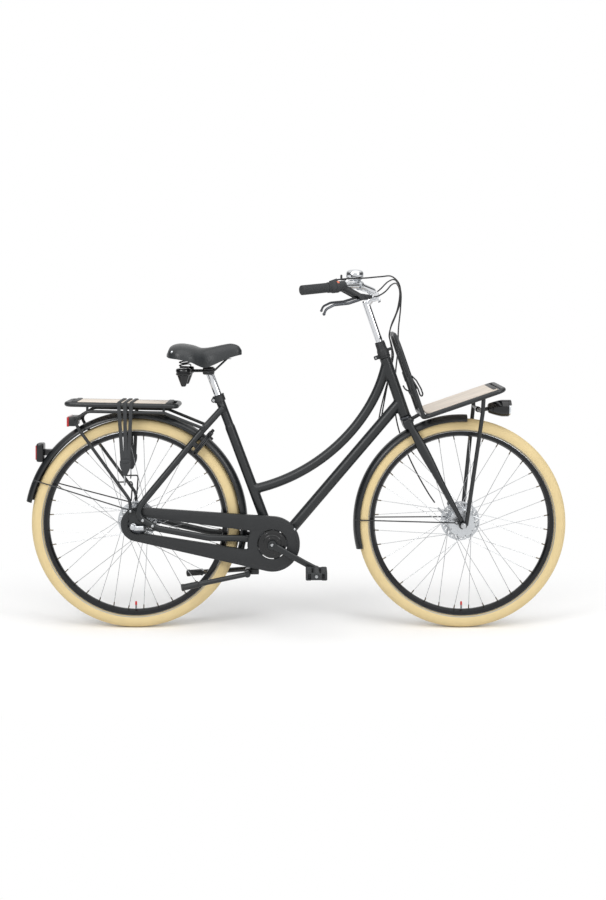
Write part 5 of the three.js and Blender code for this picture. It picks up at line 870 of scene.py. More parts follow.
dress_axle("rear", rear_axle, rear_shaft, dropout.thick, "frame_body")
dress_axle("front", front_axle, front_shaft, 13.3 * MM, "steering_body")


# Frame
def along_seat(length):
    return shell.centre + seat_axis * length


def bezier(points, steps):
    a, b, c, d = points
    line = []
    for t in (i / steps for i in range(steps + 1)):
        s = 1 - t
        line.append(s**3 * a + 3 * s * s * t * b + 3 * s * t * t * c + t**3 * d)
    return line


def mirrored(points, side):
    return [Vector((point.x, side * point.y, point.z)) for point in points]


def stay_tube(side):
    """A seat stay and chain stay in one bent oval tube, slimmer beside the wheel."""
    corners = mirrored(stay_route, side)
    path = filleted(corners, stay_bend)
    halves = []
    for point in path:
        nearest = min(range(len(corners)), key=lambda i: (corners[i] - point).length)
        halves.append(tuple(MM * half for half in stay_halves[nearest]))
    return oval_tube(path, halves, 24)


head_top = on_steering(0, 0, head_tube.top)
head_foot = on_steering(0, 0, head_tube.bottom)
down_head = on_steering(0, 0, head_tube.bottom + down_tube.rise)
down_foot = shell.centre + Vector((down_tube.ahead, 0, -down_tube.below))
top_head = on_steering(0, 0, head_tube.top - top_tube.drop)
top_line = bezier([top_head, *top_tube_leads, along_seat(top_tube.seat)], 40)


def dress_frame():
    neck = along_seat(seat_tube.length - seat_tube.neck_length)
    tubes = [
        rod([shell.centre, neck], seat_tube.radius, 48),
        rod([along_seat(seat_tube.length - 2 * seat_tube.neck_length), along_seat(seat_tube.length)],
            seat_tube.neck, 48),
        rod(top_line, top_tube.radius, 48), rod([down_head, down_foot], down_tube.radius, 48),
        rod([head_foot, head_top], head_tube.radius, 48),
        spun(drum(shell.radius, -shell.half, shell.half), shell.centre),
        stay_tube(-1), stay_tube(1),
    ]
    body = blended(joined(*tubes), 2.3 * MM, 9)
    body = hollowed(
        body,
        rod([along_seat(seat_tube.length - seat_tube.depth), along_seat(seat_tube.length + 10 * MM)],
            seat_tube.bore, 48),
        rod([on_steering(0, 0, head_tube.bottom - 6 * MM), on_steering(0, 0, head_tube.top + 6 * MM)],
            head_tube.bore, 48),
        spun(drum(shell.bore, -shell.half - 5 * MM, shell.half + 5 * MM), shell.centre),
    )
    finished(body, "frame_tubes", "frame_body", satin, "satin_frame", "frame", angle=60)


def dress_dropouts():
    plates, screws = [], []
    x, z = rear_axle.x, rear_axle.z
    half = rear_shaft.radius + gap
    for side in (-1, 1):
        outline = [
            (x - dropout.slot, z - half), (x + 0.4 * half, z - half), (x + half, z - 0.4 * half),
            (x + half, z + 0.4 * half), (x + 0.4 * half, z + half), (x - dropout.slot, z + half),
            (x - dropout.rim, z + dropout.rim),
            *arc(stay_eye.at.x, stay_eye.at.z, stay_eye.radius, pi, 0.2, 8),
            (dropout_bolts[0].x, dropout_bolts[0].z + dropout.rim),
            *arc(dropout_bolts[1].x, dropout_bolts[1].z, 4 * MM, pi / 2, -pi / 4, 5),
            (x + dropout.rim, z - dropout.rim), (x - dropout.rim, z - dropout.rim),
        ]
        low, high = sorted((side * dropout.inner, side * (dropout.inner + dropout.thick)))
        plates.append(plate([outline], low, high, 0.7 * MM))
        for bolt in dropout_bolts:
            outer = stay_route[3].y + 9 * MM
            head = drum(5 * MM, outer - 2 * MM, outer + 2.2 * MM, 1 * MM)
            screws.append(spun(head, bolt, (0, side, 0), 24))
            screws.append(hexagon(bolt, 2.4 * MM, outer + 2 * MM, outer + 2.7 * MM, (0, side, 0)))
    finished(joined(*plates), "dropout_plates", "frame_body", satin, "satin_frame")
    finished(joined(*screws), "dropout_bolts", "frame_body", zinc, "steel")


def dress_stand_plate():
    back, front, half = stand_plate.back, stand_plate.front, stand_plate.half
    top, across, pivot = stand_plate.top, stay_route[6].y, stand.pivot
    bolt_at = (back + stand_plate.bolt, 0, top)
    body = joined(
        block((back, -across, top - stand_plate.bridge), (front, across, top), 1.5 * MM),
        block((back, -half, stand_plate.bottom), (front, half, top), 2 * MM),
        spun(washer(stand.pin + gap, stand.pin + stand_plate.thick, -half, half, 1 * MM), pivot, steps=48),
        block((pivot.x + stand.pin + gap, -half, pivot.z - stand.pin),
              (front, half, stand_plate.bottom + stand_plate.thick), 1 * MM),
    )
    finished(body, "stand_plate", "frame_body", satin, "satin_frame")
    ring = spun(washer(2 * MM, 10 * MM, 0, 1.2 * MM), bolt_at, UP, 32)
    bolt = joined(hexagon(bolt_at, 8 * MM, 0, 5 * MM, UP), ring)
    finished(bolt, "stand_plate_bolt", "frame_body", zinc, "steel")


dress_frame()
dress_dropouts()
dress_stand_plate()

# Mudguards
guard = sizes(thick=1.6, depth=22, stay=2.2, eye=6, eye_thick=2, roll=1.3, boss=4)
rear_guard = SimpleNamespace(radius=tyre.radius + 26 * MM, half=29 * MM, start=-16, end=168.6, stay=156.6)
front_guard = SimpleNamespace(radius=tyre.radius + 14 * MM, half=28 * MM, start=87, end=194, stay=178)
guard_step = 2.5
rear_stay_face = dropout.inner + dropout.thick
front_stay_face = 55 * MM
front_eye = front_axle + Vector((-0.023, 0, 0.009))


def guard_arc(half, base, depth, steps=18):
    angles = [pi * i / steps for i in range(steps + 1)]
    return [(-half * cos(angle), base + depth * sin(angle)) for angle in angles]


def guard_angles(shape, steps):
    return [radians(shape.start + (shape.end - shape.start) * i / steps) for i in range(steps + 1)]


def guard_band(shape, axle):
    """A thin crowned strip bent round the tyre."""
    base = shape.radius - guard.depth
    inner = guard_arc(shape.half - guard.thick, base, guard.depth - guard.thick)
    section = guard_arc(shape.half, base, guard.depth) + inner[::-1]
    rings = []
    for angle in guard_angles(shape, ceil((shape.end - shape.start) / guard_step)):
        rings.append([axle + heading(angle) * radius + Vector((0, across, 0)) for across, radius in section])
    return skin(rings)


def guard_edges(shape, axle):
    """The rolled edges of a mudguard."""
    base, across = shape.radius - guard.depth, shape.half - guard.roll - 0.6 * MM
    lines = []
    for side in (-1, 1):
        lines.append([axle + Vector((base * cos(angle), side * across, base * sin(angle)))
                      for angle in guard_angles(shape, 72)])
    return rods(lines, guard.roll, 8)


def guard_stays(shape, axle, eye, face):
    """Two stay rods from bosses on the guard's sides to flat eyes at the axle."""
    angle, low = radians(shape.stay), face + gap
    foot = axle + heading(angle) * (shape.radius - guard.depth / 2)
    boss = drum(guard.boss, shape.half - 4 * MM, shape.half + 1.6 * MM, 0.6 * MM)
    ring = drum(guard.eye, low, low + guard.eye_thick, 0.4 * MM)
    parts = []
    for side in (-1, 1):
        start = Vector((foot.x, side * (shape.half - guard.thick / 2), foot.z))
        end = Vector((eye.x, side * (face + 2 * gap + guard.stay), eye.z))
        parts.append(rod([start, end], guard.stay, 12))
        parts.append(spun(boss, foot, (0, side, 0), 24))
        parts.append(spun(ring, (eye.x, 0, eye.z), (0, side, 0), 32))
    return joined(*parts)


# A screw head's outline, as shares of its radius and height
screw = sizes(radius=4, height=2.4)
screw_shares = [(0, 0), (1, 0), (1, 0.35), (0.86, 0.75), (0.6, 1), (0.5, 1), (0.44, 0.5), (0, 0.5)]


def screw_head(centre, low, side):
    """A domed screw head with a socket, its face turned to one side of the bicycle."""
    profile = [(screw.radius * across, low + screw.height * along) for across, along in screw_shares]
    return spun(profile, (centre.x, 0, centre.z), (0, side, 0), 24)


def dress_guard(end, shape, axle, eye, face, body, *cutters):
    band = hollowed(guard_band(shape, axle), *cutters)
    whole = joined(band, guard_edges(shape, axle), guard_stays(shape, axle, eye, face))
    finished(whole, f"{end}_mudguard_strip", body, guard_paint, "satin_frame", f"{end}_mudguard", angle=40)


def stay_room(side, extra):
    return use(stay_tube(side), "DISPLACE", strength=extra, mid_level=0)


dress_guard("rear", rear_guard, rear_axle, stay_eye.at, rear_stay_face, "frame_body",
            stay_room(-1, 0.9 * MM), stay_room(1, 0.9 * MM))
dress_guard("front", front_guard, front_axle, front_eye, front_stay_face, "steering_body")
front_screws = [screw_head(front_eye, front_stay_face + gap + guard.eye_thick, side) for side in (-1, 1)]
finished(joined(*front_screws), "front_stay_screws", "steering_body", zinc, "steel")


# Chain drive
drive_span = hypot(shell.centre.x - rear_axle.x, shell.centre.z - rear_axle.z)


def pitch_radius(teeth, pitch):
    return pitch / (2 * sin(pi / teeth))


def loop_length(pitch):
    front, rear = pitch_radius(ring_teeth, pitch), pitch_radius(sprocket_teeth, pitch)
    spread = asin((front - rear) / drive_span)
    wraps = (pi + 2 * spread) * front + (pi - 2 * spread) * rear
    return 2 * drive_span * cos(spread) + wraps


link_count = 2 * round(loop_length(chain.pitch) / chain.pitch / 2)
fitted = chain.pitch
for _ in range(12):
    fitted = loop_length(fitted) / link_count
front_pitch = pitch_radius(ring_teeth, fitted)
rear_pitch = pitch_radius(sprocket_teeth, fitted)
run_angle = atan2(shell.centre.z - rear_axle.z, shell.centre.x - rear_axle.x)
run_spread = asin((front_pitch - rear_pitch) / drive_span)


def chain_place(length):
    """A place on the chain's line, measured along it from the front of the chainring."""
    front_half = (pi / 2 + run_spread) * front_pitch
    rear_half = (pi / 2 - run_spread) * rear_pitch
    straight = drive_span * cos(run_spread)
    total = 2 * (front_half + straight + rear_half)
    way = length % total
    sign = 1
    if way > total / 2:
        way, sign = total - way, -1
    up = pi / 2 + run_spread

    def polar(centre, radius, angle):
        turn = run_angle + sign * angle
        return Vector((centre.x + radius * cos(turn), chain.line, centre.z + radius * sin(turn)))

    if way <= front_half:
        return polar(shell.centre, front_pitch, way / front_pitch)
    past = way - front_half - straight
    if past >= 0:
        return polar(rear_axle, rear_pitch, up + past / rear_pitch)
    share = (way - front_half) / straight
    return polar(shell.centre, front_pitch, up).lerp(polar(rear_axle, rear_pitch, up), share)


def link_matrix(i):
    at, ahead = chain_place(i * fitted), chain_place((i + 1) * fitted)
    way = ahead - at
    return Matrix.Translation(at) @ Matrix.Rotation(-atan2(way.z, way.x), 4, "Y")


def link_plates(inner):
    """A pair of waisted side plates from one pin to the next."""
    shape = arc(0, 0, chain.plate, radians(60), radians(300), 6)
    shape += arc(fitted, 0, chain.plate, radians(-120), radians(120), 6)
    outer = inner + chain.thick - 0.2 * MM
    return joined(plate([shape], inner, outer), plate([shape], -outer, -inner))


def dress_chain():
    inner_link = [link_plates(chain.inner)]
    outer_link = [link_plates(chain.inner + chain.thick)]
    for x in (0, fitted):
        inner_link.append(spun(drum(chain.roller, -chain.inner, chain.inner), (x, 0, 0), steps=10))
        reach = chain.inner + 2 * chain.thick + 0.2 * MM
        outer_link.append(spun(drum(chain.pin, -reach, reach), (x, 0, 0), steps=8))
    inner_links = copies(joined(*inner_link), [link_matrix(i) for i in range(0, link_count, 2)])
    outer_links = copies(joined(*outer_link), [link_matrix(i) for i in range(1, link_count, 2)])
    finished(joined(inner_links, outer_links), "roller_chain", "frame_body", dark_steel, "steel", "chain")


# One tooth's outline: share of the way to the next one, and millimetres over the pitch circle
tooth_shape = [
    (-0.44, 2.4), (-0.36, 2), (-0.27, 0.4), (-0.2, -1.6), (-0.1, -2.8), (0, -3.1), (0.1, -2.8), (0.2, -1.6),
    (0.27, 0.4), (0.36, 2), (0.44, 2.4),
]
ring_arms = 5
ring_arm = sizes(drop=12, hub=26, half=7, bore=10.2)
sprocket_sleeve_profile = pairs([
    (6.2, -48), (16, -48), (16, -42), (13, -40), (13, -30.2), (16, -28.2), (16, -27.2), (6.2, -27.2),
])
cup = SimpleNamespace(radius=16.6 * MM, notch=15.2 * MM, bore=8.6 * MM, thick=5 * MM, steps=48)
# Along a crank: place as a share of its length, inner face, thickness and half height in millimetres
crank_stations = [
    (0.02, 62, 21, 14.5), (0.1, 64, 18.5, 12.6), (0.22, 66.5, 15, 11.2), (0.45, 69, 13.6, 10.4),
    (0.75, 71.6, 13, 10), (0.92, 72, 13, 10.8), (1.0, 72, 13, 11.4),
]
crank_boss_profile = pairs([
    (9.9, 61.5), (16, 61.5), (17, 62.5), (17, 80.5), (15.6, 82.7), (13, 83.5), (8.8, 83.5), (8, 82.7),
    (8, 79), (9.9, 74.8),
])
spindle_profile = pairs([(0, 75), (5, 75), (5, 85), (8, 85), (8, 87), (5, 88.4), (5, 186), (0, 186)])
cover_profile = pairs([
    (10.2, 49.3), (18.7, 49.3), (47, 56.2), (48, 57), (48, 57.9), (47.2, 58.2), (43, 58.4), (41.6, 59.1),
    (40, 58.7), (32, 59.8), (30.8, 60.8), (29.4, 60.5), (23, 62.2), (21, 63.4), (16, 63.4), (16, 59.2),
    (10.2, 59.2),
])
pedal_studs = 8
stud = sizes(pitch=11, width=6.5, inset=2)
pedal_light = sizes(half=26, rise=6, sunk=1.5, proud=0.2)
shift_cap_profile = pairs([
    (5.3, 75.6), (10.4, 75.6), (11, 76.6), (11, 81.6), (9.6, 82.6), (9.6, 89.6), (8.4, 92.6), (6, 93.6),
    (0, 93.6), (0, 76.2), (5.3, 76.2),
])


def tooth_outline(teeth, radius, phase):
    """Round gullets for the rollers between rounded teeth; one gullet lies at the phase."""
    points = []
    for i in range(teeth):
        for share, rise in tooth_shape:
            angle = phase + (i + share) * TURN / teeth
            points.append(((radius + rise * MM) * cos(angle), (radius + rise * MM) * sin(angle)))
    return points


def dress_chainring():
    root, hub, turn = front_pitch - ring_arm.drop, ring_arm.hub, TURN / ring_arms
    near, far = asin(ring_arm.half / hub) + 0.1, asin(ring_arm.half / root) + 0.08
    holes = [circle(0, 0, ring_arm.bore, 32)]
    for i in range(ring_arms):
        start, end = i * turn, (i + 1) * turn
        outside = arc(0, 0, root, start + far, end - far, 14)
        holes.append(outside + arc(0, 0, hub, end - near, start + near, 6))
    body = plate([tooth_outline(ring_teeth, front_pitch, run_angle), *holes], chain.line - 1 * MM,
                 chain.line + 1 * MM, 0.2 * MM)
    placed(body, Matrix.Translation(shell.centre))
    finished(body, "toothed_chainring", "crankset", dark_steel, "steel", "chainring")


def dress_sprocket():
    phase = run_angle + pi + (pi / sprocket_teeth if link_count // 2 % 2 else 0)
    outlines = [tooth_outline(sprocket_teeth, rear_pitch, phase), circle(0, 0, 6.2 * MM, 32)]
    wheel = plate(outlines, chain.line - 1.1 * MM, chain.line + 1.1 * MM, 0.2 * MM)
    at_axle(rear_axle, joined(wheel, spun(sprocket_sleeve_profile, steps=56)))
    finished(wheel, "toothed_sprocket", "rear_sprocket_body", dark_steel, "steel", "rear_sprocket")


def dress_bracket():
    """The bottom bracket's cups with their notched rims, and the crank axle with its bolts."""
    half = shell.half + 1 * MM
    notched = []
    for i in range(cup.steps):
        radius, angle = cup.notch if i % 4 >= 2 else cup.radius, TURN * i / cup.steps
        notched.append((radius * cos(angle), radius * sin(angle)))
    cups = [plate([notched, circle(0, 0, cup.bore, 40)], side * (half - cup.thick), side * half, 0.2 * MM)
            for side in (-1, 1)]
    core = spun(washer(cup.bore, cup.radius, cup.thick - half, half - cup.thick), steps=48)
    cartridge = placed(joined(core, *cups), Matrix.Translation(shell.centre))
    finished(cartridge, "bracket_cartridge", "frame_body", dark_steel, "steel", "bottom_bracket")
    end, head = 75 * MM, 78.4 * MM
    axle = [spun(drum(*mm(8.2, -44, 44, 0.4)), shell.centre, steps=40)]
    for side in (-1, 1):
        axle.append(spun(drum(9.2 * MM, 43 * MM, end, 0.5 * MM), shell.centre, (0, side, 0), 4))
        axle.append(hexagon(shell.centre, 6.8 * MM, end, head, (0, side, 0)))
    finished(joined(*axle), "crank_axle_and_bolts", "crankset", zinc, "steel", "crank_axle")


def dress_crank(side):
    turn = CRANK if side < 0 else CRANK + pi
    way = heading(turn)
    name = "right_crank" if side < 0 else "left_crank"
    path, halves = [], []
    for share, inner, thick, half in crank_stations:
        across = Vector((0, side * MM * (inner + thick / 2), 0))
        path.append(shell.centre + way * (crank.length * share) + across)
        halves.append((MM * thick / 2, MM * half))
    arm = oval_tube(path, halves, 28, power=0.62)
    boss = spun(crank_boss_profile, shell.centre, (0, side, 0), 56)
    end = shell.centre + way * crank.length
    low, high = crank.end_inner, crank.end_inner + crank.end_thick
    eye = spun(washer(pedal.spindle, crank.end_half, low, high, 1.6 * MM), end, (0, side, 0), 48)
    spindle = spun(spindle_profile, end, (0, side, 0), 32)
    finished(joined(arm, boss, eye), f"{name}_arm", "crankset", satin, "satin_frame", name, angle=40)
    finished(spindle, f"{name}_spindle", "crankset", zinc, "steel")
    return end


def dress_cover():
    """The glossy round cover between the chain case's mouth and the right crank."""
    cone = spun(cover_profile, shell.centre, (0, -1, 0), 96)
    finished(cone, "crank_cover", "crankset", glossy, "satin_frame", angle=32)


def dress_pedal(name, end, side):
    centre = end + Vector((0, side * (crank.end_inner + crank.end_thick + pedal.inset + pedal.width / 2), 0))
    x, y, z = pedal.length / 2, pedal.width / 2, pedal.height / 2
    parts, lights = [], []
    for front in (-1, 1):
        inner, outer = front * (x - pedal.tread), front * x
        parts.append(block((inner, -y, -z + 2.4 * MM), (outer, y, z - 2.4 * MM), 1.6 * MM))
        for i in range(pedal_studs):
            low = -y + 4 * MM + i * stud.pitch
            for up in (-1, 1):
                parts.append(block((inner + front * stud.inset, low, up * (z - 4 * MM)),
                                   (outer - front * stud.inset, low + stud.width, up * z), 1 * MM, 1))
        lights.append(block((outer - front * pedal_light.sunk, -pedal_light.half, -pedal_light.rise),
                            (outer + front * pedal_light.proud, pedal_light.half, pedal_light.rise),
                            0.6 * MM))
    cheek_x, cheek_y = x - pedal.cheek, y - pedal.cheek
    for out in (-1, 1):
        parts.append(block((-cheek_x, out * cheek_y, -pedal.barrel),
                           (cheek_x, out * y, pedal.barrel), 1.6 * MM))
    parts.append(spun(washer(pedal.spindle + gap, pedal.barrel, -y, y, 1.5 * MM), steps=40))
    body = f"{name}_body"
    finished(at_axle(centre, joined(*parts)), f"{name}_blocks", body, soft_rubber, "rubber", name)
    finished(at_axle(centre, joined(*lights)), f"{name}_reflectors", body, orange_lens, "plastic")


case_rear = Vector((rear_axle.x + chain_case.ahead, 0, rear_axle.z + chain_case.above))


def case_belt(inset=0.0):
    return belt((shell.centre.x, shell.centre.z, chain_case.front - inset),
                (case_rear.x, case_rear.z, chain_case.rear - inset))


def case_slot(extra):
    """The long opening between the chain's two runs, with rounded corners."""
    front = shell.centre
    along = atan2(front.z - case_rear.z, front.x - case_rear.x)
    reach, flare = chain_case.slot - extra, extra * sqrt(2)
    upper = asin((chain_case.upper + flare) / reach)
    lower = asin((chain_case.lower + flare) / reach)
    points = arc(front.x, front.z, reach, along + pi + lower, along + pi - upper, 4)
    points += arc(case_rear.x, case_rear.z, chain_case.open + extra, along + pi / 3,
                  along + TURN - pi / 3, 30)
    path = filleted([Vector((x, 0, z)) for x, z in points], 10 * MM, cyclic=True)
    return [(point.x, point.z) for point in path]


def dress_chain_case():
    face, back, wall = -chain_case.face, -chain_case.back, chain_case.wall
    centre = shell.centre
    body = softened(plate([case_belt(), case_slot(0)], face, back), 3 * MM, 3)
    body = hollowed(
        body, plate([case_belt(wall), case_slot(wall)], face + wall, back + 6 * MM),
        spun(drum(chain_case.back_room, face + wall, back + 6 * MM), rear_axle, steps=64),
        spun(drum(chain_case.mouth, face - 6 * MM, face + 6 * MM), centre, steps=96), solver="FAST",
    )
    rims = []
    for outline, out, radius, sides in (
            (case_slot(1.4 * MM), 0.3 * MM, 1.5 * MM, 12),
            (case_belt(chain_case.border), 0.35 * MM, 0.8 * MM, 8),
            (circle(centre.x, centre.z, chain_case.mouth_rim, 96), 0.2 * MM, 1.5 * MM, 12)):
        path = [Vector((x, face + out, z)) for x, z in outline]
        rims.append(rod(path, radius, sides, cyclic=True))
    finished(joined(body, *rims), "chain_case_shell", "frame_body", moulded, "plastic", "chain_case",
             angle=30)
    screws = [screw_head(place, chain_case.face, -1) for place in places([(-533, 0, 408), (-4, 0, 348)])]
    finished(joined(*screws), "chain_case_screws", "frame_body", zinc, "steel")


def dress_shift_unit():
    cap = spun(shift_cap_profile, rear_axle, (0, -1, 0), 48)
    arm = block(rear_axle + spot(2, -89.6, -12), rear_axle + spot(38, -78.6, 4), 4.5 * MM, 4)
    pivot = spun(drum(*mm(5.6, 78, 91.2, 1)), rear_axle + spot(29, 0, -4), (0, -1, 0), 32)
    finished(joined(cap, arm, pivot), "gear_changer", "frame_body", bare_alloy, "alloy", "shift_unit",
             angle=40)
    guide = rod([rear_axle + place for place in places([(36, -84, -5), (60, -80, -12), (84, -76, -13)])],
                2.4 * MM, 12)
    finished(guide, "gear_changer_link", "frame_body", moulded, "plastic")


dress_chain()
dress_chainring()
dress_sprocket()
dress_bracket()
dress_pedal("right_pedal", dress_crank(-1), -1)
dress_pedal("left_pedal", dress_crank(1), 1)
dress_cover()
dress_chain_case()
dress_shift_unit()

# Rear carrier
carrier = sizes(
    tube=8.5, half=66, rear=-794, front=-400, rear_z=777, front_z=769, corner=22, cross=6.8, drop=23,
    rail_rear=-712, rail_front=-451, rail=5.5, post=4.4, bend=40,
)
deck_tilt = atan2(carrier.front_z - carrier.rear_z, carrier.front - carrier.rear)
# Where its cross bars lie along the bicycle, and the bends of its legs as X and Z
carrier_bars = (-0.7565, -0.4375)
leg_bends = [(-0.757, 0.722), (-0.740, 0.690)]
leg_knee = (-0.566, 0.452)
carrier_foot = rear_stay_face + 4 * gap + 2 * guard.stay + carrier.rail
arm_over = 14 * MM
catch_share = 0.7
catch_route = [(-606, 512), (-560, 513), (-557, 505), (-561, 448)]
wood = finish("pale_wood", (222, 210, 196), 0.5, grain=420, bump=0.08, tint=0.14, stretch=(0.12, 2.6, 1.2))


def on_carrier(x, y, rise=0.0):
    """A place over the carrier's sloping plane, in metres."""
    return Vector((x, y, carrier.rear_z + (x - carrier.rear) * tan(deck_tilt) + rise))


def carrier_side(side):
    """A leg, an arm with its boss, two posts, the strap's catch and the foot's boss."""
    y, foot, drop, way = side * carrier.half, side * carrier_foot, -carrier.drop, (0, side, 0)
    corner = on_carrier(carrier.rail_front, y, drop)
    leg = [corner, on_carrier(carrier.rail_rear, y, drop), *[Vector((x, y, z)) for x, z in leg_bends],
           Vector((leg_knee[0], foot, leg_knee[1])), Vector((stay_eye.at.x, foot, stay_eye.at.z))]
    arm_end = spot(-331, side * 58.8, 699)
    arm_tip = arm_end + (arm_end - corner).normalized() * arm_over
    boss_low, boss_high = carrier_foot - 5 * MM, carrier_foot + 5 * MM
    catch = [Vector((x * MM, y + (foot - y) * catch_share, z * MM)) for x, z in catch_route]
    posts = [rod([on_carrier(x, y, drop), on_carrier(x, y)], carrier.post, 16)
             for x in (carrier.rail_rear, carrier.rail_front)]
    return [
        rod(filleted(leg, carrier.bend), carrier.rail, 20), rod([corner, arm_tip], carrier.rail, 20),
        spun(drum(*mm(7.5, 42, 66, 1.2)), (arm_tip.x, 0, arm_tip.z), way, 32), *posts,
        rod(filleted(catch, 4 * MM), 2.5 * MM, 12),
        spun(drum(7.4 * MM, boss_low, boss_high, 1.4 * MM), (stay_eye.at.x, 0, stay_eye.at.z), way, 32),
    ]


def dress_rear_carrier():
    tube, half = carrier.tube, carrier.half
    rear, front = carrier.rear + tube, carrier.front - tube
    corners = [on_carrier(x, y) for x, y in ((rear, -half), (front, -half), (front, half), (rear, half))]
    parts = [rod(filleted(corners, carrier.corner, cyclic=True), tube, 28, cyclic=True)]
    for x in carrier_bars:
        parts.append(rod([on_carrier(x, -half), on_carrier(x, half)], carrier.cross, 20))
    parts += carrier_side(-1) + carrier_side(1)
    parts.append(rod(places([(-757, -66, 714), (-757, 66, 714)]), 4 * MM, 16))
    parts.append(block(spot(-781, -41, 698.5), spot(-757, 41, 729.5), 2 * MM))
    finished(joined(*parts), "rear_carrier_frame", "frame_body", satin, "satin_frame", "rear_carrier",
             angle=40)
    lens = block(spot(-787.5, -42, 697), spot(-779.5, 42, 731), 2.4 * MM, 3)
    finished(lens, "rear_reflector", "frame_body", red_lens, "plastic")
    screws = [screw_head(stay_eye.at, carrier_foot + 5 * MM, side) for side in (-1, 1)]
    finished(joined(*screws), "carrier_screws", "frame_body", zinc, "steel")
    tilt = Matrix.Translation(on_carrier(-0.748, 0, 5.5 * MM)) @ Matrix.Rotation(-deck_tilt, 4, "Y")
    width, cap_half = half - tube - gap, half - 4 * MM
    board = placed(block((0, -width, -3.5 * MM), (0.302, width, 3.5 * MM), 1.2 * MM, 3), tilt)
    finished(board, "rear_deck_board", "frame_body", wood, "wood", "rear_deck")
    caps = [block((x - 9 * MM, -cap_half, -5 * MM), (x + 9 * MM, cap_half, 6 * MM), 3 * MM, 3)
            for x in (-10 * MM, 0.312)]
    finished(placed(joined(*caps), tilt), "rear_deck_caps", "frame_body", moulded, "plastic")


strap = sizes(width=12.5, thick=3, lift=11.1, step=21, x=-582, foot_x=-580, foot_z=572, spread=9.5, tuck=12)


# The buckle, its raised lip and the hook under it, from the strap's foot
buckle_shape = pairs([
    (-19, 14), (-19, 0), (-17, -9), (-12, -22), (-6.5, -34), (-3, -38), (3, -38), (6.5, -34), (12, -22),
    (17, -9), (19, 0), (19, 14), (13, 17), (0, 18), (-13, 17),
])
lip_shape = pairs([(-19, 13), (-12, 7), (0, 4.5), (12, 7), (19, 13), (12, 16.5), (0, 18), (-12, 16.5)])
hook_shape = pairs([(1, 536), (2, 512), (-1, 504), (-6, 502), (-8, 507)])


def strap_ring(x, y, z, angle):
    """A flat oval section of a strap, facing outwards at an angle from the left."""
    out = Vector((0, cos(angle), sin(angle)))
    return ring_points(Vector((x, y, z)), Vector((1, 0, 0)), out, strap.width / 2, strap.thick / 2, 16, 0.5)


def strap_band(i):
    """One strap from its right end over both tubes of the carrier to its left end."""
    edge, foot_z = carrier.half + strap.lift, strap.foot_z - strap.tuck
    top_x, foot_x = strap.x + i * strap.step, strap.foot_x + i * strap.spread
    rail_z = on_carrier(top_x, 0).z
    rings = [strap_ring(foot_x, -edge, foot_z, pi)]
    for side, start in ((-1, pi), (1, pi / 2)):
        for k in range(7):
            angle = start - k * pi / 12
            y = side * carrier.half + strap.lift * cos(angle)
            rings.append(strap_ring(top_x, y, rail_z + strap.lift * sin(angle), angle))
    return skin([*rings, strap_ring(foot_x, edge, foot_z, 0)])


def dress_straps():
    edge = carrier.half + strap.lift
    outline, lip = ([(strap.foot_x + x, strap.foot_z + z) for x, z in shape]
                    for shape in (buckle_shape, lip_shape))
    bands = [strap_band(i) for i in (-1, 0, 1)]
    buckles, hooks = [], []
    for side in (-1, 1):
        buckles.append(plate([outline], side * (edge - 3.5 * MM), side * (edge + 4.5 * MM), 2 * MM))
        buckles.append(plate([lip], side * (edge + 4 * MM), side * (edge + 6 * MM), 0.9 * MM))
        hook = [Vector((strap.foot_x - strap.thick, side * (edge + out), z)) for out, z in hook_shape]
        hooks.append(rod(filleted(hook, 5 * MM), 2.6 * MM, 14))
    finished(joined(*bands, *buckles), "luggage_straps", "frame_body", soft_rubber, "rubber",
             "carrier_straps", angle=40)
    finished(joined(*hooks), "strap_hooks", "frame_body", zinc, "steel")


rear_lamp_angle = radians(141)
rear_lamp = sizes(height=65, depth=28, width=44, standoff=17, foot=15, foot_height=22)
lens_strip = sizes(apart=11, half=7, rise=25, depth=8)
wheel_inside = 0.3


def dress_rear_lamp():
    at = rear_axle + rear_guard.radius * heading(rear_lamp_angle)
    back, front = at.x - rear_lamp.standoff - rear_lamp.depth, at.x - rear_lamp.standoff
    half, rise = rear_lamp.width / 2, rear_lamp.height / 2
    body = block((back + 3 * MM, -half, at.z - rise), (front, half, at.z + rise), 7 * MM, 5)
    foot = block((front - 8 * MM, -rear_lamp.foot / 2, at.z - rear_lamp.foot_height / 2),
                 (at.x + 17 * MM, rear_lamp.foot / 2, at.z + rear_lamp.foot_height / 2), 1.5 * MM)
    base = rear_guard.radius - guard.depth
    room = [(radius + 0.6 * MM, across) for across, radius in guard_arc(rear_guard.half, base, guard.depth)]
    guard_room = spun([(wheel_inside, -rear_guard.half), *room, (wheel_inside, rear_guard.half)], rear_axle,
                      steps=96)
    foot = hollowed(foot, guard_room)
    finished(joined(body, foot), "rear_lamp_housing", "frame_body", glossy, "lamp", "rear_lamp")
    strips = []
    for y in (-lens_strip.apart, lens_strip.apart):
        low = (back, y - lens_strip.half, at.z - lens_strip.rise)
        high = (back + lens_strip.depth, y + lens_strip.half, at.z + lens_strip.rise)
        strips.append(block(low, high, 2.5 * MM, 3))
    finished(joined(*strips), "rear_lamp_lenses", "frame_body", red_lens, "plastic")


# Stand
pad_profile = pairs([
    (0, 0), (9, 0), (12, 3), (12, 6), (10.8, 8), (10.8, 50), (12, 52), (12, 59), (11, 60), (0, 60),
])


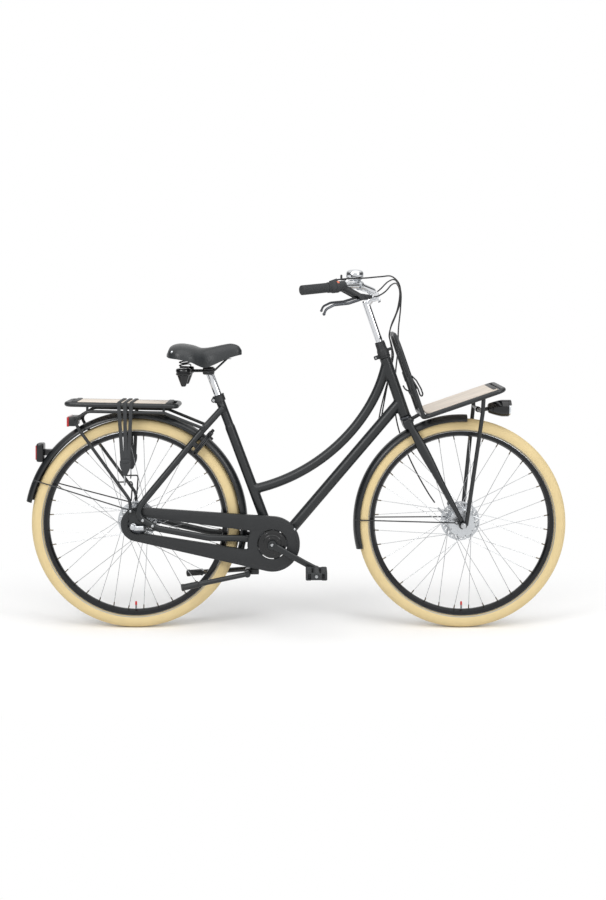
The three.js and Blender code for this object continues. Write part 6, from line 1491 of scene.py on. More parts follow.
def dress_stand():
    pivot, length = stand.pivot, stand.pad_length
    parts = [spun(drum(stand.pin, -stand.half, stand.half, 0.6 * MM), pivot, steps=32)]
    pads = []
    for side in (-1, 1):
        start = Vector((pivot.x, side * stand.half, pivot.z))
        end = Vector((stand.foot.x, side * stand.foot.y, stand.foot.z))
        way = (end - start).normalized()
        parts.append(spun(drum(stand.tube + 2.4 * MM, -10 * MM, 10 * MM, 3 * MM), start, steps=40))
        parts.append(rod([start, end - way * stand.tube], stand.tube, 28))
        pads.append(spun(pad_profile, end - way * length, way, 40))
    finished(joined(*parts), "stand_legs", "stand_body", satin, "satin_frame", "stand")
    finished(joined(*pads), "stand_feet", "stand_body", moulded, "rubber")


# Ring lock
ring_lock = sizes(
    centre=345, inner=44, outer=63, half=8, bow=53, shackle=4, room=5.2, knob=2.4, head=5.8, reach=76,
)
lock_lug = sizes(inner=40, outer=56, foot=6, head=30, half=8)
keyhole = sizes(barrel=9, reach=12, face=5)
key_at = spot(54, 0, 34)
knob_angle = radians(66)
# Where each part of the lock starts and ends round its ring, in degrees
lock_spans = SimpleNamespace(housing=(-30, 210), channel=(-35, 215), slot=(61, 203), bow=(63, 207))
lock_angle = radians(50)
lock_out = heading(lock_angle)
lock_back = Vector((-lock_out.z, 0, lock_out.x))
LOCK = Matrix.Translation(rear_axle + lock_out * ring_lock.centre) @ Matrix(
    (Vector((0, 1, 0)), lock_back, lock_out)).transposed().to_4x4()


def sector(inner, outer, start, end):
    return (arc(0, 0, outer, radians(start), radians(end), 36)
            + arc(0, 0, inner, radians(end), radians(start), 36))


def dress_lock():
    thin = 0.6 * MM
    outline = sector(ring_lock.inner, ring_lock.outer, *lock_spans.housing)
    housing = plate([outline], -ring_lock.half, ring_lock.half)
    housing = softened(housing, 2.2 * MM, 3)
    channel = sector(ring_lock.bow - ring_lock.room, ring_lock.bow + ring_lock.room, *lock_spans.channel)
    slot = sector(ring_lock.bow, ring_lock.outer + 6 * MM, *lock_spans.slot)
    housing = hollowed(housing, plate([channel], -ring_lock.room, ring_lock.room),
                       plate([slot], -ring_lock.knob - thin, ring_lock.knob + thin))
    key_face = ring_lock.half + keyhole.reach
    cylinder = spun(drum(keyhole.barrel, ring_lock.half - 2 * MM, key_face, 1.6 * MM), key_at, (0, -1, 0), 40)
    lugs = []
    for side in (-1, 1):
        low, high = sorted((side * lock_lug.inner, side * lock_lug.outer))
        lug = block((low, lock_lug.foot, -lock_lug.half), (high, lock_lug.head, lock_lug.half), 2 * MM)
        lugs.append(hollowed(placed(lug, LOCK), stay_room(side, gap)))
    whole = joined(placed(joined(housing, cylinder), LOCK), *lugs)
    finished(whole, "ring_lock_housing", "frame_body", moulded, "plastic", "ring_lock")
    key = spun(drum(keyhole.face, key_face, key_face + 1 * MM, 0.3 * MM), key_at, (0, -1, 0), 32)
    finished(placed(key, LOCK), "ring_lock_keyhole", "frame_body", zinc, "steel")
    start, end = (radians(angle) for angle in lock_spans.bow)
    bow = [Vector((x, 0, z)) for x, z in arc(0, 0, ring_lock.bow, start, end, 48)]
    way = heading(knob_angle)
    shackle = joined(rod(bow, ring_lock.shackle, 20),
                     rod([way * ring_lock.bow, way * ring_lock.reach], ring_lock.knob, 14))
    finished(placed(shackle, LOCK), "ring_lock_bow", "lock_bow_body", dark_steel, "steel", "lock_bow")
    head = drum(ring_lock.head, ring_lock.outer + 1.2 * MM, ring_lock.reach, 1.6 * MM)
    head = spun(head, way=way, steps=32)
    finished(placed(head, LOCK), "ring_lock_knob", "lock_bow_body", moulded, "plastic")


# Roller brakes
brake = sizes(thick=7, arm_root=15, arm_half=7, arm_thick=4, cam_half=6, cam_thick=3, cam_hub=8)


def tapered_bar(start, end, start_half, end_half, low, high, edge):
    """A flat bar with round ends between two places in X and Z."""
    start, end = Vector(start), Vector(end)
    along = atan2(end.y - start.y, end.x - start.x)
    quarter = pi / 2
    outline = (arc(*start, start_half, along + quarter, along + 3 * quarter, 10)
               + arc(*end, end_half, along - quarter, along + quarter, 10))
    return plate([outline], low, high, edge)


# The brake's rim: radius, and depth under its outer face
brake_rim = pairs([(33, 7), (34, 6), (34, 2.2), (32.4, 0.8), (29, 0.6), (28, 0)])


def dress_brake(end, axle, inner, shaft, arm_end, pivot, tip, body, cam_body):
    """A round brake with its arm, and the lever that turns its cam."""
    outer, nut = inner + brake.thick, 2 * shaft.radius + 2 * gap
    profile = [(nut, inner), *[(radius, outer - depth) for radius, depth in brake_rim], (nut, outer)]
    arm = tapered_bar((0, 0), Vector(arm_end) * MM, brake.arm_root, brake.arm_half, inner,
                      inner + brake.arm_thick, 0.8 * MM)
    arm = hollowed(arm, spun(drum(nut, inner - 5 * MM, outer + 5 * MM), steps=40))
    unit = at_axle(axle, joined(spun(profile, steps=72), arm))
    finished(unit, f"{end}_brake_unit", body, dark_steel, "steel", f"{end}_brake")
    face = outer + gap
    top = face + brake.cam_thick
    pivot, tip = Vector(pivot) * MM, Vector(tip) * MM
    lever = tapered_bar(pivot, tip, brake.cam_half, 3.6 * MM, face + gap, top - gap, 0.5 * MM)
    centre = (pivot.x, 0, pivot.y)
    hub = spun(drum(brake.cam_hub, face, top, 0.5 * MM), centre, steps=40)
    bolt = hexagon(centre, 5.2 * MM, top - gap, top + 2.4 * MM)
    pin = spun(drum(3 * MM, face, top + 1.6 * MM, 0.4 * MM), (tip.x, 0, tip.y), steps=24)
    finished(at_axle(axle, joined(lever, hub, bolt, pin)), f"{end}_brake_lever", cam_body, zinc, "steel",
             f"{end}_brake_cam")


dress_rear_carrier()
dress_straps()
dress_rear_lamp()
dress_stand()
dress_lock()
dress_brake("rear", rear_axle, 42.5 * MM, rear_shaft, (78.96, -5.64), (10, 26), (66, 38), "frame_body",
            "rear_cam_body")
dress_brake("front", front_axle, 37.5 * MM, front_shaft, (-37.6, 58.28), (-24, -8), (-74, 40),
            "steering_body", "front_cam_body")

# Seat post, clamp and saddle
post_top = along_seat(seat_tube.length + seat_post.exposed)
saddle = sizes(rear=-144.5, length=255, half=103, top=102.7, height=81, keel=1)
# Along the saddle from its rear: place, half width, top and lower edge as shares of its sizes
saddle_shares = [
    (0, 0.5, 0.62, 0.47), (0.06, 0.83, 0.93, 0.42), (0.18, 1, 1, 0.38), (0.33, 0.93, 0.93, 0.27),
    (0.44, 0.74, 0.82, 0.09), (0.52, 0.55, 0.82, 0), (0.62, 0.4, 0.87, 0.1), (0.74, 0.31, 0.95, 0.27),
    (0.86, 0.26, 1, 0.42), (0.95, 0.21, 0.92, 0.5), (1, 0.1, 0.72, 0.53),
]
# How round the cushion's section is, and how far its underside is drawn in, as shares of width and height
section = SimpleNamespace(side_power=0.75, top_power=0.7, under_share=0.12, edge_share=0.6, steps=32)
under_shares = (-0.9, -0.6, 0, 0.6, 0.9)
rivet_station = 5
rivet_points = {-1: 28, 1: 4}
rivet_profile = pairs([(0, -2), (4, -2), (4, 0.4), (3, 1.2), (0, 1.5)])
cup_profile = pairs([
    (0, -41.6), (6, -41.6), (8, -40.1), (12, -29.6), (20.4, -5.1), (21, -3.6), (25, -2.2), (26, -0.6),
    (26, 3.4), (24.6, 4.8), (24.6, 8), (26, 9.4), (26, 16.4), (24, 19.2), (20, 20.4), (0, 20.4),
])
spring = SimpleNamespace(x=-85.5, y=60, wire=2.2 * MM, coil=14 * MM, foot=20.7 * MM, turns=2, steps=72)
cup_rib = SimpleNamespace(count=12, radius=1.2 * MM, low=-35.6, high=-4.6, low_reach=8.6, high_reach=20)
rail_bend = 21 * MM
vinyl = finish("saddle_vinyl", (34, 37, 39), 0.42, grain=1500, bump=0.3, tint=0.1, coat=0.05)


def saddle_ring(along, half, top, low):
    """A section of the cushion: its domed top, then its underside from right to left."""
    base = saddle.top - saddle.height
    x, width = saddle.rear + along * saddle.length, half * saddle.half
    low_z, top_z = base + low * saddle.height, base + top * saddle.height
    ring = []
    for i in range(section.steps + 1):
        c, s = cos(pi * i / section.steps), abs(sin(pi * i / section.steps))
        across = copysign(abs(c) ** section.side_power, c) * width
        ring.append(post_top + Vector((x, across, low_z + (top_z - low_z) * s ** section.top_power)))
    under = low_z + (top_z - low_z) * section.under_share
    for share in under_shares:
        outermost = abs(share) == under_shares[-1]
        rise = low_z + (under - low_z) * section.edge_share if outermost else under
        ring.append(post_top + Vector((x, share * width, rise + (saddle.keel if share == 0 else 0))))
    return ring


def dress_saddle():
    stations = flowing([Vector(share) for share in saddle_shares], 4)
    stations = [(min(1, max(0, s[0])), s[1], min(1, s[2]), max(0, s[3])) for s in stations]
    cover = skin([saddle_ring(*station) for station in stations])
    finished(cover, "saddle_cushion", "seat_body", vinyl, "saddle", "saddle", angle=60)
    ring = saddle_ring(*stations[rivet_station])
    rivets = [spun(rivet_profile, ring[i], (-0.25, side, 0.12), 24) for side, i in rivet_points.items()]
    finished(joined(*rivets), "saddle_rivets", "seat_body", bare_alloy, "alloy")


def on_seat(*points):
    """World places from millimetres off the seat post's top."""
    return [post_top + place for place in places(points)]


def dress_saddle_frame():
    parts = []
    for side in (-1, 1):
        route = on_seat((62.5, side * 9, 52.7), (15.5, side * 26, 8.7), (-67.5, side * 26, 8.7),
                        (spring.x, side * spring.y, 8.7))
        parts.append(rod(filleted(route, rail_bend), rail.radius, 20))
        parts.append(spun(cup_profile, *on_seat((spring.x, side * spring.y, 0)), UP, 48))
        centre, ribs = Vector((spring.x, side * spring.y, 0)), []
        for i in range(cup_rib.count):
            angle = TURN * i / cup_rib.count
            out = Vector((cos(angle), sin(angle), 0))
            ribs.append(on_seat(centre + out * cup_rib.low_reach + Vector((0, 0, cup_rib.low)),
                                centre + out * cup_rib.high_reach + Vector((0, 0, cup_rib.high))))
        parts.append(rods(ribs, cup_rib.radius, 8))
    parts.append(rod(on_seat((62.5, -9, 52.7), (62.5, 9, 52.7)), rail.radius, 20))
    parts.append(block(*on_seat((54.5, -9, 49.2), (74.5, 9, 50.7)), 0.4 * MM))
    clamp = block(*on_seat((-23.5, -23, -4.3), (16.5, 23, 21.7)), 6 * MM, 4)
    post_room = rod([along_seat(seat_tube.length), post_top + seat_axis * gap], seat_post.radius + gap, 48)
    parts.append(hollowed(clamp, post_room))
    finished(joined(*parts), "saddle_rails_and_cups", "seat_body", glossy, "plastic", "saddle_rails",
             angle=40)
    bolts = [hexagon(*on_seat((-3.5, 0, 8.7)), 7 * MM, 22 * MM, 26 * MM, (0, side, 0)) for side in (-1, 1)]
    finished(joined(*bolts), "saddle_clamp_bolts", "seat_body", dark_steel, "steel")


def dress_saddle_spring(name, side):
    """One wire from a straight foot through the coil to a straight head."""
    _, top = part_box(name)
    low, high = post_top.z + spring.foot, top.z
    centre = on_seat((spring.x, side * spring.y, 0))[0]
    rise = high - low - 4 * spring.wire
    line = [Vector((centre.x + spring.coil, centre.y, low))]
    for i in range(spring.steps + 1):
        angle = spring.turns * TURN * i / spring.steps
        line.append(Vector((centre.x + spring.coil * cos(angle), centre.y + side * spring.coil * sin(angle),
                            low + 2 * spring.wire + rise * i / spring.steps)))
    line.append(Vector((centre.x + spring.coil, centre.y, high)))
    finished(rod(line, spring.wire, 14), f"{name}_coil", "seat_body", glossy, "steel", name)


def dress_seat_post():
    post = rod([along_seat(seat_tube.length - seat_post.insertion), post_top], seat_post.radius, 64)
    finished(softened(post, 0.5 * MM), "seat_post_tube", "seat_body", chromed, "chrome", "seat_post")
    low, high = seat_tube.length - seat_clamp.height + seat_clamp.over, seat_tube.length + seat_clamp.over
    radius, edge, lip = seat_clamp.radius, seat_clamp.edge, high - seat_clamp.lip
    collar = spun([
        (seat_clamp.bore, low), (radius - edge, low), (radius, low + edge), (radius, lip - edge),
        (radius + edge, lip), (radius + edge, high - edge), (radius, high), (seat_clamp.mouth, high),
        (seat_clamp.mouth, lip), (seat_clamp.bore, lip),
    ], shell.centre, seat_axis, 64)
    behind = Vector((-cos(LEAN), 0, -sin(LEAN)))
    ear = along_seat((low + high) / 2) + behind * radius
    lugs, heads = [], []
    for side in (-1, 1):
        lugs.append(spun(drum(seat_clamp.ear, 1.4 * MM, 11 * MM, 1.4 * MM), ear, (0, side, 0), 32))
        heads.append(spun(drum(*mm(5.4, 11, 15.4, 1)), ear, (0, side, 0), 32))
    finished(joined(collar, *lugs), "seat_clamp_collar", "frame_body", moulded, "plastic", "seat_clamp")
    half = Vector((0, seat_clamp.bolt_half, 0))
    bolt = joined(rod([ear - half, ear + half], 3 * MM, 16), *heads)
    finished(bolt, "seat_clamp_bolt", "frame_body", zinc, "steel")


# Fork and headset, modelled upright along the steering axis and then leaned back
blade_top, blade_foot = Vector((1, 44, 404)), Vector((64, 56, 15))
# Pairs of the share of a blade's length and its half depth in millimetres
blade_depths = [(0, 12), (0.3, 17), (0.75, 9.75), (1, 7.5)]
blade_steps = 32
wheel_room = sizes(radius=375.3, half=28.3)
race_profile = pairs([(12.9, 404.3), (20.6, 404.3), (21, 406), (20, 408.6), (20.6, 411.4), (12.9, 411.4)])
headset_profile = pairs([
    (12.9, 626.3), (20, 626.3), (21, 627.3), (21, 631.3), (19.6, 632.3), (19.6, 634.3), (20.5, 635.3),
    (20.5, 651.3), (19.6, 654.3), (18.4, 657.3), (17.5, 662.3), (17.5, 677.3), (16.8, 678.3), (16.8, 679.9),
    (17.4, 680.7), (17, 683.3), (16, 684.3), (12.9, 684.3),
])


def steering_piece(piece, name, material, slot, *nodes, body="steering_body", angle=35):
    return finished(placed(piece, STEER), name, body, material, slot, *nodes, angle=angle)


def eased(stops, share):
    """A smooth value between stops given as pairs of share and value."""
    for (low, start), (high, end) in zip(stops, stops[1:]):
        if share <= high:
            t = (share - low) / (high - low)
            return start + (end - start) * t * t * (3 - 2 * t)
    return stops[-1][1]


def dress_fork():
    parts = []
    axle, eye = (fork.rake, 0, 0), STEER.inverted() @ front_eye
    for side in (-1, 1):
        path, halves = [], []
        for i in range(blade_steps + 1):
            share = i / blade_steps
            x, y, z = blade_top.lerp(blade_foot, share)
            path.append(spot(x, side * y, z))
            halves.append((MM * (9.5 - 2.9 * share), MM * eased(blade_depths, share)))
        parts.append(oval_tube(path, halves, 28))
        low, high = sorted((side * fork.tip_inner, side * fork.tip_outer))
        parts.append(spun(drum(fork.tip, low, high), axle, steps=48))
        parts.append(block((fork.rake - fork.tip / 2, low, 0),
                           (fork.rake + fork.tip / 2, high, 2 * fork.tip)))
        parts.append(spun(drum(fork.eye, low, high), (eye.x, 0, eye.z), steps=32))
        parts.append(block((eye.x, low, eye.z - fork.eye), (fork.rake, high, eye.z + fork.eye / 2)))
    parts.append(block(spot(-18, -52, 372), spot(18, 52, 404), 7 * MM, 4))
    parts.append(spun(drum(fork.seat, 398 * MM, 411.7 * MM), way=UP, steps=56))
    body = hollowed(
        blended(joined(*parts), 1.9 * MM, 5),
        spun(drum(wheel_room.radius, -wheel_room.half, wheel_room.half), axle, steps=128),
        spun(drum(fork.slot, -100 * MM, 100 * MM), axle, steps=32),
        block((fork.rake - fork.slot, -100 * MM, -30 * MM), (fork.rake + fork.slot, 100 * MM, 0)),
        spun(drum(fork.bore, 380 * MM, 430 * MM), way=UP, steps=48),
    )
    steerer = spun([(fork.bore, fork.crown), (fork.steerer, fork.crown), (fork.steerer, fork.top),
                    (fork.bore, fork.top)], way=UP, steps=48)
    boss = spun(drum(*mm(5, 41.8, 56, 0.6)), spot(48, 0, 69), steps=24)
    steering_piece(joined(body, steerer, boss), "fork_blades", satin, "satin_frame", "fork", angle=60)
    steering_piece(spun(race_profile, way=UP, steps=56), "lower_head_race", dark_steel, "steel")


def dress_headset():
    collar = spun(headset_profile, way=UP, steps=64)
    lug = block(spot(-36.5, -7, 628.3), spot(-13.9, 7, 642.3), 3.5 * MM, 3)
    guide = block(spot(13.9, -7, 644.3), spot(36.5, 7, 654.3), 3 * MM, 3)
    steering_piece(joined(collar, lug, guide), "headset_collar", moulded, "plastic", "headset", angle=40)
    bolt = spun(drum(*mm(3, -8.6, 8.6, 0.6)), spot(-30, 0, 635.3), steps=24)
    steering_piece(bolt, "headset_lug_bolt", zinc, "steel")


# Stem and bar
stem_clamp = spot(32, 0, 841)
bar_half = places([
    (32, 27, 841), (37, 50, 847), (30, 92, 862), (-7, 160, 893), (-53, 212, 908), (-195.5, 300, 941.8),
])
bar = sizes(radius=11.1, room=11.5, bend=40)
fine_bend = radians(5)
stem_profile = pairs([
    (0, 418), (11, 418), (11, 684.9), (12.7, 684.9), (12.7, 826), (12.2, 832), (10.5, 835.4), (0, 836),
])
neck_route = places([(0, 0, 820), (8, 0, 826), (17, 0, 832), (28, 0, 839)])
neck_halves = pairs([(12.5, 12.5), (12.6, 13), (13, 13), (14, 13.4)])
clamp_profile = pairs([(12.9, -22), (18, -22), (19, -21), (19, 21), (18, 22), (12.9, 22)])
stem_bolt_profile = pairs([(0, 0), (4.4, 0), (4.4, 3), (2.2, 3), (2.2, 1), (0, 1)])
bar_middle_profile = pairs([(0, -25), (11.1, -25), (12.7, -23), (12.7, 23), (11.1, 25), (0, 25)])
grip = SimpleNamespace(radius=16, groove=15.35, pitch=4, margin=8)


def bar_place(side, length):
    """A place on a grip's straight end of the bar, measured inwards from the bar's end."""
    end, elbow = bar_half[-1], bar_half[-2]
    place = end + (elbow - end).normalized() * length
    return Vector((place.x, side * place.y, place.z))


def bar_way(side):
    return bar_place(side, 0.1) - bar_place(side, 0)


def sleeve(side, profile):
    """A piece turned round the bar, its profile in millimetres from the bar's end inwards."""
    piece = spun(pairs(profile), way=UP, steps=56)
    return placed(piece, Matrix.Translation(bar_place(side, 0)) @ turned_to(bar_way(side)))


def dress_stem_and_bar():
    post = spun(stem_profile, way=UP, steps=64)
    neck = hollowed(oval_tube(neck_route, neck_halves, 40),
                    spun(drum(*mm(13, -40, 40)), stem_clamp, steps=56))
    clamp = spun(clamp_profile, stem_clamp, steps=64)
    lip = block(stem_clamp + spot(8, -9, -24), stem_clamp + spot(19, 9, -8), 2.5 * MM, 3)
    stem = joined(post, neck, clamp, lip)
    steering_piece(stem, "stem_post_and_clamp", chromed, "chrome", "stem", angle=40)
    bolt = spun(stem_bolt_profile, stem_clamp + spot(13, 0, -24.5), (0, 0, -1), 24)
    steering_piece(bolt, "stem_bolt", dark_steel, "steel")
    path = filleted([*mirrored(bar_half, -1)[::-1], *bar_half], bar.bend, fine_bend)
    tube = joined(rod(path, bar.radius, 36), spun(bar_middle_profile, stem_clamp, steps=64))
    steering_piece(tube, "handlebar_tube", chromed, "chrome", "handlebar", angle=50)


def dress_grips():
    for name, side, length in (("right_grip", -1, 97), ("left_grip", 1, 137)):
        profile = [(0, -3), (13.5, -3), (15.6, -1.6), (grip.radius, 1), (grip.radius, 6)]
        for at in range(grip.margin, length - grip.margin, grip.pitch):
            profile += [(grip.radius, at), (grip.groove, at + 0.7), (grip.groove, at + 1.3),
                        (grip.radius, at + 2)]
        profile += [(grip.radius, length - 3), (15.4, length), (11.3, length), (11.3, 0), (0, 0)]
        steering_piece(sleeve(side, profile), f"{name}_sleeve", soft_rubber, "rubber", name)


# Twist shifter
shifter_start = [(11.4, 97.8), (16.6, 97.8), (17.4, 98.6)]
shifter_rest = [
    (17.4, 110.6), (18.6, 111.6), (18.6, 114), (19.4, 115), (20, 116.4), (20, 124.6), (19.2, 125.6),
    (19.2, 127.4), (20, 128.4), (20, 136.6), (19, 138), (11.4, 138),
]
shifter_window = SimpleNamespace(along=132.6 * MM, out=19.2 * MM, facing=Vector((0.1, -0.75, 0.66)))


def dress_shifter():
    ribs = [point for at in range(100, 110, 2) for point in ((17.6, at), (17, at + 0.8))]
    body = sleeve(-1, [*shifter_start, *ribs, *shifter_rest])

    def above(length, rise):
        return bar_place(-1, length * MM) + spot(0.17 * rise, 0.1 * rise, rise)

    outlet = rod([above(109.8, 17), above(126, 20.4), above(138.3, 23)], 4 * MM, 20)
    hood = rod([above(118, 15.5), above(137, 18)], 7 * MM, 24)
    steering_piece(joined(body, outlet, hood), "twist_shifter", soft_rubber, "rubber", "shifter",
                   body="shifter_body", angle=40)
    way = bar_way(-1).normalized()
    out = (shifter_window.facing - way * shifter_window.facing.dot(way)).normalized()
    lens = block(spot(-3.6, -5, 0), spot(3.6, 5, 1.5), 0.6 * MM)
    at = bar_place(-1, shifter_window.along) + out * shifter_window.out
    placed(lens, Matrix.Translation(at) @ Matrix((way, out.cross(way), out)).transposed().to_4x4())
    steering_piece(lens, "shifter_window", orange_lens, "plastic", body="shifter_body")


# Brake levers
lever = sizes(half=6, thick=5, barrel=8, barrel_half=6.5, pin=2.5, bend=30)
lever_points = places([
    (-19, 206, 856), (-30, 212, 850), (-66, 232, 851), (-112, 258, 862), (-142, 272, 858), (-153, 276, 845),
])
mount = sizes(clamp=17.5, clamp_start=139, clamp_end=164, middle=151.5, pin_half=11)
arm_halves = pairs([(13, 11), (11.5, 11), (11, 11)])
nose_halves = pairs([(10.5, 10.5), (9, 9), (6, 6)])
nose_share = 0.55
# Shares of its half width and thickness that a lever loses towards its tip
lever_taper = SimpleNamespace(half=0.25, thick=0.3)
lever_tip_profile = pairs([(0, -5), (3, -4.4), (4.8, -2), (5, 0), (4.8, 2), (3, 4.4), (0, 5)])
sweep = SimpleNamespace(rest=-2, pulled=22, below=-10.4, above=4.7, reach=36, half=7.2)


def lever_side(side):
    """A lever's points and the way of its pin."""
    return mirrored(lever_points, side), Vector((side * 0.49, 0.87, 0)).normalized()


def lever_sweep(side):
    """The room for the lever's root through its travel, a wedge across the pin."""
    points, way = lever_side(side)
    pivot, along = points[0], points[2] - points[0]
    along = (along - way * along.dot(way)).normalized()

    def edge(angle, rise):
        turned = Matrix.Rotation(radians(angle), 3, way) @ along
        start = pivot + way.cross(turned) * rise * MM
        return start, start + turned * sweep.reach * MM

    low_start, low_end = edge(sweep.rest, sweep.below)
    high_start, high_end = edge(sweep.pulled, sweep.above)
    wedge = [low_start, low_end, high_end, high_start]
    return skin([[point + way * shift * MM for point in wedge] for shift in (-sweep.half, sweep.half)])


def dress_lever(name, side):
    points, way = lever_side(side)
    pivot = points[0]

    def on_pin(half, radius):
        return rod([pivot - way * half, pivot + way * half], radius, 32)

    snout = spot(16, side * 190, 846)
    middle = bar_place(side, mount.middle)
    clamp = rod([bar_place(side, mount.clamp_start), bar_place(side, mount.clamp_end)], mount.clamp, 40)
    arm = oval_tube([middle, middle.lerp(pivot, 0.5), pivot], arm_halves, 28, flat=way)
    nose = oval_tube([pivot, pivot.lerp(snout, nose_share), snout], nose_halves, 28, flat=way)
    body = blended(joined(clamp, arm, on_pin(mount.pin_half, 11 * MM), nose), 1.1 * MM, 6)
    elbow = mirrored(bar_half, side)[-2]
    room = rod([bar_place(side, -0.01), bar_place(side, 0.1), elbow], bar.room, 40)
    body = hollowed(body, on_pin(7.1 * MM, 9.2 * MM), lever_sweep(side), room)
    steering_piece(body, f"{name}_brake_clamp", moulded, "plastic", f"{name}_brake_mount", angle=50)
    pin = joined(on_pin(10.9 * MM, lever.pin),
                 rod([snout, snout + (snout - pivot).normalized() * 5 * MM], 4 * MM, 20))
    steering_piece(pin, f"{name}_brake_pin", zinc, "steel")
    path = [pivot, *filleted(points[1:], lever.bend)]
    shares = [i / (len(path) - 1) for i in range(len(path))]
    halves = [(lever.half * (1 - lever_taper.half * share), lever.thick * (1 - lever_taper.thick * share))
              for share in shares]
    blade = hollowed(oval_tube(path, halves, 24, flat=way, power=0.75), on_pin(9 * MM, 6 * MM))
    tip = spun(lever_tip_profile, points[-1], way, 24)
    barrel = spun(washer(lever.pin + gap, lever.barrel, -lever.barrel_half, lever.barrel_half, 0.8 * MM),
                  pivot, way, 40)
    steering_piece(joined(blade, tip, barrel), f"{name}_lever_blade", dark_steel, "plastic",
                   f"{name}_brake_lever", body=f"{name}_lever_body", angle=45)


# Bell, modelled upright round its own middle
bell_at = spot(-12, -150, 931)
dome_profile = pairs([
    (0, -18), (14, -18), (22, -15.6), (27.2, -10.4), (29.2, -4.6), (29.7, -0.4), (28.6, 0.2), (28.6, 1.2),
    (30, 1.8), (29.9, 5.4), (28.9, 9.8), (26.6, 13.6), (22.4, 16.6), (16, 18.6), (8, 19.5), (0, 19.8),
])
trigger_angle = radians(170)
trigger_pin = 33 * MM * Vector((cos(trigger_angle), sin(trigger_angle), 0))
trigger_low = -17.7 * MM


def by_trigger(x, y, rise):
    """A place from millimetres off the trigger's pin, over its lower face."""
    return trigger_pin + Vector((x * MM, y * MM, trigger_low + rise))


def dress_bell():
    level = Matrix.Translation(bell_at) @ Matrix.Rotation(HEAD, 4, "Y")
    case = spun(dome_profile, way=UP, steps=72)
    base = spun(drum(18 * MM, -21 * MM, trigger_low, 0.8 * MM), way=UP, steps=48)
    lug = block(spot(-34, -4, -21), spot(0, 4, -18.2), 0.8 * MM)
    placed(lug, Matrix.Rotation(radians(-10), 4, "Z"))
    pin = spun(drum(*mm(2, -20, -13.4)), trigger_pin, UP, 20)
    case = placed(joined(case, base, lug, pin), level)
    steering_piece(case, "bell_case", chromed, "chrome", "bell", angle=50)
    seat, elbow = spot(-7, -160, 893), spot(-53, -212, 908)
    along = (elbow - seat).normalized()
    clamp = spun(washer(*mm(11.4, 15.5, -8, 8, 1.4)), seat + along * 3 * MM, along, 48)
    foot = rod([seat + spot(0, 0, 12.5), bell_at - spot(0, 0, 18)], 8.6 * MM, 32)
    steering_piece(joined(clamp, foot), "bell_clamp", bare_alloy, "alloy")
    hub = spun(washer(2.3 * MM, 4.5 * MM, trigger_low, trigger_low + 4 * MM, 0.4 * MM), trigger_pin, UP, 28)
    arm = block(by_trigger(-14, -3, gap), by_trigger(-3.6, 3, 3.7 * MM), 0.7 * MM)
    pad = block(by_trigger(-16, -7, gap), by_trigger(-9, 7, 20 * MM), 3.4 * MM, 5)
    trigger = placed(joined(hub, arm, pad), level)
    steering_piece(trigger, "bell_thumb_trigger", moulded, "plastic", "bell_trigger",
                   body="bell_trigger_body", angle=45)


# Front carrier, with its sizes in millimetres on the steering axis
basket = SimpleNamespace(rear=54, front=340, half=127, z=402, cross_z=399.7, hoop_half=118, hoop_top=694)
basket_cross = (74, 316)
basket_bends = sizes(corner=26, hoop=60, hook=6)
basket_wires = sizes(rim=8, hoop=7, cross=4.5, foot_cross=6, loop=2.6, hook=2.8, arm=6.4)
leg_route = [(264, 119, 395), (247, 116, 352), (74, 59.3, -2)]
loop_route = [(60, 548), (70, 528), (76, 496), (76, 478), (70, 470), (66, 478), (66, 500), (62, 520)]
hook_route = [(50, 478), (42, 480), (36, 490), (34, 502)]
front_board = SimpleNamespace(rear=68, front=322, half=118.5, low=0.4045, high=0.4115, corner=0.020)


def axle_room(side, radius, low, high, steps):
    """A round cutter on the front axle, between two places on one side."""
    return spun(drum(radius * MM, low * MM, high * MM), (fork.rake, 0, 0), (0, side, 0), steps)


def dress_carrier_side(side):
    """A leg with its eye on the axle, and the loop, hook and plate on the hoop."""
    leg = places([(x, side * y, z) for x, y, z in leg_route])
    tube = hollowed(rod(filleted(leg, basket_bends.hoop, fine_bend), basket_wires.hoop, 24),
                    axle_room(side, 10.4, 63.4, 90, 40), axle_room(side, 21, 30, 55.3, 48),
                    axle_room(side, 5.1, 40, 90, 32))
    eye = spun(washer(*mm(5.1, 10, 55.3, 63.3, 1)), (fork.rake, 0, 0), (0, side, 0), 40)
    y = side * basket.hoop_half
    loop = places([(x, y, z) for x, z in loop_route])
    hook = places([(x, y, z) for x, z in hook_route])
    return [
        tube, eye, rod(filleted(loop, basket_bends.hook), basket_wires.loop, 12),
        rod(filleted(hook, basket_bends.hook), basket_wires.hook, 12),
        block(spot(45, y - 4, 512), spot(49, y + 4, 548), 1.6 * MM, 3),
    ]


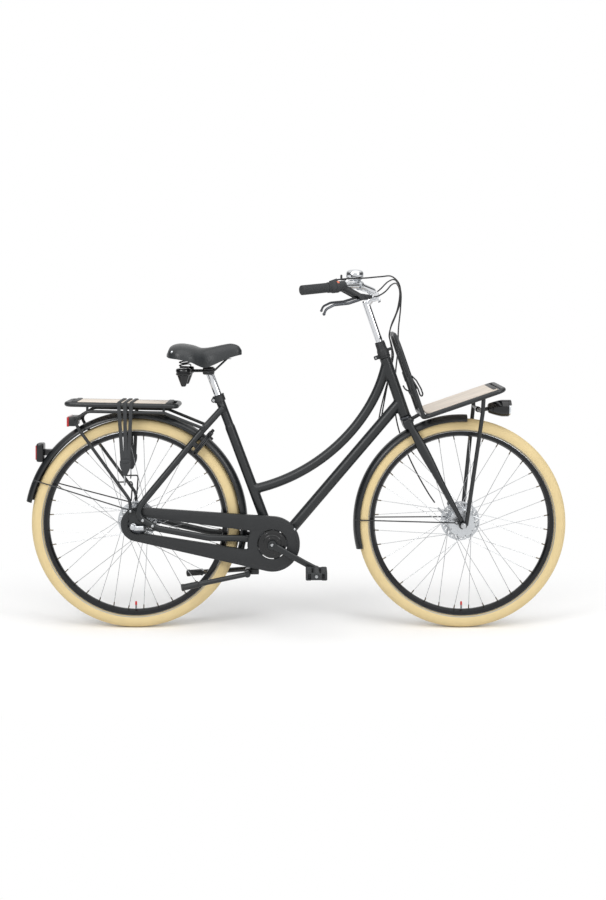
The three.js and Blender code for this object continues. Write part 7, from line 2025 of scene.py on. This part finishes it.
def dress_front_carrier():
    rear, front, half, z = basket.rear, basket.front, basket.half, basket.z
    corners = places([(rear, -half, z), (front, -half, z), (front, half, z), (rear, half, z)])
    parts = [rod(filleted(corners, basket_bends.corner, cyclic=True), basket_wires.rim, 28, cyclic=True)]
    for x in basket_cross:
        ends = places([(x, -half, basket.cross_z), (x, half, basket.cross_z)])
        parts.append(rod(ends, basket_wires.cross, 16))
    hoop = places([(rear, side * basket.hoop_half, height) for side, height in (
        (-1, z), (-1, basket.hoop_top), (1, basket.hoop_top), (1, z))])
    parts.append(rod(filleted(hoop, basket_bends.hoop, fine_bend), basket_wires.hoop, 28))
    for side in (-1, 1):
        parts += dress_carrier_side(side)
    parts.append(rod(places([(247, -116, 352), (247, 116, 352)]), basket_wires.foot_cross, 20))
    parts.append(block(spot(18.3, -12, 385), spot(22.3, 12, 403), 1 * MM))
    parts.append(rod(places([(20.6, 0, 396), (rear, 0, z)]), basket_wires.arm, 20))
    steering_piece(joined(*parts), "front_carrier_frame", satin, "satin_frame", "front_carrier", angle=40)
    bolt = hexagon(spot(22.3, 0, 388.5), 3 * MM, 0, 3 * MM, (1, 0, 0))
    steering_piece(bolt, "front_carrier_bolt", zinc, "steel")
    rear, front, half = front_board.rear, front_board.front, front_board.half
    corners = places([(rear, 0, -half), (front, 0, -half), (front, 0, half), (rear, 0, half)])
    outline = [(p.x, p.z) for p in filleted(corners, front_board.corner, cyclic=True)]
    board = plate([outline], -front_board.high, -front_board.low, 1 * MM)
    placed(board, Matrix.Rotation(-pi / 2, 4, "X"))
    steering_piece(board, "front_deck_board", wood, "wood", "front_deck")
    cap = block(spot(306.5, -104, 403.6), spot(322.5, 104, 412.6), 2.4 * MM, 3)
    steering_piece(cap, "front_deck_cap", moulded, "plastic")


# Front lamp, its profiles along X from its middle
lamp_at = Vector((0.705, 0, 0.757))
FORWARD = (1, 0, 0)
lamp_profile = pairs([
    (0, -40), (11, -40), (13.6, -38.4), (17, -36), (21.6, -22), (26, -6), (28.6, 6), (29, 10), (29, 31),
    (27.6, 31), (27.6, 26), (0, 26),
])
lens_profile = pairs([(0, 26.2), (26.6, 26.2), (27.6, 30), (27.2, 35.6), (24, 37.6), (12, 39), (0, 39.4)])
lamp_glass = finish("lamp_glass", (206, 210, 214), 0.12, metallic=0.85, grain=260, bump=0.5, coat=0.8)


def dress_front_lamp():
    case = spun(lamp_profile, lamp_at, FORWARD, 64)
    hood = spun(washer(*mm(27.8, 29, 29, 40)), lamp_at, FORWARD, 64)
    hood = hollowed(hood, block(lamp_at + spot(20, -40, -40), lamp_at + spot(50, 40, 12)))
    glass = spun(lens_profile, lamp_at, FORWARD, 64)
    at = STEER @ spot(247, 0, 352)
    clip = spun(washer(*mm(6.2, 10, -8.5, 8.5, 1)), at, steps=40)
    arm = hollowed(rod([at + spot(6.5, 0, -4.5), lamp_at - spot(32, 0, 0)], 6.6 * MM, 24),
                   spun(drum(*mm(6.2, -30, 30)), at, steps=32))
    finished(joined(case, hood, clip, arm), "front_lamp_housing", "steering_body", glossy, "lamp",
             "front_lamp", angle=40)
    finished(glass, "front_lamp_lens", "steering_body", lamp_glass, "lamp", angle=40)


dress_saddle()
dress_saddle_frame()
dress_saddle_spring("right_saddle_spring", -1)
dress_saddle_spring("left_saddle_spring", 1)
dress_seat_post()
dress_fork()
dress_headset()
dress_stem_and_bar()
dress_grips()
dress_shifter()
dress_lever("right", -1)
dress_lever("left", 1)
dress_bell()
dress_front_carrier()
dress_front_lamp()

# Finishes of the CAD nodes that stay in view
kept = {
    "satin_frame": satin, "rubber": soft_rubber, "plastic": moulded, "chrome": chromed, "steel": zinc,
    "alloy": bare_alloy, "tyre": cream, "rim": black_rim, "wood": wood, "saddle": vinyl, "lamp": glossy,
}
for subpart in frame["record"]["subparts"]:
    node = frame["nodes"][subpart["node"]]
    for material_slot in node.material_slots:
        material_slot.material = kept[subpart["material_slot"]]
